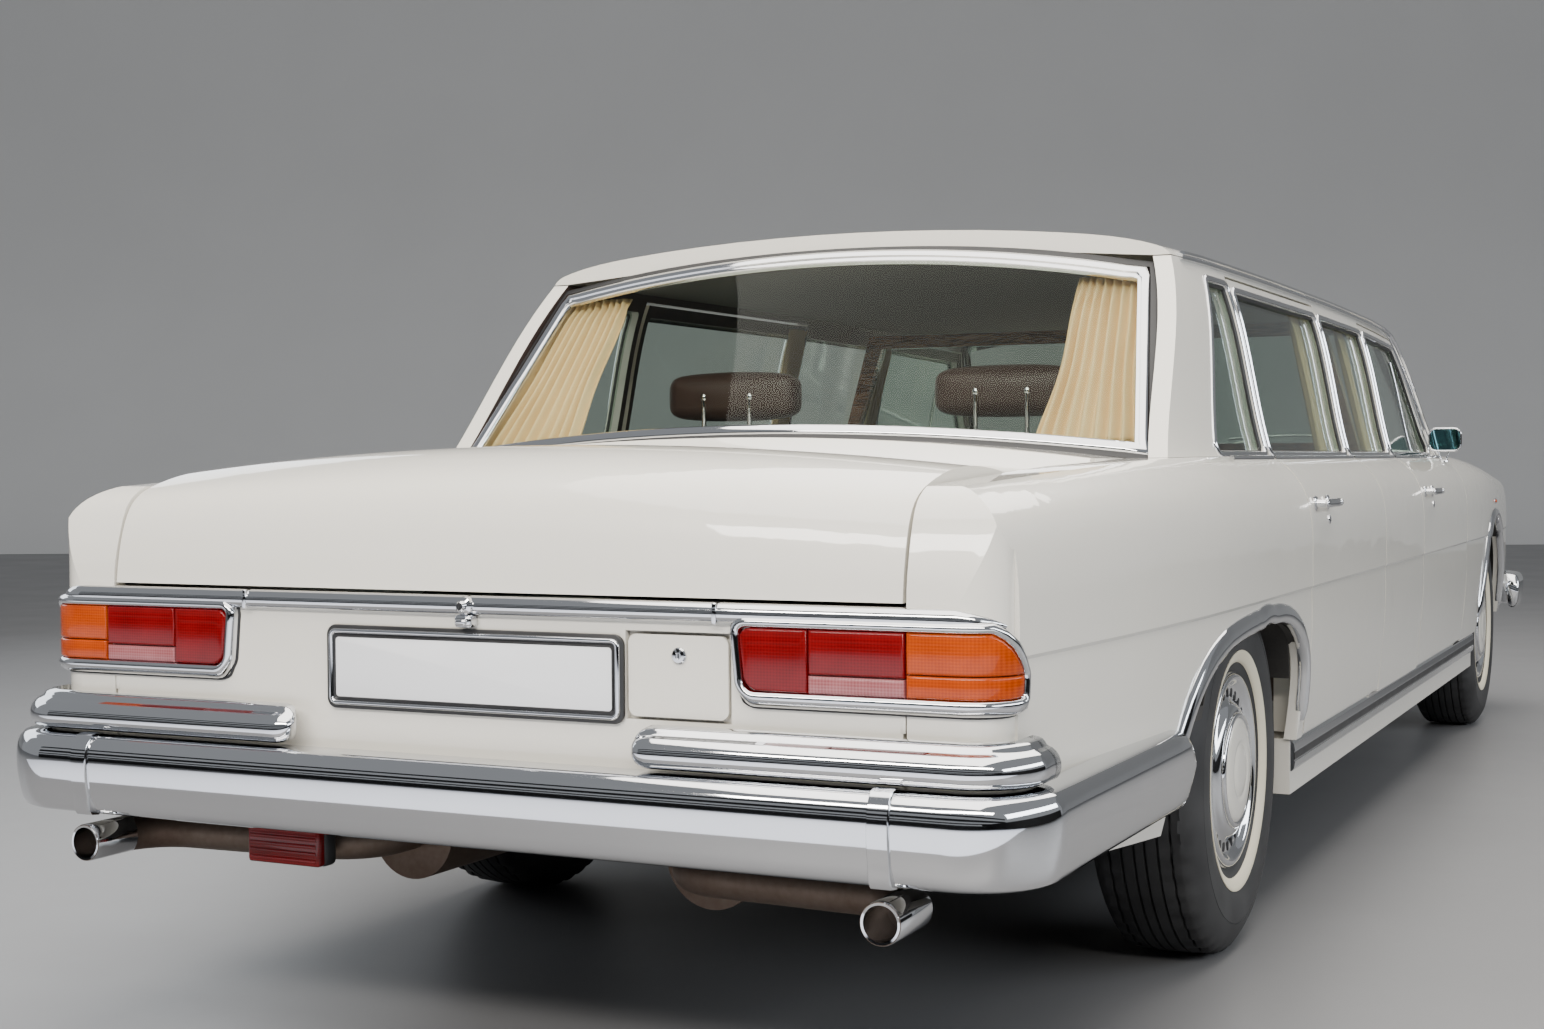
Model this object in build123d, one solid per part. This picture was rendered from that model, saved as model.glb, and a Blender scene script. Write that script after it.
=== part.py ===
from build123d import *

import math
import os

# Four-door long-wheelbase limousine, as an assembly of its panels, glass, seats and running gear.
# Millimetres. +X is the car's right, +Y is forward and +Z is up. The origin is on the ground,
# midway between the two bumpers' ends. The driver sits on the left.

# ---------------------------------------------------------------- driving dimensions
LENGTH = 6240.0  # over both bumpers
WHEELBASE = 3900.0
REAR_OVERHANG = 1500.0  # rear axle to the back of the rear bumper
REAR_TRACK = 1581.0
FRONT_TRACK = 1587.0
BODY_HALF = 957.0  # half width over the doors
BUMPER_HALF = 975.0
ROOF_TOP = 1510.0
BELT_Z = 1005.0  # foot of the side windows
CREASE_Z = 720.0  # fold along the body sides
CREASE_STEP = 4.0
SHUT_GAP = 6.0  # between a door or lid and its neighbours
JOINT_GAP = 0.4  # between pieces that are fixed to each other
SEAT_GAP = 0.3  # between a moving piece and the hinge or bracket that carries it
SKIN = 28.0  # wings and quarter panels, outer skin to inner lining
DOOR_THICK = 90.0
FRAME_THICK = 38.0  # window frames and pillars
GLASS_THICK = 5.0
GLASS_DEPTH = 14.0  # glass behind the outer face of its frame
CORNER = 12.0  # corner radius of the side windows

# body ends
REAR_END = -LENGTH / 2
FRONT_END = LENGTH / 2
REAR_AXLE_Y = REAR_END + REAR_OVERHANG
FRONT_AXLE_Y = REAR_AXLE_Y + WHEELBASE
TAIL_Y = REAR_END + 95.0  # tail panel
NOSE_Y = FRONT_END - 120.0  # front panel
TAIL_CORNER = 62.0  # plan radius of the body's rear corners
NOSE_CORNER = 60.0

# shut lines
REAR_DOOR_BACK = REAR_AXLE_Y + 450.0
REAR_DOOR_FRONT = REAR_AXLE_Y + 1415.0
FRONT_DOOR_BACK = REAR_AXLE_Y + 2075.0
FRONT_DOOR_FRONT = FRONT_AXLE_Y - 870.0

# tyres and wheels
TYRE_RADIUS = 371.0
TYRE_WIDTH = 225.0
RIM_RADIUS = 205.0
RIM_WIDTH = 165.0
SPINDLE_RADIUS = 30.0
RUNNING_FIT = 0.05  # radial clearance of a shaft in its bore
ARCH_RADIUS_FRONT = 450.0
ARCH_Z_FRONT = 335.0

# greenhouse
PILLAR_FOOT_X = 858.0
PILLAR_TOP_X = 752.0
RAIL_Z = 1428.0  # joint between side frames and roof, at its highest
WINDOW_BORDER = 30.0
ROOF_THICK = 40.0
# section of the roof from its side to its middle: share of the half width, share of the crown
ROOF_CURVE = (
    (1.0, 0.0),
    (0.985, 0.14),
    (0.95, 0.28),
    (0.86, 0.48),
    (0.70, 0.68),
    (0.50, 0.84),
    (0.25, 0.96),
)
SCREEN_FOOT_Y = FRONT_DOOR_FRONT + 49.0  # front edge of the windscreen pillar at the belt
SCREEN_TOP_Y = FRONT_DOOR_FRONT - 330.0
SCREEN_PILLAR = 46.0  # windscreen pillar, seen from the side
BACKLIGHT_FOOT_Y = REAR_AXLE_Y - 285.0  # back edge of the rear pillar at the belt
BACKLIGHT_TOP_Y = REAR_AXLE_Y + 45.0
QUARTER_FOOT_Y = REAR_AXLE_Y + 20.0  # back edge of the pane behind the rear door
QUARTER_TOP_Y = REAR_AXLE_Y + 285.0
CANT_RAIL = 24.0  # height of the rail above the doors
GLASS_FOOT = 12.0  # foot of the side glass above the belt
CURTAIN_IN = 535.0  # inner edge of the curtains across the rear window

# lid, bonnet and the panels between
LID_HALF = 743.0
LID_FRONT_Y = REAR_AXLE_Y - 500.0
LID_THICK = 25.0
LID_CROWN = 46.0
LID_FOOT_Z = 797.0
BONNET_HALF_BACK = 700.0
BONNET_HALF_FRONT = 585.0
BONNET_BACK_Y = FRONT_AXLE_Y - 640.0
BONNET_FRONT_Y = NOSE_Y - 34.0
BONNET_CROWN = 40.0

# floor and structure
FLOOR_Z = 262.0
FLOOR_THICK = 34.0
SILL_HALF = 915.0
SILL_WIDTH = 135.0
SILL_TOP = 384.0
DOOR_BOTTOM = SILL_TOP + 8.0
BOOT_FLOOR_Z = 520.0
BOOT_FLOOR_THICK = 25.0
KICK_UP_Y = REAR_AXLE_Y + 370.0  # step up from the cabin floor over the rear axle
BULKHEAD_Y = FRONT_DOOR_FRONT + 100.0
HOUSING_THICK = 8.0
REAR_HOUSING_X = 640.0
FRONT_HOUSING_X = 410.0
LEG_HALF = 30.0

HINGE_HEIGHTS = (480.0, 860.0)  # door hinges
POST_LEAF = 15.0  # width of the hinge leaves on the front posts
FLAP_X0 = 290.0  # fuel flap
FLAP_X1 = 462.0
FLAP_Z0 = 614.0
FLAP_Z1 = 740.0
FLAP_THICK = 6.0

# front suspension
KINGPIN_X = 715.0
KINGPIN_RADIUS = 22.0
ARM_LOW_Z = 215.0
ARM_HIGH_Z = 500.0
ARM_THICK = 30.0


# ---------------------------------------------------------------- helpers
def ring(y, *chains):
    """Closed wire in the plane y; each chain of (x, z) points is a line or a spline."""
    edges = []
    for chain in chains:
        points = [Vector(x, y, z) for x, z in chain]
        if len(points) == 2:
            edges.append(Edge.make_line(*points))
        else:
            edges.append(Edge.make_spline(points))
    first, last = edges[0] @ 0, edges[-1] @ 1
    if (first - last).length > 1e-6:
        edges.append(Edge.make_line(last, first))
    return Wire(edges)


def loft_rings(rings):
    """Smooth solid through closed wires."""
    return Solid.make_loft(rings, ruled=False)


def box(x0, x1, y0, y1, z0, z1):
    """Block between two corners."""
    return Pos((x0 + x1) / 2, (y0 + y1) / 2, (z0 + z1) / 2) * Box(x1 - x0, y1 - y0, z1 - z0)


def side_prism(points, x0, x1, corner=0.0):
    """Block whose side view is the (y, z) polygon, from x0 to x1."""
    face = make_face(Polyline(*[(0, y, z) for y, z in points], close=True))
    if corner:
        face = fillet(face.vertices(), corner)
    return Pos(x0, 0, 0) * extrude(face, x1 - x0, dir=(1, 0, 0))


def plan_prism(points, z0, z1):
    """Block whose plan is the (x, y) polygon, from z0 to z1."""
    face = make_face(Polyline(*[(x, y, z0) for x, y in points], close=True))
    return extrude(face, z1 - z0, dir=(0, 0, 1))


def rod(start, end, radius):
    """Round bar between two points."""
    a, b = Vector(*start), Vector(*end)
    return Solid.make_cylinder(radius, (b - a).length, Plane(origin=a, z_dir=b - a))


def drum(x0, x1, y, z, radius):
    """Round bar along X."""
    return rod((x0, y, z), (x1, y, z), radius)


def both_sides(piece):
    """The right-hand piece and its mirror image."""
    return [piece, mirror(piece, about=Plane.YZ)]


SIDE_PLANE = Plane(origin=(0, 0, 0), x_dir=(0, 1, 0), z_dir=(1, 0, 0))


def polygon_face(points):
    """Flat face in the (y, z) plane, drawn on XY."""
    return make_face(Polyline(*points, close=True))


def moved_outline(points, distance):
    """Polygon moved outwards by a distance, or inwards by a negative one."""
    face = offset(polygon_face(points), distance, kind=Kind.INTERSECTION).faces()[0]
    return [((edge @ 0).X, (edge @ 0).Y) for edge in face.outer_wire().order_edges()]


def mix(a, b, share):
    """Value between a and b."""
    return a + (b - a) * share


def save(name, *pieces):
    """Writes one node, as one solid or several that don't touch."""
    solids = [solid for piece in pieces for solid in piece.solids()]
    shape = solids[0] if len(solids) == 1 else Compound(children=solids)
    export_step(shape, f"parts/{name}.step")


def corner_arc(half, y, radius, way):
    """Quarter circle in plan, from the side to the end wall; way is +1 at the tail."""
    turn = math.sqrt(0.5) * radius
    return ThreePointArc(
        (half, y + way * radius, 0),
        (half - radius + turn, y + way * (radius - turn), 0),
        (half - radius, y, 0),
    )


# ---------------------------------------------------------------- body sides
def tail_half(y):
    """Half width of the body behind the rear door."""
    share = min(1.0, max(0.0, (y - TAIL_Y) / (REAR_DOOR_BACK - 300 - TAIL_Y)))
    return BODY_HALF - 75 * (1 - share) ** 3


def tail_shelf(y):
    """Height of the shelf beside the boot lid."""
    share = min(1.0, max(0.0, (y - TAIL_Y) / (REAR_DOOR_BACK - 500 - TAIL_Y)))
    return BELT_Z - 50 * (1 - share) ** 2


def nose_half(y):
    """Half width of the body ahead of the front door."""
    share = min(1.0, max(0.0, (NOSE_Y - y) / (NOSE_Y - FRONT_DOOR_FRONT - 200)))
    return BODY_HALF - 50 * (1 - share) ** 2


def nose_shelf(y):
    """Height of the shelf beside the bonnet."""
    share = min(1.0, max(0.0, (NOSE_Y - y) / (NOSE_Y - FRONT_DOOR_FRONT)))
    return BELT_Z - 78 * (1 - share) ** 1.6


def lid_edge(y):
    """Inner edge of the shelf beside the boot lid."""
    return LID_HALF + SHUT_GAP


def bonnet_half(y):
    """Half width of the bonnet."""
    share = min(1.0, max(0.0, (y - BONNET_BACK_Y) / (BONNET_FRONT_Y - BONNET_BACK_Y)))
    return mix(BONNET_HALF_BACK, BONNET_HALF_FRONT, share)


def bonnet_edge(y):
    """Inner edge of the shelf beside the bonnet."""
    return bonnet_half(y) + SHUT_GAP


def bonnet_trim(y):
    """Inner edge of the wing's blank, before the bonnet's opening is cut."""
    return bonnet_edge(y) - 12


def moved_chain(points, depth):
    """Open chain of (x, z) points moved towards the car's middle, square to itself."""
    moved = []
    for i, (x, z) in enumerate(points):
        before, after = points[max(i - 1, 0)], points[min(i + 1, len(points) - 1)]
        dx, dz = after[0] - before[0], after[1] - before[1]
        length = math.hypot(dx, dz)
        moved.append((x + dz / length * depth, z - dx / length * depth))
    return moved


def flank_section(y, half, shelf, edge, soft, depth):
    """Section of the body side at y, its outer surface moved in by depth; open inwards and down.

    soft is 0 for the crisp shoulder near the ends and 1 for the rounder one beside the cabin.
    """
    fall = shelf - CREASE_Z
    upper = [
        (half - 97, shelf),
        (half - 50, shelf - (0.07 + 0.04 * soft) * fall),
        (half - 22, shelf - (0.18 + 0.07 * soft) * fall),
        (half - 7, shelf - (0.38 + 0.04 * soft) * fall),
        (half - 1, shelf - 0.7 * fall),
        (half, CREASE_Z),
    ]
    lower = [
        (half - CREASE_STEP, CREASE_Z - 6),
        (half - 4, 600),
        (half - 19, 430),
        (half - 40, 300),
    ]
    upper, lower = moved_chain(upper, depth), moved_chain(lower, depth)
    upper[0] = (upper[0][0], shelf - depth)
    upper[-1] = (half - depth, CREASE_Z)
    bottom = 300 - max(depth, 0)
    lower[-1] = (lower[-1][0], bottom)
    inner = edge - max(depth, 0)
    return ring(
        y,
        [(inner, shelf - depth), upper[0]],
        upper,
        [upper[-1], lower[0]],
        lower,
        [lower[-1], (inner, bottom)],
    )


def flank_block(y0, y1, count, half_at, shelf_at, edge_at, soft_at, depth):
    """Full block of one body side between y0 and y1."""
    rings = []
    for i in range(count + 1):
        y = mix(y0, y1, i / count)
        rings.append(flank_section(y, half_at(y), shelf_at(y), edge_at(y), soft_at(y), depth))
    return loft_rings(rings)


def end_outline(end, way, half, corner, depth):
    """Plan of one end of the body, right side: end wall, corner arc and the open side.

    way is +1 at the tail and -1 at the nose.
    """
    y = end + way * depth
    side = half - depth
    turn = corner_arc(side, y, corner - depth, way)
    outer, wall_end = turn @ 0, turn @ 1
    rest = Polyline(
        wall_end,
        (-50, y),
        (-50, y + way * 2200),
        (side + 200, y + way * 2200),
        (side + 200, outer.Y),
        outer,
    )
    return make_face(Curve() + [turn, rest])


def tail_profile(depth):
    """Side view of the tail: upright panel, then the lid's rounded back edge."""
    y = TAIL_Y + depth
    foot = Line((y, 100), (y, LID_FOOT_Z))
    back = Spline(
        (y, LID_FOOT_Z),
        (y + 17, 887),
        (y + 42, 940 - 0.5 * depth),
        (y + 105, 972 - depth),
        (y + 400, 1010 - depth),
        tangents=((0, 1), (1, 0.06)),
    )
    rest = Polyline((y + 400, 1010 - depth), (y + 400, 1200), (1000, 1200), (1000, 100), (y, 100))
    return make_face(Curve() + [foot, back, rest])


def inner_reach(y):
    """Inner edge of a block that stands for everything inside a body side."""
    return 250.0


def tail_block(depth, edge_at=lid_edge):
    """Rear body side as a full block, its surface moved in by depth."""
    block = flank_block(
        TAIL_Y - 120,
        REAR_DOOR_BACK - SHUT_GAP / 2 + max(depth, 0),
        4,
        tail_half,
        tail_shelf,
        edge_at,
        lambda y: min(1.0, max(0.0, (y - TAIL_Y) / 1200)),
        depth,
    )
    plan = extrude(end_outline(TAIL_Y, 1, tail_half(TAIL_Y + 60), TAIL_CORNER, depth), 1300)
    profile = extrude(SIDE_PLANE * tail_profile(depth), 1200)
    return block & plan & profile


def nose_block(depth, edge_at=bonnet_edge):
    """Front body side as a full block, its surface moved in by depth."""
    block = flank_block(
        FRONT_DOOR_FRONT + SHUT_GAP / 2 - max(depth, 0),
        NOSE_Y + 60,
        4,
        nose_half,
        nose_shelf,
        edge_at,
        lambda y: min(1.0, max(0.0, (NOSE_Y - y) / 1400)),
        depth,
    )
    plan = extrude(end_outline(NOSE_Y, -1, nose_half(NOSE_Y - 40), NOSE_CORNER, depth), 1300)
    return block & plan


def rear_arch():
    """Block with the outline of the right rear wheel arch."""
    feet = [(-690, 250), (-640, 400)]
    crown = [
        (-640, 400),
        (-600, 505),
        (-480, 602),
        (-250, 655),
        (30, 666),
        (262, 640),
        (372, 570),
        (398, 470),
        (385, 340),
    ]
    place = [(0, REAR_AXLE_Y + y, z) for y, z in crown]
    foot = [(0, REAR_AXLE_Y + y, z) for y, z in feet]
    last = (0, REAR_AXLE_Y + 385, 250)
    outline = [
        Edge.make_line(foot[0], foot[1]),
        Edge.make_spline([Vector(*p) for p in place]),
        Edge.make_line(place[-1], last),
        Edge.make_line(last, foot[0]),
    ]
    return Pos(600, 0, 0) * extrude(make_face(Wire(outline)), 500, dir=(1, 0, 0))


def front_arch(extra=0.0):
    """Block with the outline of the right front wheel arch."""
    radius = ARCH_RADIUS_FRONT + extra
    top = drum(600, 1100, FRONT_AXLE_Y, ARCH_Z_FRONT, radius)
    return top + box(600, 1100, FRONT_AXLE_Y - radius, FRONT_AXLE_Y + radius, 150, ARCH_Z_FRONT)


def rear_quarter():
    """Right quarter panel, from the tail's corner to the rear door."""
    shell = tail_block(0) - tail_block(SKIN)
    sill = box(500, 1100, REAR_AXLE_Y + 300, REAR_DOOR_BACK + 50, 200, SILL_TOP + JOINT_GAP)
    under = side_prism(
        [
            (TAIL_Y - 50, 150),
            (TAIL_Y - 50, 412),
            (REAR_AXLE_Y - 950, 372),
            (REAR_AXLE_Y - 600, 345),
            (REAR_AXLE_Y - 600, 150),
        ],
        500,
        1100,
    )
    inside = box(500, PILLAR_FOOT_X - FRAME_THICK, KICK_UP_Y - 300, REAR_DOOR_BACK + 50, 200, 1100)
    end = box(500, 1100, REAR_DOOR_BACK - SHUT_GAP / 2, REAR_DOOR_BACK + 100, 100, 1100)
    wall = box(500, LID_HALF + JOINT_GAP, TAIL_Y - 50, TAIL_Y + 200, 100, LID_FOOT_Z - 3)
    return shell - rear_arch() - sill - under - inside - end - wall


def front_wing():
    """Right front wing, from the front door to the headlamp."""
    shell = nose_block(0, bonnet_trim) - nose_block(SKIN, bonnet_trim)
    sill = box(500, 1100, FRONT_DOOR_FRONT - 50, FRONT_AXLE_Y - 300, 200, SILL_TOP + JOINT_GAP)
    under = side_prism(
        [
            (FRONT_AXLE_Y + 300, 150),
            (FRONT_AXLE_Y + 300, 380),
            (NOSE_Y + 50, 415),
            (NOSE_Y + 50, 150),
        ],
        400,
        1100,
    )
    start = box(400, 1100, FRONT_DOOR_FRONT - 100, FRONT_DOOR_FRONT + SHUT_GAP / 2, 100, 1100)
    opening = plan_prism(
        [
            (0, FRONT_DOOR_FRONT - 100),
            (bonnet_edge(FRONT_DOOR_FRONT), FRONT_DOOR_FRONT - 100),
            (bonnet_edge(BONNET_BACK_Y), BONNET_BACK_Y),
            (bonnet_edge(BONNET_FRONT_Y), BONNET_FRONT_Y),
            (bonnet_edge(BONNET_FRONT_Y), NOSE_Y + 50),
            (0, NOSE_Y + 50),
        ],
        100,
        1100,
    )
    return shell - front_arch() - sill - under - start - opening


def tail_panel():
    """Tail panel under the boot lid, between the quarter panels, with the fuel flap's opening."""
    half = LID_HALF
    panel = box(-half, half, TAIL_Y, TAIL_Y + SKIN, 412, LID_FOOT_Z - SHUT_GAP)
    edge = SHUT_GAP - 1
    hole = box(
        FLAP_X0 - edge, FLAP_X1 + edge, TAIL_Y - 10, TAIL_Y + 14, FLAP_Z0 - edge, FLAP_Z1 + edge
    )
    panel = panel - hole
    for x in (FLAP_X0 + 30, FLAP_X1 - 30):
        panel = panel + box(
            x - 10, x + 10, TAIL_Y + FLAP_THICK + SEAT_GAP, TAIL_Y + 16, FLAP_Z0 + 2, FLAP_Z0 + 12
        )
    return panel


# ---------------------------------------------------------------- door panels
def door_upper():
    """Outer face of the doors above the fold, as (x, z) points from the belt down."""
    half = BODY_HALF
    fall = BELT_Z - CREASE_Z
    return [
        (half - 97, BELT_Z),
        (half - 50, BELT_Z - 0.11 * fall),
        (half - 22, BELT_Z - 0.25 * fall),
        (half - 7, BELT_Z - 0.42 * fall),
        (half - 1, BELT_Z - 0.7 * fall),
        (half, CREASE_Z),
    ]


def door_section(y, bottom):
    """Section of a door, or of the fixed panel between the doors, up to the belt."""
    half = BODY_HALF
    inner = half - DOOR_THICK
    upper = door_upper()
    lower = [
        (half - CREASE_STEP, CREASE_Z - 6),
        (half - 4, 600),
        (half - 19, 430),
        (half - 23, bottom),
    ]
    return ring(
        y,
        upper,
        [upper[-1], lower[0]],
        lower,
        [lower[-1], (inner, bottom)],
        [(inner, bottom), (inner, BELT_Z - 130)],
        [(inner, BELT_Z - 130), (PILLAR_FOOT_X - FRAME_THICK, BELT_Z)],
    )


def lower_panel(y0, y1, bottom):
    """Panel of the door section between two shut lines."""
    return extrude(make_face(door_section(y0, bottom)), y1 - y0, dir=(0, 1, 0))


# ---------------------------------------------------------------- greenhouse
# rows of: y, outer x at the belt, outer x under the roof, height under the roof
GREENHOUSE = [
    (REAR_AXLE_Y - 700, 775, 692, RAIL_Z - 44),
    (REAR_AXLE_Y - 240, 832, 735, RAIL_Z - 14),
    (REAR_AXLE_Y + 220, 856, 749, RAIL_Z - 1),
    (REAR_AXLE_Y + 900, PILLAR_FOOT_X, PILLAR_TOP_X, RAIL_Z),
    (REAR_AXLE_Y + 1600, PILLAR_FOOT_X, PILLAR_TOP_X, RAIL_Z - 3),
    (REAR_AXLE_Y + 2350, 857, 750, RAIL_Z - 14),
    (REAR_AXLE_Y + 3100, 843, 728, RAIL_Z - 42),
]


def greenhouse_at(y):
    """Outer x at the belt, outer x under the roof, and height under the roof."""
    for low, high in zip(GREENHOUSE, GREENHOUSE[1:]):
        if y <= high[0]:
            share = (y - low[0]) / (high[0] - low[0])
            return [mix(a, b, share) for a, b in zip(low[1:], high[1:])]
    return list(GREENHOUSE[-1][1:])


SLAB_FOOT = 30.0  # how far the window frames' slab reaches below the belt


def side_slab(near, far):
    """Leaning slab between two depths under the outer face of the side windows."""
    rings = []
    for y, foot, top, height in GREENHOUSE:
        middle, mid_z = (foot + top) / 2 + 7, (BELT_Z + height) / 2
        low = (foot + 10, BELT_Z - SLAB_FOOT)
        face = [low, (foot, BELT_Z), (middle, mid_z), (top, height)]
        outer = [(x - near, z) for x, z in face]
        inner = [(x - far, z) for x, z in reversed(face)]
        rings.append(ring(y, outer, [outer[-1], inner[0]], inner))
    return loft_rings(rings)


def leaning_y(foot, top, z):
    """Where a leaning edge is at a height."""
    return mix(foot, top, (z - BELT_Z) / (RAIL_Z - BELT_Z))


def door_top(y):
    """Top edge of the doors."""
    return greenhouse_at(y)[2] - CANT_RAIL


def front_door_outline(low=BELT_Z):
    """Side view of the front door's window frame, from a height up."""
    back = FRONT_DOOR_BACK + SHUT_GAP / 2
    inner = SCREEN_PILLAR + SHUT_GAP
    foot_y, top_y = SCREEN_FOOT_Y - inner, SCREEN_TOP_Y - inner
    high = door_top(SCREEN_TOP_Y)
    foot, top = leaning_y(foot_y, top_y, low), leaning_y(foot_y, top_y, high)
    return [(back, low), (foot, low), (top, high), (back, door_top(back))]


def rear_door_outline(low=BELT_Z):
    """Side view of the rear door's window frame, from a height up."""
    back, front = REAR_DOOR_BACK + SHUT_GAP / 2, REAR_DOOR_FRONT - SHUT_GAP / 2
    return [(back, low), (front, low), (front, door_top(front)), (back, door_top(back))]


def window_in(outline):
    """Outline of the glass in a door's window frame."""
    points = moved_outline(outline, -WINDOW_BORDER)
    low = BELT_Z + GLASS_FOOT
    face = polygon_face(points) + polygon_face(
        [(p[0], p[1]) for p in points if p[1] < BELT_Z + 2 * WINDOW_BORDER]
        + [(p[0], low) for p in reversed([q for q in points if q[1] < BELT_Z + 2 * WINDOW_BORDER])]
    )
    wire = face.faces()[0].outer_wire()
    return [((edge @ 0).X, (edge @ 0).Y) for edge in wire.order_edges()]


def quarter_window():
    """Outline of the fixed pane behind the rear door."""
    front = REAR_DOOR_BACK - SHUT_GAP / 2 - 22
    low, high = BELT_Z + GLASS_FOOT, door_top(REAR_DOOR_BACK) - 20
    return [
        (leaning_y(QUARTER_FOOT_Y, QUARTER_TOP_Y, low), low),
        (front, low),
        (front, high),
        (leaning_y(QUARTER_FOOT_Y, QUARTER_TOP_Y, high), high),
    ]


def middle_window():
    """Outline of the fixed pane between the doors."""
    back, front = REAR_DOOR_FRONT + SHUT_GAP / 2 + 26, FRONT_DOOR_BACK - SHUT_GAP / 2 - 26
    low = BELT_Z + GLASS_FOOT
    return [
        (back, low),
        (front, low),
        (front, door_top(front) - WINDOW_BORDER),
        (back, door_top(back) - WINDOW_BORDER),
    ]


def hinge_tabs(y, x0, x1, heights, reach):
    """Hinge leaves that stand from a fixed panel at y and stop just short of the door."""
    tabs = [box(x0, x1, y - reach, y + 6, z - 40, z + 40) for z in heights]
    return tabs[0] + tabs[1]


def side_frame():
    """Right fixed side: the panel between the doors with its posts, cant rail and both pillars."""
    y0, y1 = REAR_DOOR_FRONT + SHUT_GAP / 2, FRONT_DOOR_BACK - SHUT_GAP / 2
    panel = lower_panel(y0, y1, SILL_TOP + JOINT_GAP)
    foot = BELT_Z - SLAB_FOOT
    back_lean = (BACKLIGHT_TOP_Y - BACKLIGHT_FOOT_Y) / (RAIL_Z - BELT_Z) * SLAB_FOOT
    front_lean = (SCREEN_FOOT_Y - SCREEN_TOP_Y) / (RAIL_Z - BELT_Z) * SLAB_FOOT
    outline = [(BACKLIGHT_FOOT_Y - back_lean, foot), (SCREEN_FOOT_Y + front_lean, foot)]
    outline += [(SCREEN_TOP_Y, greenhouse_at(SCREEN_TOP_Y)[2] - JOINT_GAP)]
    outline += [
        (y, height - JOINT_GAP)
        for y, _, _, height in reversed(GREENHOUSE)
        if BACKLIGHT_TOP_Y < y < SCREEN_TOP_Y
    ]
    outline += [(BACKLIGHT_TOP_Y, greenhouse_at(BACKLIGHT_TOP_Y)[2] - JOINT_GAP)]
    frame = side_slab(0, FRAME_THICK) & side_prism(outline, 500, 1000)
    for opening in (front_door_outline(foot), rear_door_outline(foot)):
        frame = frame - side_prism(moved_outline(opening, SHUT_GAP), 500, 1000)
    frame = frame - tail_block(-JOINT_GAP, inner_reach) - nose_block(-JOINT_GAP, inner_reach)
    frame = frame + panel
    for opening in (quarter_window(), middle_window()):
        frame = frame - side_prism(opening, 500, 1000, CORNER)
    inner = BODY_HALF - DOOR_THICK
    tabs = hinge_tabs(y0, inner + 15, BODY_HALF - 30, HINGE_HEIGHTS, SHUT_GAP - SEAT_GAP)
    return frame + tabs


def pane(outline):
    """Side glass that fills its window, a hair smaller than the opening."""
    smaller = moved_outline(outline, -JOINT_GAP)
    slab = side_slab(GLASS_DEPTH, GLASS_DEPTH + GLASS_THICK)
    return slab & side_prism(smaller, 500, 1000, CORNER - JOINT_GAP)


def swing_bevel(back, top_z):
    """Wedge cut off a door's back edge, so that its inner corner swings clear of the post."""
    wedges = []
    for z0, z1, angle, foot, top in (
        (200, BELT_Z - 10, 6.5, BODY_HALF, BODY_HALF),
        (BELT_Z - 10, top_z + 40, 16.5, PILLAR_FOOT_X + 6, None),
    ):
        rings = []
        for z in (z0, z1):
            if top is None:
                outer = mix(foot, PILLAR_TOP_X + 6, (z - BELT_Z) / (RAIL_Z - BELT_Z))
            else:
                outer = foot - 10
            deep = 180
            shift = deep * math.tan(math.radians(angle))
            points = [(outer, back), (outer - deep, back + shift), (outer - deep, back - 9)]
            points += [(outer, back - 9)]
            rings.append(Wire(Polyline(*[(x, y, z) for x, y in points], close=True).edges()))
        wedges.append(Solid.make_loft(rings, ruled=True))
    return wedges


def door(outline, back, front):
    """Right door: lower panel and window frame in one piece."""
    leaf = lower_panel(back, front, DOOR_BOTTOM)
    frame = side_slab(0, FRAME_THICK) & side_prism(outline, 500, 1000)
    frame = frame - side_prism(window_in(outline), 500, 1000, CORNER)
    leaf = leaf + frame
    for wedge in swing_bevel(back, RAIL_Z):
        leaf = leaf - wedge
    return leaf


# ---------------------------------------------------------------- roof and screens
def roof_crown(height):
    """Height of the roof's middle over its sides."""
    return ROOF_TOP - height - 0.9 * (RAIL_Z - height)


def roof():
    """Roof panel with its lining."""
    rings = []
    for y, _, top, height in GREENHOUSE:
        crown = roof_crown(height)
        outer = [(across * top, height + rise * crown) for across, rise in ROOF_CURVE]
        outer += [(0, height + crown)] + [(-x, z) for x, z in reversed(outer)]
        half = top - FRAME_THICK
        inner = [(0.6 * half, height + 0.76 * crown - ROOF_THICK)]
        inner = [(-half, height)] + [(-x, z) for x, z in inner]
        inner += [(0, height + crown - ROOF_THICK)] + [(-x, z) for x, z in reversed(inner)]
        rings.append(ring(y, outer, [outer[-1], inner[0]], inner, [inner[-1], outer[0]]))
    return loft_rings(rings) & box(-1000, 1000, BACKLIGHT_TOP_Y, SCREEN_TOP_Y, 1200, 1700)


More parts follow.
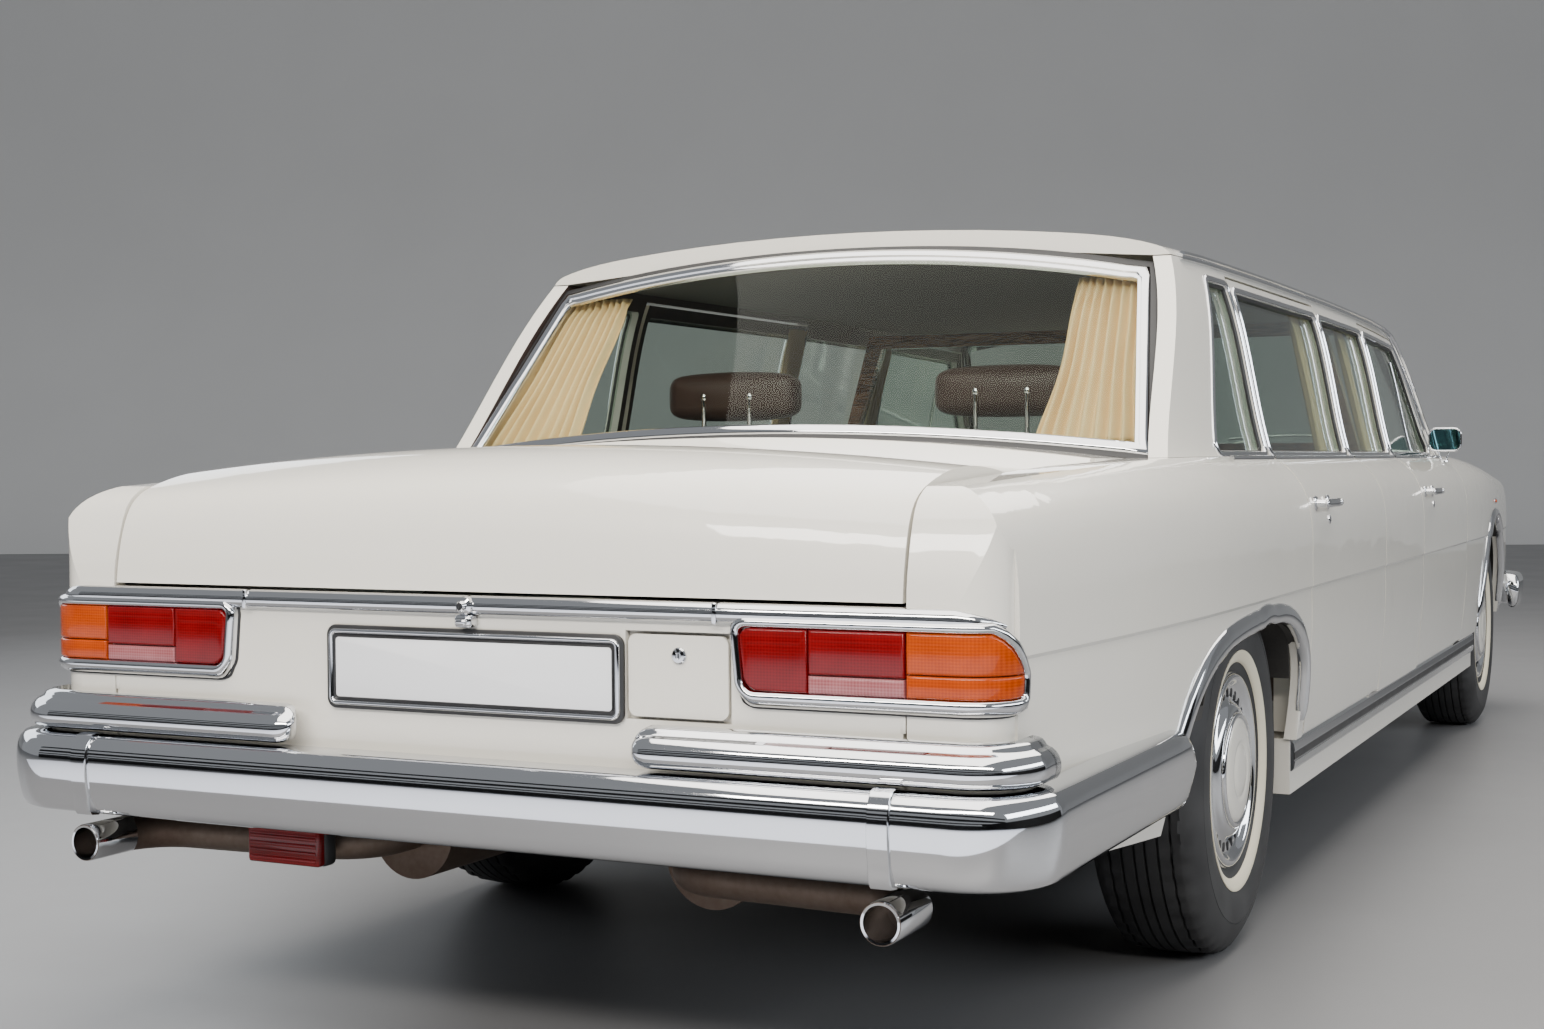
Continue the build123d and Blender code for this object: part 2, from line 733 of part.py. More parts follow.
def screen(foot_y, top_y, foot_bow, top_bow, foot_half, top_half, foot_rise, top_z, top_rise):
    """Curved windscreen or rear window; the bows are how far its middle stands out.

    Its edges are an arc at the foot, an arc under the roof, and two straight sides.
    """
    way = 1 if foot_y > top_y else -1
    rings = []
    for share in (-0.1, 0.6, 1.3):
        z = mix(BELT_Z, top_z, share)
        y, bow = mix(foot_y, top_y, share), mix(foot_bow, top_bow, share)
        half = mix(foot_half, top_half, share) + 30
        arcs = []
        for inset in (0, GLASS_THICK):
            middle = (0, y + way * (bow - inset), z)
            end_y = y - way * (inset + 0.08 * bow)
            arcs.append(((-half, end_y, z), middle, (half, end_y, z)))
        outer = Edge.make_three_point_arc(*[Vector(*p) for p in arcs[0]])
        inner = Edge.make_three_point_arc(*[Vector(*p) for p in arcs[1]])
        right = Edge.make_line(outer @ 1, inner @ 1)
        left = Edge.make_line(inner @ 0, outer @ 0)
        rings.append(Wire([outer, right, inner, left]))
    slab = loft_rings(rings)
    foot = ThreePointArc(
        (-foot_half, BELT_Z + JOINT_GAP), (0, BELT_Z + foot_rise), (foot_half, BELT_Z + JOINT_GAP)
    )
    top = ThreePointArc((top_half, top_z), (0, top_z + top_rise), (-top_half, top_z))
    sides = [Line(foot @ 1, top @ 0), Line(top @ 1, foot @ 0)]
    face = make_face(Curve() + [foot, sides[0], top, sides[1]])
    outline = Pos(0, 4000, 0) * Rot(90, 0, 0) * extrude(face, 8000)
    return slab & outline


def crowned_slab(y0, y1, half_at, edge_z, crown, thick, count=3):
    """Slab with a crowned top, between the two shelves."""
    rings = []
    for i in range(count + 1):
        y = mix(y0, y1, i / count)
        half, z = half_at(y), edge_z(y)
        top = [(half, z), (0.6 * half, z + 0.66 * crown), (0, z + crown)]
        top += [(-x, height) for x, height in reversed(top[:2])]
        low = [(x, height - thick) for x, height in reversed(top)]
        rings.append(ring(y, top, [top[-1], low[0]], low, [low[-1], top[0]]))
    return loft_rings(rings)


def rear_deck():
    """Panel between the boot lid and the rear window, with the parcel shelf behind the seat."""
    whole = crowned_slab(
        LID_FRONT_Y + SHUT_GAP,
        REAR_AXLE_Y + 60,
        lambda y: LID_HALF + SHUT_GAP - JOINT_GAP,
        lambda y: BELT_Z - 2,
        LID_CROWN,
        LID_THICK,
    )
    for x in (-430, 430):
        y0, y1 = LID_FRONT_Y + SEAT_GAP, LID_FRONT_Y + SHUT_GAP + 3
        whole = whole + box(x - 30, x + 30, y0, y1, BELT_Z + 8, BELT_Z + 22)
    return whole


# ---------------------------------------------------------------- lid and bonnet
def lid_profile(share, depth):
    """Side view of the boot lid's skin at a share of its half width, moved in by depth."""
    rise = LID_CROWN * (1 - share * share)
    y = TAIL_Y + depth
    return [
        (y, LID_FOOT_Z),
        (y + 17, 887 + 0.2 * rise),
        (y + 45, 938 + 0.45 * rise - 0.6 * depth),
        (y + 105, 968 + 0.65 * rise - depth),
        (y + 400, 986 + 0.85 * rise - depth),
        (LID_FRONT_Y, BELT_Z - 2 + rise - depth),
    ]


def boot_lid():
    """Boot lid: a crowned skin that turns down at the back."""
    rings = []
    for share in (-1.0, -0.5, 0.0, 0.5, 1.0):
        x = share * LID_HALF
        outer = [Vector(x, y, z) for y, z in lid_profile(share, 0)]
        inner = [Vector(x, y, z) for y, z in lid_profile(share, LID_THICK)]
        rings.append(
            Wire(
                [
                    Edge.make_spline(outer),
                    Edge.make_line(outer[-1], inner[-1]),
                    Edge.make_spline(inner[::-1]),
                    Edge.make_line(inner[0], outer[0]),
                ]
            )
        )
    return loft_rings(rings)


def bonnet_profile(share, depth):
    """Points (y, z) of the bonnet's skin, scuttle to nose, moved in by depth."""
    rise = BONNET_CROWN * (1 - share * share)
    front = BONNET_FRONT_Y - depth
    return [
        (BONNET_BACK_Y, nose_shelf(BONNET_BACK_Y) + rise - depth),
        (mix(BONNET_BACK_Y, BONNET_FRONT_Y, 0.35), nose_shelf(FRONT_AXLE_Y - 200) + rise - depth),
        (mix(BONNET_BACK_Y, BONNET_FRONT_Y, 0.7), nose_shelf(FRONT_AXLE_Y + 300) + 0.9 * rise - depth),
        (front - 60, nose_shelf(NOSE_Y - 90) + 0.7 * rise - 0.8 * depth),
        (front, 895 + 0.4 * rise),
    ]


def bonnet():
    """Bonnet: a crowned skin, narrower at the nose, with a rounded front edge."""
    rings = []
    for share in (-1.0, -0.5, 0.0, 0.5, 1.0):
        chains = []
        for depth in (0, LID_THICK):
            points = bonnet_profile(share, depth)
            chains.append([Vector(share * bonnet_half(y), y, z) for y, z in points])
        outer, inner = chains
        rings.append(
            Wire(
                [
                    Edge.make_spline(outer),
                    Edge.make_line(outer[-1], inner[-1]),
                    Edge.make_spline(inner[::-1]),
                    Edge.make_line(inner[0], outer[0]),
                ]
            )
        )
    return loft_rings(rings)


# ---------------------------------------------------------------- wheels
def tyre(track):
    """Right-hand tyre about the Y axis, at its track."""
    half = TYRE_WIDTH / 2
    seat = RIM_RADIUS - 12
    outline = [
        (seat, -RIM_WIDTH / 2 + 8),
        (seat + 18, -RIM_WIDTH / 2 - 6),
        (290, -half),
        (TYRE_RADIUS - 32, -half + 10),
        (TYRE_RADIUS - 8, -half + 30),
        (TYRE_RADIUS, -half + 62),
    ]
    outline += [(r, -a) for r, a in reversed(outline)]
    solid = revolve(make_face(Polyline(*outline, close=True)), Axis.Y, 360)
    return Pos(track / 2, 0, TYRE_RADIUS) * Rot(0, 0, -90) * solid


def wheel(track):
    """Right-hand pressed wheel with its domed cover, bored for the spindle."""
    half = RIM_WIDTH / 2
    seat = RIM_RADIUS - 12 - JOINT_GAP
    bore = SPINDLE_RADIUS + RUNNING_FIT
    outline = [
        (bore, 0),
        (70, 0),
        (120, 20),
        (160, 14),
        (seat - 14, 0),
        (seat - 14, -half + 6),
        (seat - 6, -half),
        (seat, -half),
        (seat, half - 9),
        (seat + 3, half + 1),
        (seat + 3, half + 4),
        (182, half + 12),
        (168, half + 2),
        (150, half + 2),
        (140, half + 16),
        (90, half + 26),
        (40, half + 30),
        (0, half + 31),
        (0, 70),
        (bore, 70),
    ]
    solid = revolve(make_face(Polyline(*outline, close=True)), Axis.Y, 360)
    return Pos(track / 2, 0, TYRE_RADIUS) * Rot(0, 0, -90) * solid


# ---------------------------------------------------------------- floor and bulkhead
def rear_housing():
    """Right rear wheel housing: half drum over the tyre and its inner wall."""
    radius = TYRE_RADIUS + 38
    x1 = BODY_HALF - SKIN
    shell = drum(REAR_HOUSING_X, x1, REAR_AXLE_Y, TYRE_RADIUS, radius + HOUSING_THICK)
    hollow = drum(REAR_HOUSING_X + HOUSING_THICK, x1 + 50, REAR_AXLE_Y, TYRE_RADIUS, radius)
    below = box(600, 1100, REAR_AXLE_Y - 600, REAR_AXLE_Y + 600, -200, BOOT_FLOOR_Z)
    wall = box(
        REAR_HOUSING_X,
        REAR_HOUSING_X + HOUSING_THICK,
        REAR_AXLE_Y - radius - HOUSING_THICK,
        KICK_UP_Y + BOOT_FLOOR_THICK / 2,
        FLOOR_Z,
        BOOT_FLOOR_Z + 10,
    )
    wall = wall - box(
        REAR_HOUSING_X - 5,
        REAR_HOUSING_X + HOUSING_THICK + 5,
        REAR_AXLE_Y - 70,
        REAR_AXLE_Y + 70,
        FLOOR_Z - 5,
        TYRE_RADIUS + 70,
    )
    inside = tail_block(SKIN + JOINT_GAP, inner_reach)
    return ((shell - hollow - below) & inside) + wall


def front_housing():
    """Right front wheel housing, open towards the wheel."""
    radius = ARCH_RADIUS_FRONT + 14
    shell = drum(FRONT_HOUSING_X, 1100, FRONT_AXLE_Y, ARCH_Z_FRONT, radius + HOUSING_THICK)
    hollow = drum(FRONT_HOUSING_X - 50, 1200, FRONT_AXLE_Y, ARCH_Z_FRONT, radius)
    below = box(0, 1300, FRONT_AXLE_Y - 700, FRONT_AXLE_Y + 700, -200, ARCH_Z_FRONT + 80)
    shell = (shell - hollow - below) & nose_block(SKIN + JOINT_GAP, inner_reach)
    wall = box(
        FRONT_HOUSING_X,
        FRONT_HOUSING_X + HOUSING_THICK,
        BULKHEAD_Y + 30 + JOINT_GAP,
        NOSE_Y - 58 - JOINT_GAP,
        FLOOR_Z + 20,
        ARCH_Z_FRONT + radius + 2,
    )
    return shell + wall


def sill_ends():
    """Where the sills start behind the rear doors and end at the front arch."""
    return REAR_AXLE_Y + 402, FRONT_AXLE_Y - ARCH_RADIUS_FRONT - 4


def sill():
    """Right sill under the doors, flat below for a jack."""
    back, front = sill_ends()
    return box(SILL_HALF - SILL_WIDTH, SILL_HALF, back, front, FLOOR_Z, SILL_TOP)


def floor_pan():
    """Floor with its kick-up, boot floor, wheel housings and front chassis legs."""
    top = FLOOR_Z + FLOOR_THICK
    sill_back = sill_ends()[0]
    edge = SILL_HALF - SILL_WIDTH - JOINT_GAP
    pan = box(-edge, edge, sill_back, BULKHEAD_Y + 20, FLOOR_Z, top)
    pan = pan + box(-FRONT_HOUSING_X, FRONT_HOUSING_X, KICK_UP_Y, BULKHEAD_Y + 20, FLOOR_Z, top)
    pan = pan + box(-REAR_HOUSING_X, REAR_HOUSING_X, KICK_UP_Y, sill_back + 5, FLOOR_Z, top)
    boot_top = BOOT_FLOOR_Z + BOOT_FLOOR_THICK
    pan = pan + box(
        -REAR_HOUSING_X, REAR_HOUSING_X, KICK_UP_Y, KICK_UP_Y + BOOT_FLOOR_THICK, FLOOR_Z, boot_top
    )
    boot_back = TAIL_Y + SKIN + JOINT_GAP
    boot_half = REAR_HOUSING_X + 4
    pan = pan + box(-boot_half, boot_half, boot_back, KICK_UP_Y + 10, BOOT_FLOOR_Z, boot_top)
    cross = REAR_AXLE_Y - 300
    wide = box(0, 1000, boot_back, cross, BOOT_FLOOR_Z, boot_top)
    wide = wide & tail_block(SKIN + JOINT_GAP, inner_reach)
    wide = wide - drum(REAR_HOUSING_X + 4, 1100, REAR_AXLE_Y, TYRE_RADIUS, TYRE_RADIUS + 40)
    for piece in both_sides(wide):
        pan = pan + piece
    for leg in (-FRONT_HOUSING_X - 4, FRONT_HOUSING_X + 4):
        pan = pan + box(
            leg - LEG_HALF, leg + LEG_HALF, BULKHEAD_Y - 100, NOSE_Y - 58 - JOINT_GAP, FLOOR_Z, FLOOR_Z + 80
        )
    for housing in both_sides(rear_housing()) + both_sides(front_housing()):
        pan = pan + housing
    tunnel = box(-130, 130, KICK_UP_Y + 10, BULKHEAD_Y + 20, FLOOR_Z, FLOOR_Z + 150)
    tunnel = tunnel - box(-100, 100, KICK_UP_Y + 40, BULKHEAD_Y + 100, FLOOR_Z - 10, FLOOR_Z + 120)
    hollow = box(-100, 100, KICK_UP_Y + 40, BULKHEAD_Y + 100, FLOOR_Z - 10, FLOOR_Z + 60)
    return (pan + tunnel) - hollow


def scuttle_edge_z(y):
    """Height of the panel between the windscreen and the bonnet."""
    return BELT_Z - 2 - 12 * max(0.0, (y - SCREEN_FOOT_Y) / 200)


def bulkhead():
    """Bulkhead ahead of the cabin, with the door posts and the panel under the windscreen."""
    wall = box(
        -700,
        700,
        BULKHEAD_Y,
        BULKHEAD_Y + 30,
        FLOOR_Z + FLOOR_THICK + JOINT_GAP,
        BELT_Z - 12,
    )
    tunnel = box(
        -130 - JOINT_GAP, 130 + JOINT_GAP, BULKHEAD_Y - 10, BULKHEAD_Y + 40, 200, FLOOR_Z + 150.4
    )
    legs = [
        box(x - LEG_HALF - 1, x + LEG_HALF + 1, BULKHEAD_Y - 9, BULKHEAD_Y + 40, 200, FLOOR_Z + 80.4)
        for x in (-FRONT_HOUSING_X - 4, FRONT_HOUSING_X + 4)
    ]
    wall = wall - tunnel - legs[0] - legs[1]
    scuttle = crowned_slab(
        SCREEN_FOOT_Y - 60,
        BONNET_BACK_Y - SHUT_GAP,
        lambda y: BONNET_HALF_BACK + SHUT_GAP - JOINT_GAP,
        scuttle_edge_z,
        BONNET_CROWN,
        LID_THICK,
        2,
    )
    post = box(690, 1000, BULKHEAD_Y - 90, BULKHEAD_Y + 30, SILL_TOP + JOINT_GAP, BELT_Z - 34)
    post_y = FRONT_DOOR_FRONT + SHUT_GAP / 2
    post = post + box(
        BODY_HALF - DOOR_THICK, BODY_HALF, post_y, BULKHEAD_Y, SILL_TOP + JOINT_GAP, BELT_Z - 60
    )
    post = post & nose_block(SKIN + JOINT_GAP, inner_reach)
    leaf = BODY_HALF - DOOR_THICK + 15
    tabs = hinge_tabs(post_y, leaf, leaf + POST_LEAF, HINGE_HEIGHTS, SHUT_GAP - SEAT_GAP)
    whole = wall + scuttle
    for piece in both_sides(post + tabs):
        whole = whole + piece
    for x in (-480, 480):
        y0, y1 = BONNET_BACK_Y - SHUT_GAP - 3, BONNET_BACK_Y - SEAT_GAP
        whole = whole + box(x - 25, x + 25, y0, y1, BELT_Z - 6, BELT_Z + 6)
    return whole


def front_panel():
    """Panel between the wings behind the grille, with the opening for the radiator."""
    half = bonnet_half(NOSE_Y)
    panel = box(-half - 5, half + 5, NOSE_Y - 58, NOSE_Y - 36, 415, 872)
    return panel - box(-260, 260, NOSE_Y - 80, NOSE_Y - 20, 470, 850)


# ---------------------------------------------------------------- running gear
def knuckle():
    """Right front knuckle: kingpin between the arms and the wheel's spindle."""
    low = ARM_LOW_Z + ARM_THICK + SEAT_GAP
    high = ARM_HIGH_Z - SEAT_GAP
    pin = rod((KINGPIN_X, FRONT_AXLE_Y, low), (KINGPIN_X, FRONT_AXLE_Y, high), KINGPIN_RADIUS)
    end = FRONT_TRACK / 2 + 60
    spindle = drum(KINGPIN_X, end, FRONT_AXLE_Y, TYRE_RADIUS, SPINDLE_RADIUS)
    collar = drum(
        KINGPIN_X, FRONT_TRACK / 2 - JOINT_GAP - 5, FRONT_AXLE_Y, TYRE_RADIUS, SPINDLE_RADIUS + 16
    )
    return pin + spindle + collar


def front_suspension():
    """Crossmember under the chassis legs with the upper and lower arms of both wheels."""
    y0, y1 = FRONT_AXLE_Y - 60, FRONT_AXLE_Y + 60
    whole = box(-460, 460, y0, y1, FLOOR_Z - 70, FLOOR_Z - JOINT_GAP)
    arm = box(440, KINGPIN_X + 26, y0 + 30, y1 - 30, ARM_LOW_Z, ARM_LOW_Z + ARM_THICK)
    for piece in both_sides(arm):
        whole = whole + piece
    x0 = FRONT_HOUSING_X + HOUSING_THICK + JOINT_GAP
    upper = box(x0, KINGPIN_X + 26, y0 + 35, y1 - 35, ARM_HIGH_Z, ARM_HIGH_Z + ARM_THICK - 6)
    return [whole] + both_sides(upper)


def rear_axle():
    """Axle tube with its final drive, both spindles, and the arms that carry it."""
    tube = drum(-REAR_TRACK / 2 + 75, REAR_TRACK / 2 - 75, REAR_AXLE_Y, TYRE_RADIUS, 44)
    spindle = drum(
        -REAR_TRACK / 2 - 60, REAR_TRACK / 2 + 60, REAR_AXLE_Y, TYRE_RADIUS, SPINDLE_RADIUS
    )
    flange = drum(REAR_TRACK / 2 - 90, REAR_TRACK / 2 - 5.4, REAR_AXLE_Y, TYRE_RADIUS, 60)
    drive = Pos(0, REAR_AXLE_Y, TYRE_RADIUS) * Sphere(125)
    nose = rod((0, REAR_AXLE_Y, TYRE_RADIUS), (0, REAR_AXLE_Y + 230, TYRE_RADIUS), 60)
    whole = tube + spindle + drive + nose
    for piece in both_sides(flange):
        whole = whole + piece
    for side in (-1, 1):
        x = side * 500
        front = KICK_UP_Y + 90
        whole = whole + rod((x, REAR_AXLE_Y, TYRE_RADIUS - 30), (x, front, FLOOR_Z - 56), 20)
        whole = whole + box(x - 30, x + 30, front - 30, front + 40, FLOOR_Z - 66, FLOOR_Z - JOINT_GAP)
        whole = whole + rod(
            (x, REAR_AXLE_Y, TYRE_RADIUS), (x, REAR_AXLE_Y, BOOT_FLOOR_Z - JOINT_GAP), 34
        )
    return whole


def engine():
    """The engine with its gearbox, as one plain block on the front crossmember."""
    return box(-330, 330, BULKHEAD_Y + 130, FRONT_AXLE_Y + 190, FLOOR_Z, 800)


def pipe(points, radius, wall=0.0):
    """Tube along straight runs with bends."""
    path = FilletPolyline(*points, radius=90)
    start = Plane(origin=path @ 0, z_dir=path % 0)
    section = start * Circle(radius)
    tube = sweep(section, path=path)
    if wall:
        tube = tube - sweep(start * Circle(radius - wall), path=path)
    return tube


def exhaust():
    """Right-hand exhaust: pipe under the floor, silencer, hangers and open tailpipe."""
    silencer_y0, silencer_y1 = TAIL_Y + 250, TAIL_Y + 800
    x, z = 300.0, 205.0
    run = pipe([(x, BULKHEAD_Y + 60, z), (x, REAR_AXLE_Y, z - 10), (x, silencer_y1 - 10, 330)], 25)
    can = rod((x, silencer_y0, 350), (x, silencer_y1, 350), 85)
    tail = pipe(
        [
            (x, silencer_y0 + 10, 350),
            (x, silencer_y0 - 130, 350),
            (TAILPIPE_X, silencer_y0 - 170, TAILPIPE_Z),
            (TAILPIPE_X, TAILPIPE_END, TAILPIPE_Z),
        ],
        TAILPIPE_RADIUS,
    )
    tip = rod(
        (TAILPIPE_X, TAILPIPE_END - 1, TAILPIPE_Z),
        (TAILPIPE_X, TAILPIPE_END + 90, TAILPIPE_Z),
        TAILPIPE_RADIUS - 2,
    )
    hangers = rod((x, silencer_y0 + 120, 350), (x, silencer_y0 + 120, BOOT_FLOOR_Z - JOINT_GAP), 9)
    hangers = hangers + rod(
        (x, silencer_y1 - 120, 350), (x, silencer_y1 - 120, BOOT_FLOOR_Z - JOINT_GAP), 9
    )
    front = rod((x, 900, z), (x, 900, FLOOR_Z - JOINT_GAP), 9)
    return run + can + tail + hangers + front - tip


TAILPIPE_X = 742.0
TAILPIPE_Z = 353.0
TAILPIPE_END = REAR_END + 10
TAILPIPE_RADIUS = 31.0


# ---------------------------------------------------------------- bumpers
def bumper_section():
    """Section of a bumper blade: (distance outwards, height) points of its face, and a flat back."""
    face = [(-14, 402), (0, 425), (8, 465), (12, 505), (8, 532), (-10, 547)]
    front = Spline(*face)
    back = Polyline(face[-1], (-20, face[-1][1] - 8), (-20, face[0][1] + 8), face[0])
    return make_face(Curve() + [front, back])


def bumper(end, way, reach):
    """Bumper blade with its wings along the body sides, in one bow."""
    half, y, corner = BUMPER_HALF - 12, end + way * 12, 130.0
    start = Vector(half, y + way * reach, 0)
    side = Line(start, (half, y + way * corner, 0))
    turn = corner_arc(half, y, corner, way)
    across = Line(turn @ 1, (0, y, 0))
    section = Plane(origin=start, x_dir=(1, 0, 0), z_dir=(0, -1, 0)) * bumper_section()
    right = sweep(section, path=Curve() + [side, turn, across])
    return right + mirror(right, about=Plane.YZ)


def bumper_brackets(end, way):
    """Right-hand brackets: one from the end panel and one from the side, to the blade's back."""
    wall = TAIL_Y if way > 0 else NOSE_Y - 36
    back = end + way * 12 + way * 20
    y0, y1 = sorted((back - way * 2, wall - way * JOINT_GAP))
    if way < 0:
        y0, y1 = sorted((back + 2, wall + JOINT_GAP))
    return box(430, 480, y0, y1, 450, 500)


def rear_bumper():
    """Rear bumper: the blade, its brackets, and the pair of upper bars."""
    blade = bumper(REAR_END, 1, REAR_BUMPER_REACH)
    bracket = bumper_brackets(REAR_END, 1)
    side = box(
        tail_half(REAR_AXLE_Y - 760) - 12,
        BUMPER_HALF - 36,
        REAR_AXLE_Y - 790,
        REAR_AXLE_Y - 740,
        455,
        500,
    )
    side = side - tail_block(-JOINT_GAP)
    whole = blade
    for piece in both_sides(bracket) + both_sides(side):
        whole = whole + piece
    return [whole] + both_sides(upper_bar())


REAR_BUMPER_REACH = 842.0
FRONT_BUMPER_REACH = 300.0
UPPER_BAR_IN = 320.0  # inner end of the upper bumper bars


def upper_bar():
    """Right upper bumper bar: from its inner end round the corner, standing on the blade."""
    half, y, corner = BUMPER_HALF - 38, REAR_END + 42, 96.0
    face = [(-10, 548), (6, 556), (12, 568), (4, 582), (0, 596), (-8, 608)]
    front = Spline(*face)
    back = Polyline(face[-1], (-22, 604), (-22, 547.6), face[0])
    section = make_face(Curve() + [front, back])
    start = Vector(half, y + corner + 40, 0)
    side = Line(start, (half, y + corner, 0))
    turn = corner_arc(half, y, corner, 1)
    across = Line(turn @ 1, (UPPER_BAR_IN, y, 0))
    placed = Plane(origin=start, x_dir=(1, 0, 0), z_dir=(0, -1, 0)) * section
    bar = sweep(placed, path=Curve() + [side, turn, across])
    return bar + box(560, 600, y + 10, TAIL_Y - JOINT_GAP, 565, 590)


def front_bumper():
    """Front bumper: the blade and its brackets."""
    whole = bumper(FRONT_END, -1, FRONT_BUMPER_REACH)
    for piece in both_sides(bumper_brackets(FRONT_END, -1)):
        whole = whole + piece
    return whole


# ---------------------------------------------------------------- lamps, grille and plates
def tail_lamps():
    """Tail lamp wrapping the right corner, and its mirror image."""
    rise = 12.0
    out = tail_half(TAIL_Y + 60) + rise
    face = Polyline(
        (TAIL_LAMP_IN, 664),
        (TAIL_LAMP_IN, 748),
        (TAIL_LAMP_IN + 22, 764),
        (out - 34, 786),
        (out, 715),
        (out - 8, 660),
        (out - 26, 644),
        (TAIL_LAMP_IN + 22, 648),
        close=True,
    )
    prism = Pos(0, TAIL_Y + 160, 0) * Rot(90, 0, 0) * extrude(make_face(face), 400)
    return both_sides((lamp_shell(rise) & prism) - tail_block(-JOINT_GAP, inner_reach))


TAIL_LAMP_IN = 474.0


def lamp_shell(out):
    """Block behind the tail's surface, moved out, down to the lamp's inner end."""
    half = tail_half(TAIL_Y + 60) + out
    y = TAIL_Y - out
    turn = corner_arc(half, y, TAIL_CORNER + out, 1)
    rest = Polyline((turn @ 1), (300, y), (300, y + 180), (half, y + 180), (turn @ 0))
    return Pos(0, 0, 600) * extrude(make_face(Curve() + [turn, rest]), 220)


def fog_lamp():
    """Red rear fog lamp under the left of the bumper, on its bracket."""
    body = box(-478, -322, TAIL_Y + 20, TAIL_Y + 70, 322, 395)
    return body + box(-415, -385, TAIL_Y + 35, TAIL_Y + 55, 390, BOOT_FLOOR_Z - JOINT_GAP)


def number_plates():
    """Blank plate at the tail, with its frame."""
    return box(-280, 285, TAIL_Y - 12, TAIL_Y - JOINT_GAP, 600, 738)


def grille():
    """Upright radiator grille: a frame with slats between its sides."""
    y0, y1 = NOSE_Y - 36 + JOINT_GAP, NOSE_Y + 32
    x, z0, z1, edge = 300.0, 480.0, 880.0, 26.0
    frame = box(-x, x, y0, y1, z0, z1) - box(-x + edge, x - edge, y0 - 5, y1 + 5, z0 + edge, z1 - edge)
    whole = frame + box(-10, 10, y0 + 14, y1 - 6, z0 + 5, z1 - 5)
    slats = 11
    for i in range(slats):
        z = mix(z0 + edge, z1 - edge, (i + 1) / (slats + 1))
        whole = whole + box(-x + 5, x - 5, y0 + 16, y1 - 12, z - 3, z + 3)
    return whole


def headlamp():
    """Right headlamp: a tall rounded lens block on the wing's front."""
    face = Pos(725, 722) * RectangleRounded(240, 300, 70)
    prism = Pos(0, NOSE_Y + 50, 0) * Rot(90, 0, 0) * extrude(face, 49.6)
    return prism


def fuel_flap():
    """Fuel flap in the tail panel, with its round lock."""
    y = TAIL_Y
    flap = box(FLAP_X0, FLAP_X1, y, y + FLAP_THICK, FLAP_Z0, FLAP_Z1)
    upright = flap.edges().filter_by(Axis.Y)
    flap = fillet(upright, 14)
    lock = rod((379, y + 2, 709), (379, y - 3, 709), 11)
    return flap + lock


# ---------------------------------------------------------------- cabin
WHEEL_X = -370.0
WHEEL_HUB_Y = FRONT_DOOR_FRONT - 325.0
WHEEL_HUB_Z = 820.0
WHEEL_LEAN = 20.0  # steering column from the horizontal
WHEEL_RADIUS = 200.0
COLUMN_LENGTH = 320.0


def dashboard():
    """Dashboard across the cabin, with the steering column."""
    y1 = BULKHEAD_Y - JOINT_GAP
    top = [(y1, 700), (y1, 968), (y1 - 190, 962), (y1 - 230, 900), (y1 - 215, 760), (y1 - 150, 700)]
    lean = math.radians(WHEEL_LEAN)
    end = (WHEEL_X, WHEEL_HUB_Y, WHEEL_HUB_Z)
    start = (
        WHEEL_X,
        WHEEL_HUB_Y + COLUMN_LENGTH * math.cos(lean),
        WHEEL_HUB_Z - COLUMN_LENGTH * math.sin(lean),
    )
    return side_prism(top, -690, 690, 12) + rod(start, end, 22)


def steering_wheel():
    """Steering wheel on the end of its column: rim, three flat spokes and hub."""
    whole = Pos(0, 0, 15) * Cylinder(42, 30)
    for angle in (0, 180, 270):
        whole = whole + Rot(0, 0, angle) * Pos(WHEEL_RADIUS / 2, 0, 19) * Box(WHEEL_RADIUS, 16, 8)
    whole = whole + Pos(0, 0, 19) * Torus(WHEEL_RADIUS, 11)
    place = Pos(WHEEL_X, WHEEL_HUB_Y, WHEEL_HUB_Z) * Rot(90 - WHEEL_LEAN, 0, 0)
    return place * Pos(0, 0, SEAT_GAP) * whole


def seat(x0, x1, y_back, depth, base_z, top_z, back_top, foot_z):
    """Seat: plinth, cushion and leaning backrest in one solid."""
    outline = [
        (y_back + 20, foot_z),
        (y_back + depth - 60, foot_z),
        (y_back + depth - 20, base_z),
        (y_back + depth, top_z - 30),
        (y_back + depth - 40, top_z + 8),
        (y_back + 190, top_z - 15),
        (y_back + 90, back_top - 20),
        (y_back + 60, back_top),
        (y_back, back_top - 20),
        (y_back + 60, base_z),
    ]
    return side_prism(outline, x0, x1, 9)


def front_seats():
    """Two front seats."""
    foot = FLOOR_Z + FLOOR_THICK + JOINT_GAP
    outline = seat(190, 720, FRONT_DOOR_BACK + 40, 620, 420, 560, 1030, foot)
    return both_sides(outline)


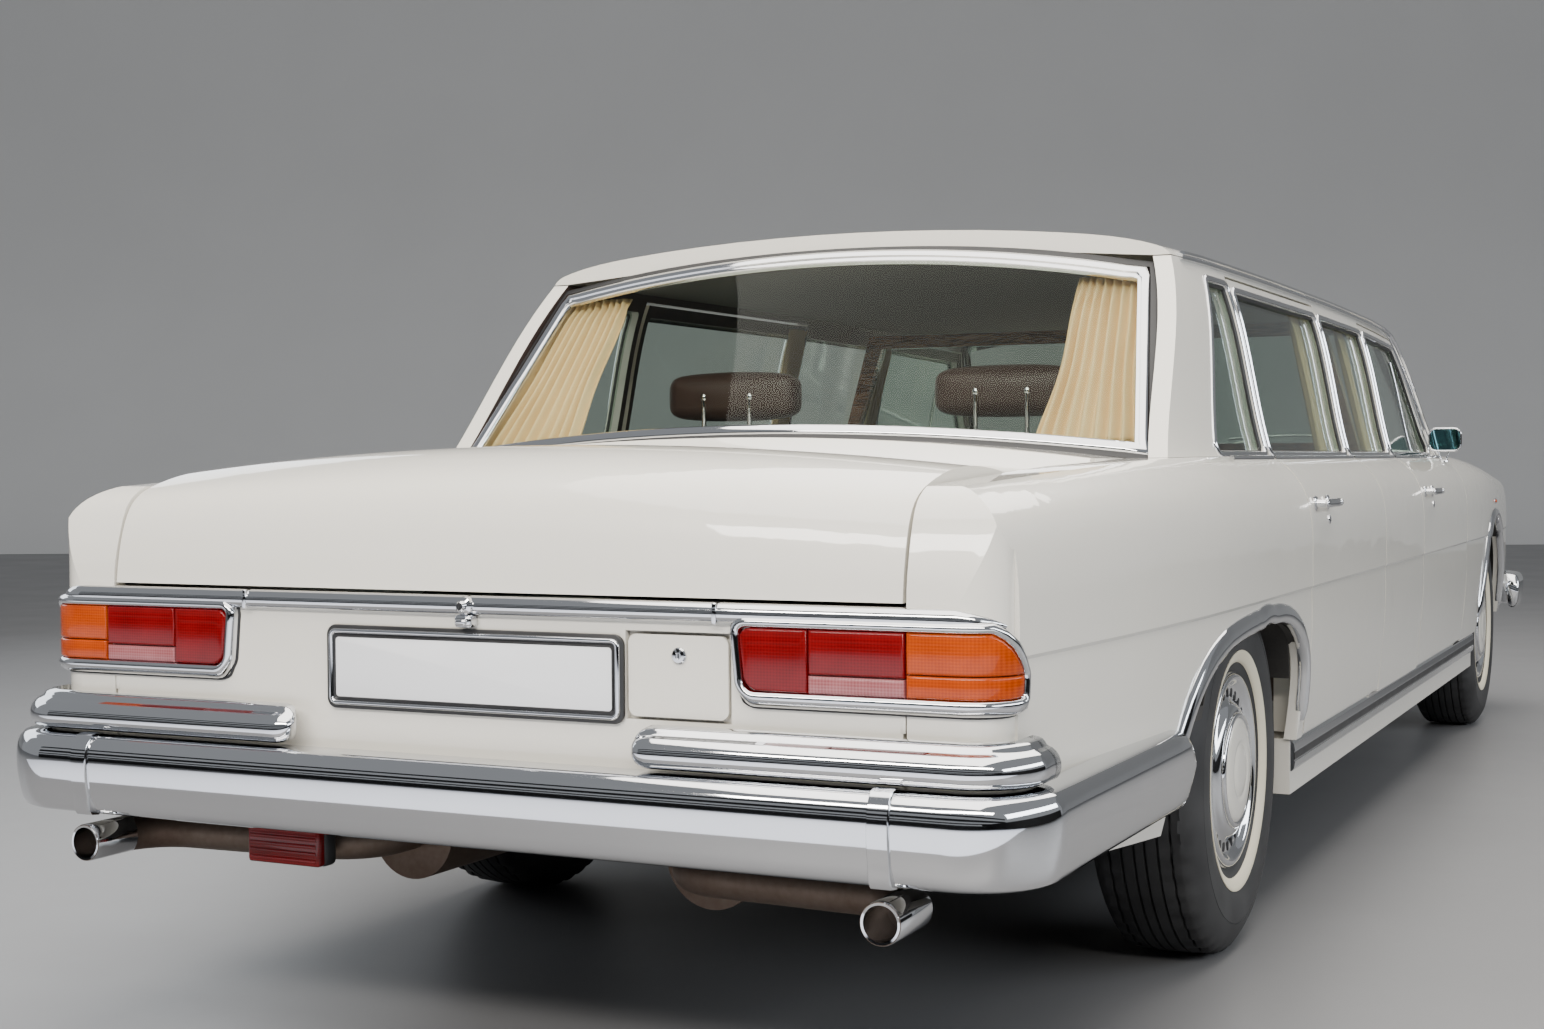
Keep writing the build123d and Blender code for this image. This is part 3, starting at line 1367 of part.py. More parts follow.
def rear_seat():
    """Rear bench with its two headrests."""
    foot = FLOOR_Z + FLOOR_THICK + JOINT_GAP
    back = KICK_UP_Y - 260
    boot_top = BOOT_FLOOR_Z + BOOT_FLOOR_THICK
    bench = side_prism(
        [
            (back + 30, boot_top + JOINT_GAP),
            (KICK_UP_Y + BOOT_FLOOR_THICK + JOINT_GAP, boot_top + JOINT_GAP),
            (KICK_UP_Y + BOOT_FLOOR_THICK + JOINT_GAP, foot),
            (KICK_UP_Y + 330, foot),
            (KICK_UP_Y + 370, 560),
            (KICK_UP_Y + 350, 610),
            (back + 210, 590),
            (back + 130, 940),
            (back + 90, 965),
            (back + 10, 950),
        ],
        -610,
        610,
        9,
    )
    whole = bench - box(-131, 131, KICK_UP_Y, KICK_UP_Y + 400, 200, FLOOR_Z + 151)
    step = KICK_UP_Y + BOOT_FLOOR_THICK + JOINT_GAP
    whole = whole - box(-700, 700, KICK_UP_Y - 200, step, 200, boot_top + JOINT_GAP)
    for x in (-HEADREST_X, HEADREST_X):
        rest = box(x - 175, x + 175, HEADREST_Y - 45, HEADREST_Y + 45, 1095, 1215)
        rest = fillet(rest.edges(), 25)
        whole = whole + rest
        for post in (x - 60, x + 60):
            whole = whole + rod((post, HEADREST_Y, 930), (post, HEADREST_Y, 1110), 7)
    return whole


HEADREST_X = 340.0
HEADREST_Y = REAR_AXLE_Y + 190.0


PARTITION_Y = REAR_DOOR_FRONT + 420.0


def partition():
    """Partition behind the front seats: lower wall, and a frame for the dividing glass."""
    foot = FLOOR_Z + FLOOR_THICK + JOINT_GAP
    wide = BODY_HALF - DOOR_THICK - JOINT_GAP
    narrow = SILL_HALF - SILL_WIDTH - JOINT_GAP
    belt = PILLAR_FOOT_X - FRAME_THICK - 1
    half = [(narrow, foot), (narrow, SILL_TOP + 2), (wide, SILL_TOP + 2), (wide, BELT_Z - 132)]
    half += [(belt, BELT_Z - 2)]
    outline = half + [(-x, z) for x, z in reversed(half)]
    wall = front_view(outline, PARTITION_Y, 60)
    top = RAIL_Z - 34
    outer = [(belt - 4, BELT_Z - 3), (PILLAR_TOP_X - FRAME_THICK - 8, top)]
    inner = [(belt - 50, BELT_Z + 40), (PILLAR_TOP_X - FRAME_THICK - 50, top - 40)]
    frame = front_view(outer + [(-x, z) for x, z in reversed(outer)], PARTITION_Y + 10, 40)
    hole = front_view(inner + [(-x, z) for x, z in reversed(inner)], PARTITION_Y, 60)
    tunnel = box(-130.4, 130.4, PARTITION_Y - 5, PARTITION_Y + 65, 200, FLOOR_Z + 150.4)
    return (wall + frame) - hole - tunnel


def partition_glass():
    """Dividing glass in the partition's frame."""
    top, belt = RAIL_Z - 34, PILLAR_FOOT_X - FRAME_THICK - 1
    inner = [
        (belt - 50 - JOINT_GAP, BELT_Z + 40 + JOINT_GAP),
        (PILLAR_TOP_X - FRAME_THICK - 50 - JOINT_GAP, top - 40 - JOINT_GAP),
    ]
    return front_view(inner + [(-x, z) for x, z in reversed(inner)], PARTITION_Y + 27, 6)


def front_view(points, y, thick):
    """Block whose front view is the (x, z) polygon, from y forwards."""
    face = make_face(Polyline(*[(x, y, z) for x, z in points], close=True))
    return extrude(face, thick, dir=(0, 1, 0))


def main():
    """Builds and writes every node."""
    os.makedirs("parts", exist_ok=True)
    save("floor_pan", floor_pan())
    save("sills", *both_sides(sill()))
    save("bulkhead", bulkhead())
    save("rear_deck", rear_deck())
    save("rear_quarters", *both_sides(rear_quarter()))
    save("tail_panel", tail_panel())
    save("front_wings", *both_sides(front_wing()))
    save("front_panel", front_panel())
    save("side_frames", *both_sides(side_frame()))
    save("roof_panel", roof())
    save("windscreen", windscreen())
    save("rear_window", rear_window())
    save("side_glass", *both_sides(pane(quarter_window())), *both_sides(pane(middle_window())))
    save("bonnet", bonnet())
    save("boot_lid", boot_lid())
    save("fuel_flap", fuel_flap())
    save_doors()
    save_wheels()
    save("front_suspension", *front_suspension())
    save("rear_axle", rear_axle())
    save("engine_block", engine())
    save("exhaust_pipes", *both_sides(exhaust()))
    save("rear_bumper", *rear_bumper())
    save("front_bumper", front_bumper())
    save("radiator_grille", grille())
    save("headlamps", *both_sides(headlamp()))
    save("tail_lamps", *tail_lamps())
    save("fog_lamp", fog_lamp())
    save("number_plates", number_plates())
    save("dashboard", dashboard())
    save("steering_wheel", steering_wheel())
    save("front_seats", *front_seats())
    save("rear_seat", rear_seat())
    save("partition_wall", partition())
    save("partition_glass", partition_glass())
    save_curtains()


def windscreen():
    """Curved windscreen between its pillars."""
    edge = FRAME_THICK + JOINT_GAP
    foot = greenhouse_at(SCREEN_FOOT_Y)[0] - edge - 2.2
    top = greenhouse_at(SCREEN_TOP_Y)[1] - edge - 0.5
    glass = screen(
        SCREEN_FOOT_Y - 22, SCREEN_TOP_Y + 2, 90, 60, foot, top, BONNET_CROWN - 4, 1398, 62
    )
    return glass - box(-900, 900, SCREEN_TOP_Y - 200, SCREEN_TOP_Y + JOINT_GAP, 1000, 1600)


def rear_window():
    """Curved rear window between the rear pillars."""
    edge = FRAME_THICK + JOINT_GAP
    foot = greenhouse_at(BACKLIGHT_FOOT_Y)[0] - edge
    top = greenhouse_at(BACKLIGHT_TOP_Y)[1] - edge
    glass = screen(
        BACKLIGHT_FOOT_Y + 12, BACKLIGHT_TOP_Y - 2, 140, 66, foot, top, LID_CROWN + 2, 1400, 70
    )
    return glass - box(-900, 900, BACKLIGHT_TOP_Y - JOINT_GAP, BACKLIGHT_TOP_Y + 200, 1000, 1600)


def door_places():
    """Name, outline and shut lines of the right-hand doors."""
    gap = SHUT_GAP / 2
    return [
        ("front", front_door_outline(), FRONT_DOOR_BACK + gap, FRONT_DOOR_FRONT - gap),
        ("rear", rear_door_outline(), REAR_DOOR_BACK + gap, REAR_DOOR_FRONT - gap),
    ]


def save_doors():
    """Writes the four doors with their glass and handles."""
    for name, outline, back, front in door_places():
        leaves = both_sides(door(outline, back, front))
        panes = both_sides(pane(window_in(outline)))
        handles = both_sides(door_handle(back))
        for i, side in enumerate(("right", "left")):
            save(f"{name}_door_{side}", leaves[i])
            save(f"{name}_door_glass_{side}", panes[i])
            fittings = [handles[i]]
            if name == "front":
                fittings.append(both_sides(mirror_head())[i])
            save(f"{name}_door_fittings_{side}", *fittings)


def door_face(z):
    """Outer face of the doors, as x, at a height above the fold."""
    edge = Edge.make_spline([Vector(x, 0, height) for x, height in door_upper()])
    low, high = 0.0, 1.0
    for _ in range(30):
        middle = (low + high) / 2
        if (edge @ middle).Z > z:
            low = middle
        else:
            high = middle
    return (edge @ low).X


def door_handle(back):
    """Pull handle near the door's back edge, on two feet."""
    out, radius = BODY_HALF + 20, 8.0
    bar = rod((out, back + 45, HANDLE_Z), (out, back + 215, HANDLE_Z), radius)
    foot_x = door_face(HANDLE_Z - radius) + SEAT_GAP
    for y in (back + 60, back + 200):
        bar = bar + rod((foot_x, y, HANDLE_Z), (out, y, HANDLE_Z), radius - 1)
    return bar


HANDLE_Z = 900.0
MIRROR_X = 895.0


def mirror_head():
    """Door mirror on its two thin stalks."""
    head = fillet(box(848, 948, 1300, 1328, 1022, 1096).edges().filter_by(Axis.Y), 20)
    z = BELT_Z - 3
    while door_face(z) < MIRROR_X - 12:
        z = z - 0.5
    foot = rod((MIRROR_X, 1315, z + SEAT_GAP + 0.5), (MIRROR_X, 1315, z + 10), 12)
    for x, lean in ((MIRROR_X - 4, -8), (MIRROR_X + 4, 8)):
        foot = foot + rod((x, 1315, z + 4), (x + lean, 1315, 1030), 3.5)
    return head + foot


def save_wheels():
    """Writes the tyres, wheels and front knuckles."""
    for end, track, y in (("front", FRONT_TRACK, FRONT_AXLE_Y), ("rear", REAR_TRACK, REAR_AXLE_Y)):
        tyres = both_sides(Pos(0, y, 0) * tyre(track))
        wheels = both_sides(Pos(0, y, 0) * wheel(track))
        for i, side in enumerate(("right", "left")):
            save(f"{end}_tyre_{side}", tyres[i])
            save(f"{end}_wheel_{side}", wheels[i])
    for side, piece in zip(("right", "left"), both_sides(knuckle())):
        save(f"front_knuckle_{side}", piece)


def save_curtains():
    """Writes the gathered curtains at the rear window, the middle windows and the rear doors."""
    foot, top = BACKLIGHT_FOOT_Y + 47, BACKLIGHT_TOP_Y
    low, high = BELT_Z + 30, RAIL_Z - 43
    hanging = [(foot, low), (foot + 30, low), (top + 30, high), (top, high)]
    hall = side_slab(FRAME_THICK + JOINT_GAP, BODY_HALF / 2)
    back = side_prism(hanging, CURTAIN_IN, BODY_HALF) & hall
    slab = side_slab(FRAME_THICK + JOINT_GAP, FRAME_THICK + 24)
    low, high = BELT_Z + 8, door_top(0) - 12
    front = FRONT_DOOR_BACK - SHUT_GAP / 2 - 20
    middle = slab & box(500, 1000, front - 95, front, low, high)
    save("curtains", *both_sides(back), *both_sides(middle))
    front = REAR_DOOR_FRONT - SHUT_GAP / 2 - 14
    moving = slab & box(500, 1000, front - 95, front, low, high)
    for side, piece in zip(("right", "left"), both_sides(moving)):
        save(f"rear_door_curtain_{side}", piece)


main()
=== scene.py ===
"""Looks of a long four-door limousine with curtains and a partition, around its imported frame."""

import logging
import math
from dataclasses import dataclass
from enum import Enum
from typing import Callable, Iterable, Sequence

import bmesh
import bpy
from mathutils import Matrix, Vector
from mathutils.bvhtree import BVHTree

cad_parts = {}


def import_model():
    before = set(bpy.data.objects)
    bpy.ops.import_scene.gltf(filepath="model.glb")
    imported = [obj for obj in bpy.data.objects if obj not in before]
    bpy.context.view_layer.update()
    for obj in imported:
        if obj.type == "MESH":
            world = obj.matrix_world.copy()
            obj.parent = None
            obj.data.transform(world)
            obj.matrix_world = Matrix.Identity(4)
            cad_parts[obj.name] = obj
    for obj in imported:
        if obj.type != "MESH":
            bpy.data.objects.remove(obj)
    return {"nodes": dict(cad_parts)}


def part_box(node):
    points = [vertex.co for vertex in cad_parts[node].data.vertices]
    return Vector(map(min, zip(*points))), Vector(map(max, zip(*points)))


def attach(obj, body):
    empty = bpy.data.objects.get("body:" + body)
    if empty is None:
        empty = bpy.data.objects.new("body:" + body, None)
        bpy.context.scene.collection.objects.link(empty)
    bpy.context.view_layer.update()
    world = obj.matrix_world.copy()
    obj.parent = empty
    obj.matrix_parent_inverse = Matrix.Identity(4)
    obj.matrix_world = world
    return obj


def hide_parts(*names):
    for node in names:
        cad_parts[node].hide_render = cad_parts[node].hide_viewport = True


log = logging.getLogger("limousine")

Point = tuple[float, float, float]
Flat = tuple[float, float]
Colour = tuple[float, float, float]


class Side(Enum):
    """The two sides of the car, with the sign of their X."""

    RIGHT = 1
    LEFT = -1

    @property
    def word(self) -> str:
        """The side's word in node and piece names."""
        return self.name.lower()


# ---------------------------------------------------------------- shader maths


class Value:
    """A shader output that takes Python's operators and adds Math nodes."""

    def __init__(self, shader: "Shader", socket: bpy.types.NodeSocket) -> None:
        """Wraps a socket.

        Args:
            shader: The shader that the socket belongs to.
            socket: The output socket.
        """
        self.shader = shader
        self.socket = socket

    def math(self, operation: str, other: "Value | float" = 0.0, flip: bool = False) -> "Value":
        """Adds one Math node.

        Args:
            operation: The node's operation.
            other: The second operand.
            flip: Whether the operands change places.

        Returns:
            The node's output.
        """
        first, second = (other, self) if flip else (self, other)
        return self.shader.node("ShaderNodeMath", {"operation": operation}, {0: first, 1: second})

    def __add__(self, other: "Value | float") -> "Value":
        """Sum."""
        return self.math("ADD", other)

    __radd__ = __add__

    def __sub__(self, other: "Value | float") -> "Value":
        """Difference."""
        return self.math("SUBTRACT", other)

    def __rsub__(self, other: "Value | float") -> "Value":
        """Difference, reflected."""
        return self.math("SUBTRACT", other, flip=True)

    def __mul__(self, other: "Value | float") -> "Value":
        """Product."""
        return self.math("MULTIPLY", other)

    __rmul__ = __mul__

    def __truediv__(self, other: "Value | float") -> "Value":
        """Quotient."""
        return self.math("DIVIDE", other)

    def __rtruediv__(self, other: "Value | float") -> "Value":
        """Quotient, reflected."""
        return self.math("DIVIDE", other, flip=True)

    def __gt__(self, other: "Value | float") -> "Value":
        """One where this is greater."""
        return self.math("GREATER_THAN", other)

    def __lt__(self, other: "Value | float") -> "Value":
        """One where this is less."""
        return self.math("LESS_THAN", other)


class Shader:
    """The node tree of one material."""

    def __init__(self, name: str) -> None:
        """Starts a material with an empty tree.

        Args:
            name: The material's name.
        """
        self.material = bpy.data.materials.new(name)
        self.material.use_nodes = True
        self.tree = self.material.node_tree
        self.tree.nodes.clear()
        self.place = self.node("ShaderNodeTexCoord", {}, {}, "Object")

    def node(self, kind: str, settings: dict, sockets: dict, output: int | str = 0) -> Value:
        """Adds a node.

        Args:
            kind: The node's type.
            settings: Its properties; "stops" are a ramp's positions with colours.
            sockets: Its inputs by index or name, as numbers, colours or Values.
            output: The output to return.

        Returns:
            The chosen output.
        """
        made = self.tree.nodes.new(kind)
        for key, setting in settings.items():
            if key == "stops":
                self._stops(made.color_ramp, setting)
            else:
                setattr(made, key, setting)
        for key, entry in sockets.items():
            if isinstance(entry, Value):
                self.tree.links.new(entry.socket, made.inputs[key])
            else:
                made.inputs[key].default_value = entry
        return Value(self, made.outputs[output] if made.outputs else None)

    @staticmethod
    def _stops(ramp: bpy.types.ColorRamp, stops: Sequence[tuple[float, Colour]]) -> None:
        """Sets a ramp's stops."""
        while len(ramp.elements) < len(stops):
            ramp.elements.new(0.5)
        for element, (position, colour) in zip(ramp.elements, stops):
            element.position = position
            element.color = (*colour, 1.0)

    def noise(self, scale: float, detail: float = 3.0, where: Value | None = None) -> Value:
        """Noise on the piece's own coordinates.

        Args:
            scale: Features per metre, about.
            detail: Octaves.
            where: Other coordinates to read.

        Returns:
            The noise factor.
        """
        sockets = {"Vector": where or self.place, "Scale": scale, "Detail": detail}
        return self.node("ShaderNodeTexNoise", {}, sockets, "Fac")

    def stretched(self, scale: Point) -> Value:
        """The piece's own coordinates, scaled along each axis."""
        return self.node("ShaderNodeMapping", {}, {"Vector": self.place, "Scale": scale})

    def axis(self, index: int) -> Value:
        """One of the piece's own coordinates, in metres."""
        return self.node("ShaderNodeSeparateXYZ", {}, {0: self.place}, index)

    def ramp(self, value: Value, *stops: tuple[float, Colour]) -> Value:
        """Colours along a value."""
        return self.node("ShaderNodeValToRGB", {"stops": stops}, {0: value}, "Color")

    def mix(self, share: Value, low: Value | Colour, high: Value | Colour) -> Value:
        """Mixes two colours.

        Args:
            share: How much of the second shows.
            low: The first colour.
            high: The second colour.

        Returns:
            The mixed colour.
        """
        colours = [(*c, 1.0) if isinstance(c, tuple) else c for c in (low, high)]
        sockets = {0: share, 6: colours[0], 7: colours[1]}
        return self.node("ShaderNodeMix", {"data_type": "RGBA"}, sockets, 2)

    def spread(self, value: Value, low: float, high: float) -> Value:
        """A value from 0 to 1 mapped between two numbers."""
        return value * (high - low) + low

    def bump(self, height: Value, depth: float, strength: float = 1.0) -> Value:
        """Bump from a height.

        Args:
            height: The height, from 0 to 1.
            depth: What a height of 1 is, in metres.
            strength: The bump's strength.

        Returns:
            The normal.
        """
        return self.node(
            "ShaderNodeBump", {}, {"Height": height, "Distance": depth, "Strength": strength}
        )

    def surface(self, **sockets: Value | float | Colour) -> bpy.types.Material:
        """Closes the tree with one Principled shader.

        Args:
            sockets: Its inputs, with _ for the spaces in their names.

        Returns:
            The finished material.
        """
        inputs = {}
        for key, entry in sockets.items():
            words = key.replace("_", " ")
            inputs[words] = (*entry, 1.0) if isinstance(entry, tuple) else entry
        shader = self.node("ShaderNodeBsdfPrincipled", {}, inputs)
        return self.close(shader)

    def close(self, shader: Value) -> bpy.types.Material:
        """Links a shader to the material's output."""
        self.node("ShaderNodeOutputMaterial", {}, {"Surface": shader})
        return self.material


# ---------------------------------------------------------------- finishes


@dataclass(frozen=True)
class Enamel:
    """Polished stoving enamel under a clear coat."""

    name: str
    colour: Colour
    deep: Colour
    coat: float = 1.0

    def make(self) -> bpy.types.Material:
        """Builds the material."""
        s = Shader(self.name)
        cloud = s.noise(1.3, 2.0)
        orange_peel = s.noise(420.0, 1.0)
        colour = s.mix(s.spread(cloud, 0.0, 0.8), self.colour, self.deep)
        rough = s.spread(s.noise(35.0, 2.0), 0.27, 0.36)
        return s.surface(
            Base_Color=colour,
            Roughness=rough,
            Specular_IOR_Level=0.5,
            Coat_Weight=self.coat,
            Coat_Roughness=0.025,
            Coat_IOR=1.52,
            Normal=s.bump(orange_peel, 0.00002, 0.25),
        )


@dataclass(frozen=True)
class Plating:
    """Bright plated metal with faint polishing marks."""

    name: str
    colour: Colour = (0.70, 0.71, 0.73)
    rough: float = 0.035
    marks: float = 0.05

    def make(self) -> bpy.types.Material:
        """Builds the material."""
        s = Shader(self.name)
        film = s.noise(9.0, 4.0)
        scratches = s.noise(60.0, 3.0, s.stretched((1.0, 0.12, 2.5)))
        rough = s.spread(film * scratches, self.rough, self.rough + self.marks)
        tone = s.mix(film, self.colour, tuple(0.95 * c for c in self.colour))
        return s.surface(
            Base_Color=tone,
            Metallic=1.0,
            Roughness=rough,
            Normal=s.bump(s.noise(24.0, 1.0), 0.00004, 0.1),
        )


@dataclass(frozen=True)
class Metal:
    """Plain unplated metal: castings, pressings and pipes, dusty and worn."""

    name: str
    colour: Colour
    worn: Colour
    rough: float = 0.5
    metallic: float = 0.8
    grain: float = 90.0

    def make(self) -> bpy.types.Material:
        """Builds the material."""
        s = Shader(self.name)
        patches = s.noise(7.0, 6.0)
        grit = s.noise(self.grain, 3.0)
        share = s.spread(patches * 0.7 + grit * 0.3, -0.4, 1.3)
        return s.surface(
            Base_Color=s.mix(share, self.colour, self.worn),
            Metallic=self.metallic,
            Roughness=s.spread(patches, self.rough - 0.12, self.rough + 0.2),
            Normal=s.bump(grit, 0.0004, 0.5),
        )


@dataclass(frozen=True)
class Rubber:
    """Matt or satin rubber and moulded plastic."""

    name: str
    colour: Colour = (0.018, 0.018, 0.019)
    rough: float = 0.55
    dust: float = 0.12
    grain: float = 700.0

    def make(self) -> bpy.types.Material:
        """Builds the material."""
        s = Shader(self.name)
        dust = s.noise(11.0, 5.0)
        grain = s.noise(self.grain, 2.0)
        pale = tuple(min(1.0, c + self.dust * (0.35 - 0.3 * c)) for c in self.colour)
        return s.surface(
            Base_Color=s.mix(s.spread(dust, -0.5, 1.1), self.colour, pale),
            Roughness=s.spread(dust, self.rough - 0.1, self.rough + 0.15),
            Normal=s.bump(grain, 0.00012, 0.4),
        )


@dataclass(frozen=True)
class Glazing:
    """Thin glass that mirrors at its face and lets light straight through."""

    name: str
    tint: Colour
    mirror: Colour = (0.95, 0.97, 0.97)
    shine: float = 0.9

    def make(self) -> bpy.types.Material:
        """Builds the material."""
        s = Shader(self.name)
        film = s.noise(3.0, 3.0)
        tint = s.mix(film, self.tint, tuple(0.94 * c for c in self.tint))
        clear = s.node("ShaderNodeBsdfTransparent", {}, {"Color": tint})
        gloss = s.node(
            "ShaderNodeBsdfPrincipled",
            {},
            {"Base Color": (*self.mirror, 1.0), "Metallic": 1.0, "Roughness": 0.01},
        )
        slant = s.node("ShaderNodeLayerWeight", {}, {"Blend": 0.5}, "Facing")
        share = (slant.math("POWER", 5.0) * 0.9 + 0.012) * self.shine
        return s.close(s.node("ShaderNodeMixShader", {}, {0: share, 1: clear, 2: gloss}))


@dataclass(frozen=True)
class Lens:
    """Moulded lamp plastic with fluting behind its face."""

    name: str
    colour: Colour
    deep: Colour
    pitch: float = 0.0052
    glow: float = 0.05

    def make(self) -> bpy.types.Material:
        """Builds the material."""
        s = Shader(self.name)
        wave = (s.axis(0) * (2 * math.pi / self.pitch)).math("SINE") * 0.5 + 0.5
        row = (s.axis(2) * (2 * math.pi / (self.pitch * 0.9))).math("SINE") * 0.5 + 0.5
        pillow = wave * 0.5 + row * 0.5
        patch = s.noise(22.0, 2.0)
        share = s.spread(pillow * 0.45 + patch * 0.55, -0.1, 1.1)
        colour = s.mix(share, self.deep, self.colour)
        return s.surface(
            Base_Color=colour,
            Roughness=0.22,
            Specular_IOR_Level=0.2,
            Coat_Weight=0.35,
            Coat_Roughness=0.015,
            Emission_Color=colour,
            Emission_Strength=self.glow,
            Normal=s.bump(pillow, 0.0006, 0.16),
        )


@dataclass(frozen=True)
class Leather:
    """Soft upholstery leather with grain and creases."""

    name: str
    colour: Colour
    worn: Colour
    rough: float = 0.42

    def make(self) -> bpy.types.Material:
        """Builds the material."""
        s = Shader(self.name)
        grain = s.node("ShaderNodeTexVoronoi", {}, {"Vector": s.place, "Scale": 420.0}, "Distance")
        crease = s.noise(26.0, 6.0)
        height = grain * 0.6 + crease * 0.8
        wear = s.spread(s.noise(5.0, 3.0), -0.3, 1.1)
        return s.surface(
            Base_Color=s.mix(wear, self.colour, self.worn),
            Roughness=s.spread(crease, self.rough - 0.08, self.rough + 0.14),
            Sheen_Weight=0.15,
            Sheen_Roughness=0.4,
            Normal=s.bump(height, 0.0006, 0.5),
        )


@dataclass(frozen=True)
class Cloth:
    """Woven cloth, with its threads following the piece's own axes."""

    name: str
    colour: Colour
    shade: Colour
    thread: float = 0.0011
    sheen: float = 0.3

    def make(self) -> bpy.types.Material:
        """Builds the material."""
        s = Shader(self.name)
        turn = 2 * math.pi / self.thread
        warp = ((s.axis(0) + s.axis(1)) * turn).math("SINE")
        weft = (s.axis(2) * turn).math("SINE")
        weave = warp * weft * 0.5 + 0.5
        soft = s.noise(14.0, 4.0)
        colour = s.mix(s.spread(weave * 0.4 + soft * 0.6, -0.1, 1.0), self.colour, self.shade)
        return s.surface(
            Base_Color=colour,
            Roughness=0.85,
            Sheen_Weight=self.sheen,
            Sheen_Roughness=0.5,
            Normal=s.bump(weave + soft * 0.5, 0.0003, 0.6),
        )


@dataclass(frozen=True)
class Carpet:
    """Short looped pile."""

    name: str
    colour: Colour
    tips: Colour

    def make(self) -> bpy.types.Material:
        """Builds the material."""
        s = Shader(self.name)
        loops = s.noise(480.0, 2.0)
        tread = s.noise(6.0, 3.0)
        return s.surface(
            Base_Color=s.mix(loops * 0.7 + tread * 0.3, self.colour, self.tips),
            Roughness=0.95,
            Sheen_Weight=0.4,
            Normal=s.bump(loops, 0.002, 0.8),
        )


@dataclass(frozen=True)
class Wood:
    """Figured veneer under varnish, its grain across the car."""

    name: str
    light: Colour = (0.30, 0.12, 0.04)
    dark: Colour = (0.07, 0.022, 0.008)

    def make(self) -> bpy.types.Material:
        """Builds the material."""
        s = Shader(self.name)
        grain = s.noise(26.0, 8.0, s.stretched((0.35, 1.0, 3.2)))
        rings = (grain * 38.0).math("SINE") * 0.5 + 0.5
        return s.surface(
            Base_Color=s.ramp(rings * 0.5 + grain * 0.5, (0.2, self.dark), (0.8, self.light)),
            Roughness=s.spread(rings, 0.25, 0.4),
            Coat_Weight=1.0,
            Coat_Roughness=0.04,
        )


@dataclass(frozen=True)
class Ground:
    """Studio floor or wall: matt with a soft shine."""

    name: str
    colour: Colour
    rough: float

    def make(self) -> bpy.types.Material:
        """Builds the material."""
        s = Shader(self.name)
        cloud = s.noise(0.7, 4.0)
        return s.surface(
            Base_Color=s.mix(cloud, self.colour, tuple(0.93 * c for c in self.colour)),
            Roughness=s.spread(s.noise(2.0, 5.0), self.rough - 0.08, self.rough + 0.08),
        )


IVORY = Enamel("body_ivory", (0.80, 0.77, 0.695), (0.76, 0.73, 0.655))
CHROME = Plating("bright_chrome")
SATIN = Plating("satin_steel", (0.72, 0.73, 0.74), 0.22, 0.12)
MIRROR_TEAL = Plating("mirror_glass", (0.10, 0.22, 0.24), 0.03, 0.02)
CLEAR_GLASS = Glazing("clear_glass", (0.84, 0.90, 0.87))
TINTED_GLASS = Glazing("screen_glass", (0.88, 0.90, 0.87), shine=0.35)
TYRE_BLACK = Rubber("tyre_rubber", (0.016, 0.016, 0.017), 0.62, 0.10)
WHITEWALL = Rubber("whitewall_cream", (0.74, 0.68, 0.53), 0.5, -0.25, 400.0)
SEAL = Rubber("window_seal", (0.012, 0.012, 0.013), 0.45, 0.05)
IVORY_PLASTIC = Enamel("ivory_moulding", (0.74, 0.70, 0.60), (0.70, 0.66, 0.56), 0.3)
BLACK_PLASTIC = Rubber("black_moulding", (0.015, 0.015, 0.016), 0.35, 0.06, 900.0)
UNDERSEAL = Metal("underseal", (0.022, 0.021, 0.020), (0.06, 0.055, 0.05), 0.75, 0.0, 160.0)
IRON = Metal("cast_iron", (0.05, 0.048, 0.046), (0.11, 0.085, 0.065), 0.62, 0.7)
PIPE_STEEL = Metal("pipe_steel", (0.20, 0.16, 0.13), (0.09, 0.055, 0.04), 0.5, 0.85)
RED_LENS = Lens("red_lens", (0.22, 0.002, 0.004), (0.075, 0.0005, 0.001))
AMBER_LENS = Lens("amber_lens", (0.50, 0.066, 0.0005), (0.24, 0.022, 0.0))
CLEAR_LENS = Lens("reversing_lens", (0.42, 0.17, 0.18), (0.20, 0.045, 0.05))
HEADLAMP_GLASS = Lens("headlamp_glass", (0.86, 0.88, 0.88), (0.50, 0.52, 0.53), 0.012, 0.0)
DARK_LEATHER = Leather("dark_leather", (0.030, 0.014, 0.011), (0.052, 0.026, 0.019))
CREAM_CLOTH = Cloth("curtain_cream", (0.90, 0.70, 0.40), (0.76, 0.52, 0.24), 0.0011, 0.12)
HEADLINING = Cloth("headlining", (0.20, 0.185, 0.16), (0.15, 0.135, 0.115), 0.002, 0.1)
PILE = Carpet("cabin_carpet", (0.06, 0.045, 0.038), (0.11, 0.085, 0.07))
VENEER = Wood("burr_veneer")
PLATE_WHITE = Enamel("plate_white", (0.87, 0.88, 0.90), (0.84, 0.85, 0.87), 0.4)
FLOOR = Ground("studio_floor", (0.20, 0.20, 0.205), 0.40)
PALE_CARD = Ground("studio_pale_card", (0.74, 0.78, 0.88), 0.8)
WALL = Ground("studio_wall", (0.80, 0.795, 0.785), 0.75)
DARK_CARD = Ground("studio_card", (0.02, 0.02, 0.022), 0.9)


class Paintbox:
    """Makes each finish once."""

    _made: dict[str, bpy.types.Material] = {}

    @classmethod
    def get(cls, finish) -> bpy.types.Material:
        """The material of a finish."""
        if finish.name not in cls._made:
            cls._made[finish.name] = finish.make()
        return cls._made[finish.name]


# ---------------------------------------------------------------- shaping


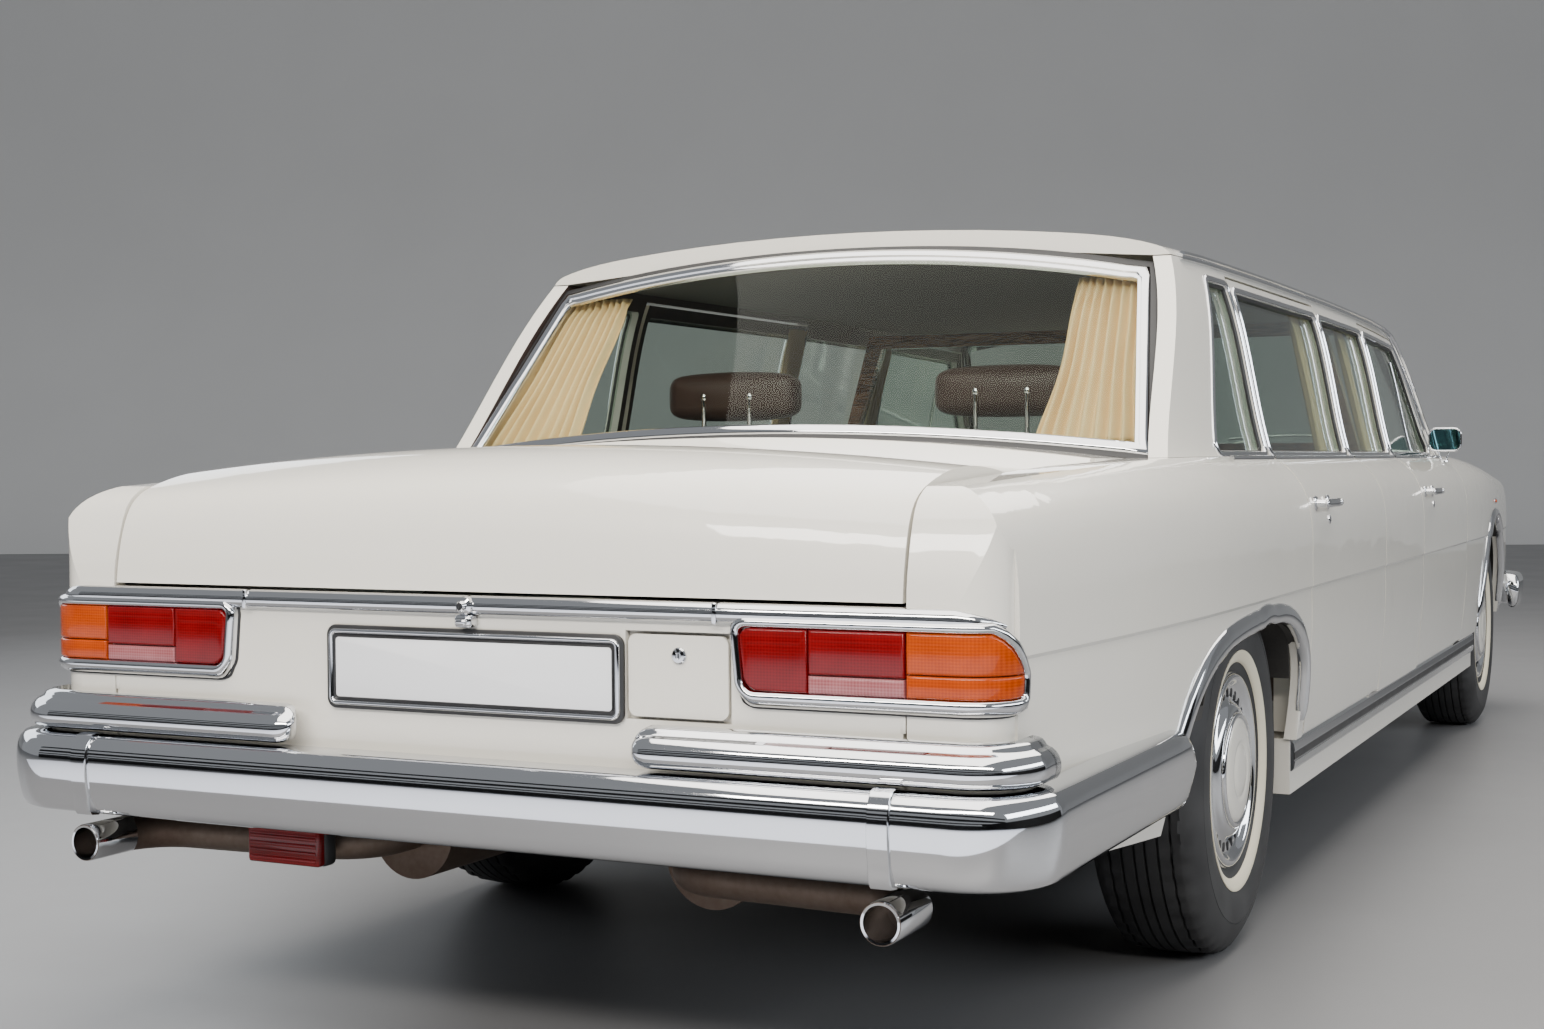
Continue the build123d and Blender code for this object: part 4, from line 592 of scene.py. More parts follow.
@dataclass(frozen=True)
class Station:
    """One place along a sweep: a section's own axes in the car's frame."""

    at: Vector
    side: Vector
    out: Vector
    scale: Flat = (1.0, 1.0)

    def matrix(self) -> Matrix:
        """The matrix that puts a section's plane here."""
        side, out = self.side * self.scale[0], self.out * self.scale[1]
        along = self.side.cross(self.out)
        columns = (side, out, along, self.at)
        return Matrix([[c[row] for c in columns] for row in range(3)] + [[0, 0, 0, 1]])


def stations(
    path: Sequence[Vector], normals: Sequence[Vector], closed: bool = False
) -> list[Station]:
    """Stations along a path, each squared to the path and to its normal.

    Args:
        path: The points.
        normals: The outward direction at each point.
        closed: Whether the path comes back to its start.

    Returns:
        One station per point, and the first again where the path is closed.
    """
    made = []
    count = len(path)
    for i, (point, normal) in enumerate(zip(path, normals)):
        if closed:
            before, after = path[i - 1], path[(i + 1) % count]
        else:
            before, after = path[max(i - 1, 0)], path[min(i + 1, count - 1)]
        back, ahead = (point - before), (after - point)
        back = back.normalized() if back.length > 1e-7 else ahead.normalized()
        ahead = ahead.normalized() if ahead.length > 1e-7 else back
        tangent = (back + ahead).normalized()
        side = tangent.cross(normal).normalized()
        out = side.cross(tangent).normalized()
        widen = 1.0 / max(0.5, math.cos(back.angle(ahead, 0.0) / 2))
        made.append(Station(point, side, out, (widen, 1.0)))
    return made + made[:1] if closed else made


class Work:
    """A piece being made: a bmesh with the shaping steps that this car needs."""

    def __init__(self) -> None:
        """Starts an empty mesh."""
        self.mesh = bmesh.new()

    def block(self, low: Point, high: Point, bevel: float = 0.0, segments: int = 2) -> "Work":
        """Adds a box with rounded edges.

        Args:
            low: Its lowest corner.
            high: Its highest corner.
            bevel: The radius of its edges.
            segments: Faces across each rounded edge.

        Returns:
            The work itself.
        """
        centre = (Vector(low) + Vector(high)) / 2
        size = Vector(high) - Vector(low)
        place = Matrix.Translation(centre) @ Matrix.Diagonal((*size, 1.0))
        made = bmesh.ops.create_cube(self.mesh, size=1.0, matrix=place)
        if bevel:
            edges = {edge for vert in made["verts"] for edge in vert.link_edges}
            self._bevel(edges, bevel, segments)
        return self

    def _bevel(self, edges: Iterable[bmesh.types.BMEdge], width: float, segments: int) -> None:
        """Rounds some edges."""
        bmesh.ops.bevel(
            self.mesh,
            geom=list(edges),
            offset=width,
            affect="EDGES",
            segments=segments,
            profile=0.5,
            material=-1,
        )

    def ball(self, centre: Point, radius: float, squash: Point = (1, 1, 1)) -> "Work":
        """Adds a ball, squashed along each axis."""
        place = Matrix.Translation(centre) @ Matrix.Diagonal((*squash, 1.0))
        bmesh.ops.create_uvsphere(
            self.mesh, u_segments=20, v_segments=12, radius=radius, matrix=place
        )
        return self

    def lathe(
        self, profile: Sequence[Flat], centre: Point, axis: Point, steps: int = 48
    ) -> "Work":
        """Spins a profile about an axis.

        Args:
            profile: Points as (radius, distance along the axis).
            centre: Where the axis starts.
            axis: The axis.
            steps: Faces around.

        Returns:
            The work itself.
        """
        along = Vector(axis).normalized()
        across = along.orthogonal().normalized()
        origin = Vector(centre)
        verts = [self.mesh.verts.new(origin + across * r + along * d) for r, d in profile]
        edges = [self.mesh.edges.new(pair) for pair in zip(verts, verts[1:])]
        bmesh.ops.spin(
            self.mesh,
            geom=verts + edges,
            cent=origin,
            axis=along,
            angle=2 * math.pi,
            steps=steps,
            use_merge=True,
        )
        return self

    def sweep(
        self, section: Sequence[Flat], places: Sequence[Station], ring: bool = False
    ) -> "Work":
        """Draws a closed section along stations.

        Args:
            section: The section's points as (side, out).
            places: The stations.
            ring: Whether the last station is the first again.

        Returns:
            The work itself.
        """
        verts = [self.mesh.verts.new((*point, 0.0)) for point in section]
        edges = [
            self.mesh.edges.new((verts[i], verts[(i + 1) % len(verts)]))
            for i in range(len(verts))
        ]
        before = places[0].matrix()
        bmesh.ops.transform(self.mesh, matrix=before, verts=verts)
        if not ring:
            bmesh.ops.contextual_create(self.mesh, geom=edges)
        for place in places[1:]:
            grown = bmesh.ops.extrude_edge_only(self.mesh, edges=edges)["geom"]
            verts = [g for g in grown if isinstance(g, bmesh.types.BMVert)]
            edges = [
                g
                for g in grown
                if isinstance(g, bmesh.types.BMEdge) and len(g.link_faces) == 1
            ]
            after = place.matrix()
            bmesh.ops.transform(self.mesh, matrix=after @ before.inverted(), verts=verts)
            before = after
        if not ring:
            bmesh.ops.contextual_create(self.mesh, geom=edges)
        return self

    def tube(self, path: Sequence[Vector], radius: float, sides: int = 12) -> "Work":
        """Draws a round bar along points.

        Args:
            path: The points.
            radius: The bar's radius.
            sides: Faces around.

        Returns:
            The work itself.
        """
        section = [
            (radius * math.cos(2 * math.pi * i / sides), radius * math.sin(2 * math.pi * i / sides))
            for i in range(sides)
        ]
        ways = [(b - a).normalized() for a, b in zip(path, path[1:])]
        least = min(range(3), key=lambda k: max(abs(way[k]) for way in ways))
        normal = Vector([1.0 if k == least else 0.0 for k in range(3)])
        return self.sweep(section, stations(path, [normal] * len(path)))

    def plate(
        self, outline: Sequence[Vector], depth: Vector, bevel: float = 0.0, segments: int = 2
    ) -> "Work":
        """Adds a flat plate of any outline, pushed out by its depth.

        Args:
            outline: Its corners in order.
            depth: The way and distance it is pushed.
            bevel: The radius of its edges.
            segments: Faces across each rounded edge.

        Returns:
            The work itself.
        """
        face = self.mesh.faces.new([self.mesh.verts.new(p) for p in outline])
        grown = bmesh.ops.extrude_face_region(self.mesh, geom=[face], use_keep_orig=True)["geom"]
        verts = [g for g in grown if isinstance(g, bmesh.types.BMVert)]
        bmesh.ops.translate(self.mesh, vec=depth, verts=verts)
        if bevel:
            faces = {f for v in verts for f in v.link_faces} | {face}
            self._bevel({e for f in faces for e in f.edges}, bevel, segments)
        return self

    def mirrored(self) -> "Work":
        """Adds the mirror image across the car's middle, and joins the two where they meet."""
        meet = [f for f in self.mesh.faces if all(abs(v.co.x) < 1e-5 for v in f.verts)]
        bmesh.ops.delete(self.mesh, geom=meet, context="FACES_ONLY")
        geometry = list(self.mesh.verts) + list(self.mesh.edges) + list(self.mesh.faces)
        copy = bmesh.ops.duplicate(self.mesh, geom=geometry)["geom"]
        verts = [g for g in copy if isinstance(g, bmesh.types.BMVert)]
        bmesh.ops.transform(self.mesh, matrix=Matrix.Diagonal((-1, 1, 1, 1)), verts=verts)
        middle = [v for v in self.mesh.verts if abs(v.co.x) < 1e-5]
        bmesh.ops.remove_doubles(self.mesh, verts=middle, dist=1e-5)
        return self

    def moved(self, matrix: Matrix) -> "Work":
        """Moves everything made so far."""
        bmesh.ops.transform(self.mesh, matrix=matrix, verts=self.mesh.verts)
        return self

    def done(
        self,
        name: str,
        finish,
        body: str,
        slot: str | None = None,
        smooth: float = 35.0,
    ) -> bpy.types.Object:
        """Turns the work into a finished piece.

        Args:
            name: The piece's name.
            finish: Its finish.
            body: The body that it rides on.
            slot: The record's material slot; not used.
            smooth: Edges sharper than this angle stay sharp, in degrees.

        Returns:
            The piece.
        """
        bmesh.ops.remove_doubles(self.mesh, verts=self.mesh.verts, dist=2e-6)
        bmesh.ops.dissolve_degenerate(self.mesh, edges=self.mesh.edges, dist=1e-6)
        bmesh.ops.recalc_face_normals(self.mesh, faces=self.mesh.faces)
        for face in self.mesh.faces:
            face.smooth = True
        for edge in self.mesh.edges:
            if len(edge.link_faces) == 2:
                edge.smooth = edge.calc_face_angle(0.0) < math.radians(smooth)
        data = bpy.data.meshes.new(name)
        self.mesh.to_mesh(data)
        self.mesh.free()
        piece = bpy.data.objects.new(name, data)
        bpy.context.scene.collection.objects.link(piece)
        piece.data.materials.append(Paintbox.get(finish))
        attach(piece, body)
        log.info("%s: %d faces on %s", name, len(data.polygons), body)
        return piece


class Skin:
    """The outer faces of some CAD nodes, found by looking at them from outside."""

    def __init__(self, nodes: dict[str, bpy.types.Object], *names: str) -> None:
        """Reads the nodes' meshes.

        Args:
            nodes: The frame's nodes.
            names: The nodes to look at.
        """
        verts: list[Vector] = []
        faces: list[list[int]] = []
        for name in names:
            data = nodes[name].data
            start = len(verts)
            verts += [v.co.copy() for v in data.vertices]
            faces += [[start + i for i in p.vertices] for p in data.polygons]
        self.tree = BVHTree.FromPolygons(verts, faces)

    def look(self, start: Point, way: Point) -> tuple[Vector, Vector] | None:
        """The first face seen from a point.

        Args:
            start: Where the look starts.
            way: Its direction.

        Returns:
            The point and its outward normal, or None.
        """
        hit, normal, _, _ = self.tree.ray_cast(Vector(start), Vector(way))
        if hit is None:
            return None
        return hit, normal if normal.dot(Vector(way)) < 0 else -normal

    def side(self, side: Side, y: float, z: float) -> tuple[Vector, Vector] | None:
        """The face seen from the car's side at a place."""
        return self.look((1.5 * side.value, y, z), (-side.value, 0, 0))

    def along_side(
        self, side: Side, outline: Sequence[Flat], proud: float = 0.0
    ) -> tuple[list[Vector], list[Vector]]:
        """Follows points (y, z) over the car's side.

        Args:
            side: Which side.
            outline: The points.
            proud: How far outside the face the path lies.

        Returns:
            The path and its normals.
        """
        path, normals = [], []
        for y, z in outline:
            seen = self.side(side, y, z)
            if seen:
                path.append(seen[0] + seen[1] * proud)
                normals.append(seen[1])
        return path, normals

    def follow(
        self, starts: Sequence[Point], way: Point, proud: float = 0.0
    ) -> tuple[list[Vector], list[Vector]]:
        """Follows points over the faces seen along one direction.

        Args:
            starts: Where each look starts.
            way: The direction of every look.
            proud: How far outside the face the path lies.

        Returns:
            The path and its normals.
        """
        path, normals = [], []
        for start in starts:
            seen = self.look(start, way)
            if seen:
                path.append(seen[0] + seen[1] * proud)
                normals.append(seen[1])
        return path, normals


def between(low: float, high: float, share: float) -> float:
    """A number at a share of the way from low to high."""
    return low + (high - low) * share


def spaced(points: Sequence[Flat], step: float, closed: bool = False) -> list[Flat]:
    """Points about one step apart along a line of corners.

    Args:
        points: The corners.
        step: The greatest distance between points.
        closed: Whether the line comes back to its start.

    Returns:
        The points, corners among them.
    """
    ends = list(points) + [points[0]] if closed else list(points)
    made: list[Flat] = []
    for (x0, y0), (x1, y1) in zip(ends, ends[1:]):
        count = max(1, math.ceil(math.hypot(x1 - x0, y1 - y0) / step))
        made += [(between(x0, x1, i / count), between(y0, y1, i / count)) for i in range(count)]
    return made if closed else made + [ends[-1]]


def rounded(points: Sequence[Flat], radius: float, steps: int = 5) -> list[Flat]:
    """A closed outline with each corner turned on an arc.

    Args:
        points: The corners in order.
        radius: The radius of every corner.
        steps: Parts of each arc.

    Returns:
        The outline's points.
    """
    made: list[Flat] = []
    count = len(points)
    for i, corner in enumerate(points):
        here = Vector(corner)
        back = (Vector(points[i - 1]) - here).normalized()
        ahead = (Vector(points[(i + 1) % count]) - here).normalized()
        half = back.angle(ahead) / 2
        reach = radius / math.tan(half)
        centre = here + (back + ahead).normalized() * (radius / math.sin(half))
        start, end = here + back * reach - centre, here + ahead * reach - centre
        for k in range(steps + 1):
            arm = start.lerp(end, k / steps)
            made.append(tuple(centre + arm.normalized() * radius))
    return made


def silhouette(node: bpy.types.Object) -> list[Flat]:
    """The outline of a node seen from the side, as (y, z) points.

    Args:
        node: A node whose outline has no hollows.

    Returns:
        The outline, anticlockwise in (y, z).
    """
    points = sorted({(round(v.co.y, 4), round(v.co.z, 4)) for v in node.data.vertices})

    def half(run: Iterable[Flat]) -> list[Flat]:
        """One chain of the outline."""
        chain: list[Flat] = []
        for p in run:
            while len(chain) > 1 and _turn(chain[-2], chain[-1], p) <= 1e-9:
                chain.pop()
            chain.append(p)
        return chain[:-1]

    return half(points) + half(reversed(points))


def _turn(a: Flat, b: Flat, c: Flat) -> float:
    """Positive where three points turn anticlockwise."""
    return (b[0] - a[0]) * (c[1] - a[1]) - (b[1] - a[1]) * (c[0] - a[0])


def stand_for(pieces: Sequence[bpy.types.Object], node: str) -> None:
    """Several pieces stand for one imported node."""
    for piece in pieces:
        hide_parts(node)


def flipped(work: Work, side: Side) -> Work:
    """Turns a right-hand work into the left-hand one where that is wanted."""
    if side is Side.LEFT:
        work.moved(Matrix.Diagonal((-1, 1, 1, 1)))
    return work


# ---------------------------------------------------------------- painted and trimmed panels

Facing = Callable[[Vector, Vector], bool]


@dataclass
class Panels:
    """Finishes of the nodes that show as they were packed."""

    nodes: dict[str, bpy.types.Object]
    roof_inner_z: float = -0.35
    inner_face: float = 0.55

    def dress(self, name: str, finish, inner=None, test: Facing | None = None) -> None:
        """Gives a node its finish, and a second one to the faces that pass a test.

        Args:
            name: The node.
            finish: Its finish.
            inner: The finish of the chosen faces.
            test: Picks faces by their centre and normal.
        """
        node = self.nodes[name]
        node.data.materials.clear()
        node.data.materials.append(Paintbox.get(finish))
        for polygon in node.data.polygons:
            polygon.material_index = 0
        if inner is None or test is None:
            return
        node.data.materials.append(Paintbox.get(inner))
        for polygon in node.data.polygons:
            if test(polygon.center, polygon.normal):
                polygon.material_index = 1

    def faces_cabin(self, centre: Vector, normal: Vector) -> bool:
        """Faces that look at the cabin across the car."""
        return normal.x * math.copysign(1.0, centre.x) < -self.inner_face

    def faces_down(self, centre: Vector, normal: Vector) -> bool:
        """Faces that look down into the cabin."""
        return normal.z < self.roof_inner_z

    def build(self) -> None:
        """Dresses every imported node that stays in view."""
        paint = ("rear_deck", "rear_quarters", "tail_panel", "front_wings", "front_panel", "bonnet")
        for name in (*paint, "boot_lid", "fuel_flap"):
            self.dress(name, IVORY, UNDERSEAL, self.lined_below)
        self.dress("roof_panel", IVORY, HEADLINING, self.faces_down)
        self.dress("side_frames", IVORY, DARK_LEATHER, self.faces_cabin)
        for side in Side:
            for end in ("front", "rear"):
                name = f"{end}_door_{side.word}"
                self.dress(name, IVORY, DARK_LEATHER, self.faces_cabin)
                self.dress(f"{end}_door_glass_{side.word}", CLEAR_GLASS)
            self.dress(f"front_knuckle_{side.word}", IRON)
        self.dress("side_glass", CLEAR_GLASS)
        self.dress("windscreen", TINTED_GLASS)
        self.dress("rear_window", TINTED_GLASS)
        self.dress("partition_glass", CLEAR_GLASS)
        self.dress("floor_pan", UNDERSEAL, PILE, self.on_the_floor)
        self.dress("sills", IVORY, UNDERSEAL, self.lined_below)
        self.dress("bulkhead", IVORY, UNDERSEAL, self.under_scuttle)
        for name in ("front_suspension", "rear_axle", "engine_block"):
            self.dress(name, IRON)
        self.dress("exhaust_pipes", PIPE_STEEL)
        self.dress("partition_wall", VENEER, DARK_LEATHER, self.below_belt)

    def lined_below(self, centre: Vector, normal: Vector) -> bool:
        """Faces that look down, under a panel."""
        return normal.z < -0.8

    def on_the_floor(self, centre: Vector, normal: Vector) -> bool:
        """Cabin floor faces, which carry the carpet."""
        return normal.z > 0.7 and centre.z < 0.56 and -1.9 < centre.y < 1.5

    def under_scuttle(self, centre: Vector, normal: Vector) -> bool:
        """Faces of the bulkhead below the scuttle panel."""
        return centre.z < 0.98 and abs(centre.x) < 0.72

    def below_belt(self, centre: Vector, normal: Vector) -> bool:
        """Faces of the partition's lower wall."""
        return centre.z < 0.93


# ---------------------------------------------------------------- tail


@dataclass
class TailCurve:
    """The tail's line in plan: straight across, then round the corner and along the side."""

    rear: float
    half: float
    radius: float = 0.062

    def bend(self, point: Vector) -> Vector:
        """Takes a point from the flat tail, where X runs along the line, to its place."""
        run, out, z = point.x, -point.y, point.z
        straight = self.half - self.radius
        if run <= straight:
            return Vector((run, self.rear - out, z))
        turn = (run - straight) / self.radius
        if turn <= math.pi / 2:
            arm = self.radius + out
            x = straight + arm * math.sin(turn)
            return Vector((x, self.rear + self.radius - arm * math.cos(turn), z))
        rest = run - straight - self.radius * math.pi / 2
        return Vector((self.half + out, self.rear + self.radius + rest, z))

    def wrap(self, work: Work, start: float, end: float, step: float = 0.012) -> Work:
        """Cuts a flat piece across its length and bends it round the tail.

        Args:
            work: The flat piece.
            start: Where the cuts start, along X.
            end: Where they end.
            step: The distance between cuts.

        Returns:
            The bent piece.
        """
        count = int((end - start) / step)
        for i in range(count + 1):
            everything = list(work.mesh.verts) + list(work.mesh.edges) + list(work.mesh.faces)
            bmesh.ops.bisect_plane(
                work.mesh,
                geom=everything,
                dist=1e-5,
                plane_co=(start + i * step, 0, 0),
                plane_no=(1, 0, 0),
            )
        for vert in work.mesh.verts:
            vert.co = self.bend(vert.co)
        return work


def bead(width: float, height: float, steps: int = 6, sink: float = 0.002) -> list[Flat]:
    """A rounded strip's section: half an ellipse on a foot that sinks into the panel.

    Args:
        width: Across the strip.
        height: How proud it stands.
        steps: Parts of its arch.
        sink: How far its foot reaches in.

    Returns:
        The section's points.
    """
    arch = [
        (-width / 2 * math.cos(math.pi * i / steps), height * math.sin(math.pi * i / steps) ** 0.7)
        for i in range(1, steps)
    ]
    return [(-width / 2, -sink), (-width / 2, 0.0), *arch, (width / 2, 0.0), (width / 2, -sink)]


@dataclass
class TailLamps:
    """Long tail lamps in plated surrounds that turn round the rear corners."""

    curve: TailCurve
    inner: float = 0.486
    tip: float = 0.928
    low: float = 0.662
    high: float = 0.757
    joint: float = 0.599
    split: float = 0.754
    shoulder: float = 0.872
    depth: float = 0.016
    rim: float = 0.015
    foot_share: float = 1.7

    def outline(self, grow: float = 0.0) -> list[Flat]:
        """The lens outline on the flat tail, round at its inner end and pointed outside."""
        a, b, low, high = self.inner - grow, self.tip + 1.6 * grow, self.low - grow, self.high + grow
        reach = self.shoulder
        foot, head = 0.026, 0.016
        inner_end = [
            (a + 0.006 + foot * (1 - math.sin(t)), low + foot * (1 - math.cos(t)))
            for t in (math.pi / 2 * i / 7 for i in range(1, 8))
        ]
        inner_end += [
            (a + head * (1 - math.cos(t)), high - head * (1 - math.sin(t)))
            for t in (math.pi / 2 * i / 5 for i in range(5))
        ]
        corner = between(self.low, self.high, 0.34)
        bottom = [(a + 0.032, low), (between(reach, b, 0.5), low), (b - 0.010, low + 0.001)]
        point = [(b - 0.004, low + 0.006), (b - 0.001, corner - 0.008), (b, corner), (b - 0.002, corner + 0.006)]
        slope = [(between(b, reach, t), between(corner, high, t + 0.16 * math.sin(math.pi * t))) for t in (0.25, 0.5, 0.75)]
        top = [*slope, (reach, high), (a + head, high)]
        return [*bottom, *point, *top, *reversed(inner_end)]

    def lens(self, start: float, end: float, low: float, high: float) -> Work:
        """The part of the lens between two places along it and two heights."""
        work = Work()
        outline = [Vector((x, 0.004, z)) for x, z in self.outline(-0.001)]
        work.plate(outline, Vector((0, -self.depth - 0.004, 0)))
        cuts = (
            ((start, 0, 0), (-1, 0, 0)),
            ((end, 0, 0), (1, 0, 0)),
            ((0, 0, low), (0, 0, -1)),
            ((0, 0, high), (0, 0, 1)),
        )
        for place, way in cuts:
            geometry = list(work.mesh.verts) + list(work.mesh.edges) + list(work.mesh.faces)
            cut = bmesh.ops.bisect_plane(
                work.mesh, geom=geometry, plane_co=place, plane_no=way, clear_outer=True
            )["geom_cut"]
            edges = [g for g in cut if isinstance(g, bmesh.types.BMEdge)]
            if edges:
                bmesh.ops.contextual_create(work.mesh, geom=edges)
        face_edges = [
            e
            for e in work.mesh.edges
            if all(v.co.y < -self.depth + 1e-4 for v in e.verts)
        ]
        work._bevel(face_edges, 0.004, 3)
        return self.curve.wrap(work, self.inner, self.tip, 0.010)

    def build(self) -> None:
        """Builds lenses, surrounds and seals on both sides."""
        step = between(self.low, self.high, 0.29)
        crease = between(self.low, self.high, 0.36)
        far = self.tip + 0.05
        gap = 0.0008
        end = self.split - 0.003
        parts = (
            ("tail_lamp_red_inner", RED_LENS, 0.0, self.joint - gap, 0.0, 1.0),
            ("tail_lamp_red_middle", RED_LENS, self.joint + gap, end, step + gap, 1.0),
            ("tail_lamp_reversing", CLEAR_LENS, self.joint + gap, end, 0.0, step - gap),
            ("tail_lamp_amber_upper", AMBER_LENS, self.split, far, crease + gap, 1.0),
            ("tail_lamp_amber_lower", AMBER_LENS, self.split, far, 0.0, crease - gap),
        )
        made = []
        for name, finish, start, end, low, high in parts:
            work = self.lens(start, end, low, high).mirrored()
            made.append(work.done(name, finish, "root", "lamp_lens", 30))
        self.surround()
        stand_for(made, "tail_lamps")

    def surround(self) -> None:
        """The plated surround: a deep bead round the lens."""
        outline = spaced(self.outline(self.rim * 0.45), 0.012, closed=True)
        path = [Vector((x, 0, z)) for x, z in outline]
        section = [
            (-0.0075, -0.004),
            (-0.0072, 0.013),
            (-0.0045, 0.018),
            (0.001, 0.0195),
            (0.006, 0.017),
            (0.0095, 0.010),
            (0.0105, -0.004),
        ]
        work, seal = Work(), Work()
        places = stations(path, [Vector((0, -1, 0))] * len(path), True)
        work.sweep(section, places, True)
        seal.sweep([(0.0095, -0.002), (0.0095, 0.003), (0.0135, 0.0015), (0.0135, -0.002)], places, True)
        foot = self.low - self.rim * 0.45
        for vert in work.mesh.verts:
            if vert.co.z < foot:
                vert.co.z = foot + self.foot_share * (vert.co.z - foot)
        for vert in seal.mesh.verts:
            if vert.co.z < foot:
                vert.co.z -= (self.foot_share - 1) * 0.0095
        for vert in (*work.mesh.verts, *seal.mesh.verts):
            vert.co = self.curve.bend(vert.co)
        work.mirrored().done("tail_lamp_surrounds", CHROME, "root", "chrome", 50)
        seal.mirrored().done("tail_lamp_seals", SEAL, "root", "chrome", 50)


@dataclass
class TailTrim:
    """Plated strip under the lid with its lock, the plate, the flap's lock and the fog lamp."""

    curve: TailCurve
    strip_low: float = 0.7605
    strip_high: float = 0.7905
    strip_joint: float = 0.446
    plate: tuple[float, float, float, float] = (-0.280, 0.285, 0.600, 0.738)

    def build(self) -> None:
        """Builds every piece of the tail's trim."""
        self.strip()
        self.lock()
        self.number_plate()
        self.flap_lock()
        self.fog_lamp()
        self.seams()

    def seams(self) -> None:
        """Filled seams between the tail panel and the quarters, under the lamps."""
        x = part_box("tail_panel")[1][0]
        rear = self.curve.rear
        work = Work().block((x - 0.004, rear - 0.0007, 0.610), (x + 0.004, rear + 0.004, 0.652), 0.0006)
        work.mirrored().done("tail_seams", IVORY, "root", "body_paint")

    def strip(self) -> None:
        """The strip across the tail and round both corners."""
        end = 0.900
        height = self.strip_high - self.strip_low
        section = [
            (-height / 2, -0.003),
            (-height / 2, 0.008),
            (-0.30 * height, 0.0135),
            (0.0, 0.0160),
            (0.30 * height, 0.0145),
            (0.44 * height, 0.0105),
            (height / 2, 0.006),
            (height / 2, -0.003),
        ]
        middle = (self.strip_low + self.strip_high) / 2
        drop = 0.010
        path = [Vector((end * i / 60, 0, middle - drop * max(0.0, (i - 54) / 6) ** 2)) for i in range(61)]
        places = stations(path, [Vector((0, -1, 0))] * len(path))
        for i in range(56, 61):
            shrink = 1.0 - 0.16 * (i - 55)
            places[i] = Station(places[i].at, places[i].side, places[i].out, (shrink, shrink))
        work = Work().sweep(section, places)
        for vert in work.mesh.verts:
            vert.co = self.curve.bend(vert.co)
        work.mirrored().done("tail_strip", CHROME, "root", "chrome", 50)
        joints = Work()
        rear = self.curve.rear
        low, high = self.strip_low - 0.001, self.strip_high + 0.001
        x = self.strip_joint
        joints.block((x - 0.004, rear - 0.0172, low), (x + 0.004, rear, high), 0.002)
        joints.mirrored().done("tail_strip_joints", CHROME, "root", "chrome")

    def lock(self) -> None:
        """Round push button and catch at the middle of the strip."""
        rear = self.curve.rear
        z = (self.strip_low + self.strip_high) / 2
        work = Work()
        button = [(0, 0.030), (0.006, 0.030), (0.0085, 0.027), (0.0085, 0.022), (0.0105, 0.021)]
        work.lathe([*button, (0.0145, 0.019), (0.0155, 0.014), (0.0155, 0.0)], (0, rear, z), (0, -1, 0))
        work.block((-0.016, rear - 0.024, z - 0.034), (0.016, rear, z - 0.014), 0.006, 3)
        work.block((-0.010, rear - 0.030, z - 0.030), (0.010, rear - 0.018, z - 0.020), 0.004, 3)
        work.done("lid_lock", CHROME, "root", "chrome")
        # A thin black bar for the keyhole: its black is painted shade standing in for the recess of the key slot.
        slot = Work().block((-0.0012, rear - 0.0306, z - 0.005), (0.0012, rear - 0.0296, z + 0.005))
        slot.done("lid_lock_slot", SEAL, "root", "chrome")

    def number_plate(self) -> None:
        """Blank plate on its backing, in a plated frame."""
        x0, x1, z0, z1 = self.plate
        rear = self.curve.rear
        back = rear - 0.0005
        around = rounded([(x0, z0), (x1, z0), (x1, z1), (x0, z1)], 0.017, 6)
        work = Work().plate([Vector((x, back, z)) for x, z in around], Vector((0, -0.007, 0)), 0.002)
        seal = work.done("plate_backing", BLACK_PLASTIC, "root", "plate_blank")
        corners = [(x0 + 0.010, z0 + 0.010), (x1 - 0.010, z0 + 0.010)]
        corners += [(x1 - 0.010, z1 - 0.010), (x0 + 0.010, z1 - 0.010)]
        outline = rounded(corners, 0.010, 4)
        path = [Vector((x, back - 0.006, z)) for x, z in outline]
        places = stations(path, [Vector((0, -1, 0))] * len(path), True)
        frame = Work().sweep(bead(0.009, 0.006), places, True)
        frame.done("plate_frame", CHROME, "root", "chrome", 60)
        inset = 0.0185
        corners = [(x0 + inset, z0 + inset), (x1 - inset, z0 + inset)]
        corners += [(x1 - inset, z1 - inset), (x0 + inset, z1 - inset)]
        outline = rounded(corners, 0.007, 4)
        plate = Work().plate(
            [Vector((x, back - 0.0068, z)) for x, z in outline], Vector((0, -0.0016, 0)), 0.0006
        )
        sheet = plate.done("plate_blank", PLATE_WHITE, "root", "plate_blank")
        edge = Work()
        path = [Vector((x, back - 0.0084, z)) for x, z in rounded(corners, 0.007, 4)]
        edge.sweep(bead(0.003, 0.0012, 4), stations(path, [Vector((0, -1, 0))] * len(path), True), True)
        edge.done("plate_edge", SEAL, "root", "plate_blank", 60)
        stand_for([seal, sheet], "number_plates")

    def flap_lock(self) -> None:
        """Round key lock of the fuel flap, and its key slot."""
        low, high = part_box("fuel_flap")
        rear = self.curve.rear
        x, z = 0.379, 0.709
        profile = [(0, 0.0042), (0.0045, 0.0042), (0.0052, 0.0055), (0.0105, 0.0050)]
        work = Work().lathe([*profile, (0.0125, 0.0030), (0.0125, -0.001)], (x, rear, z), (0, -1, 0), 32)
        work.done("flap_lock", CHROME, "fuel_flap", "chrome")
        # A thin black bar for the keyhole: its black is painted shade standing in for the recess of the key slot.
        slot = Work().block((x - 0.0009, rear - 0.0048, z - 0.0035), (x + 0.0009, rear - 0.004, z + 0.0035))
        slot.done("flap_lock_slot", SEAL, "fuel_flap", "chrome")
        log.info("fuel flap spans %.3f m", high[0] - low[0])

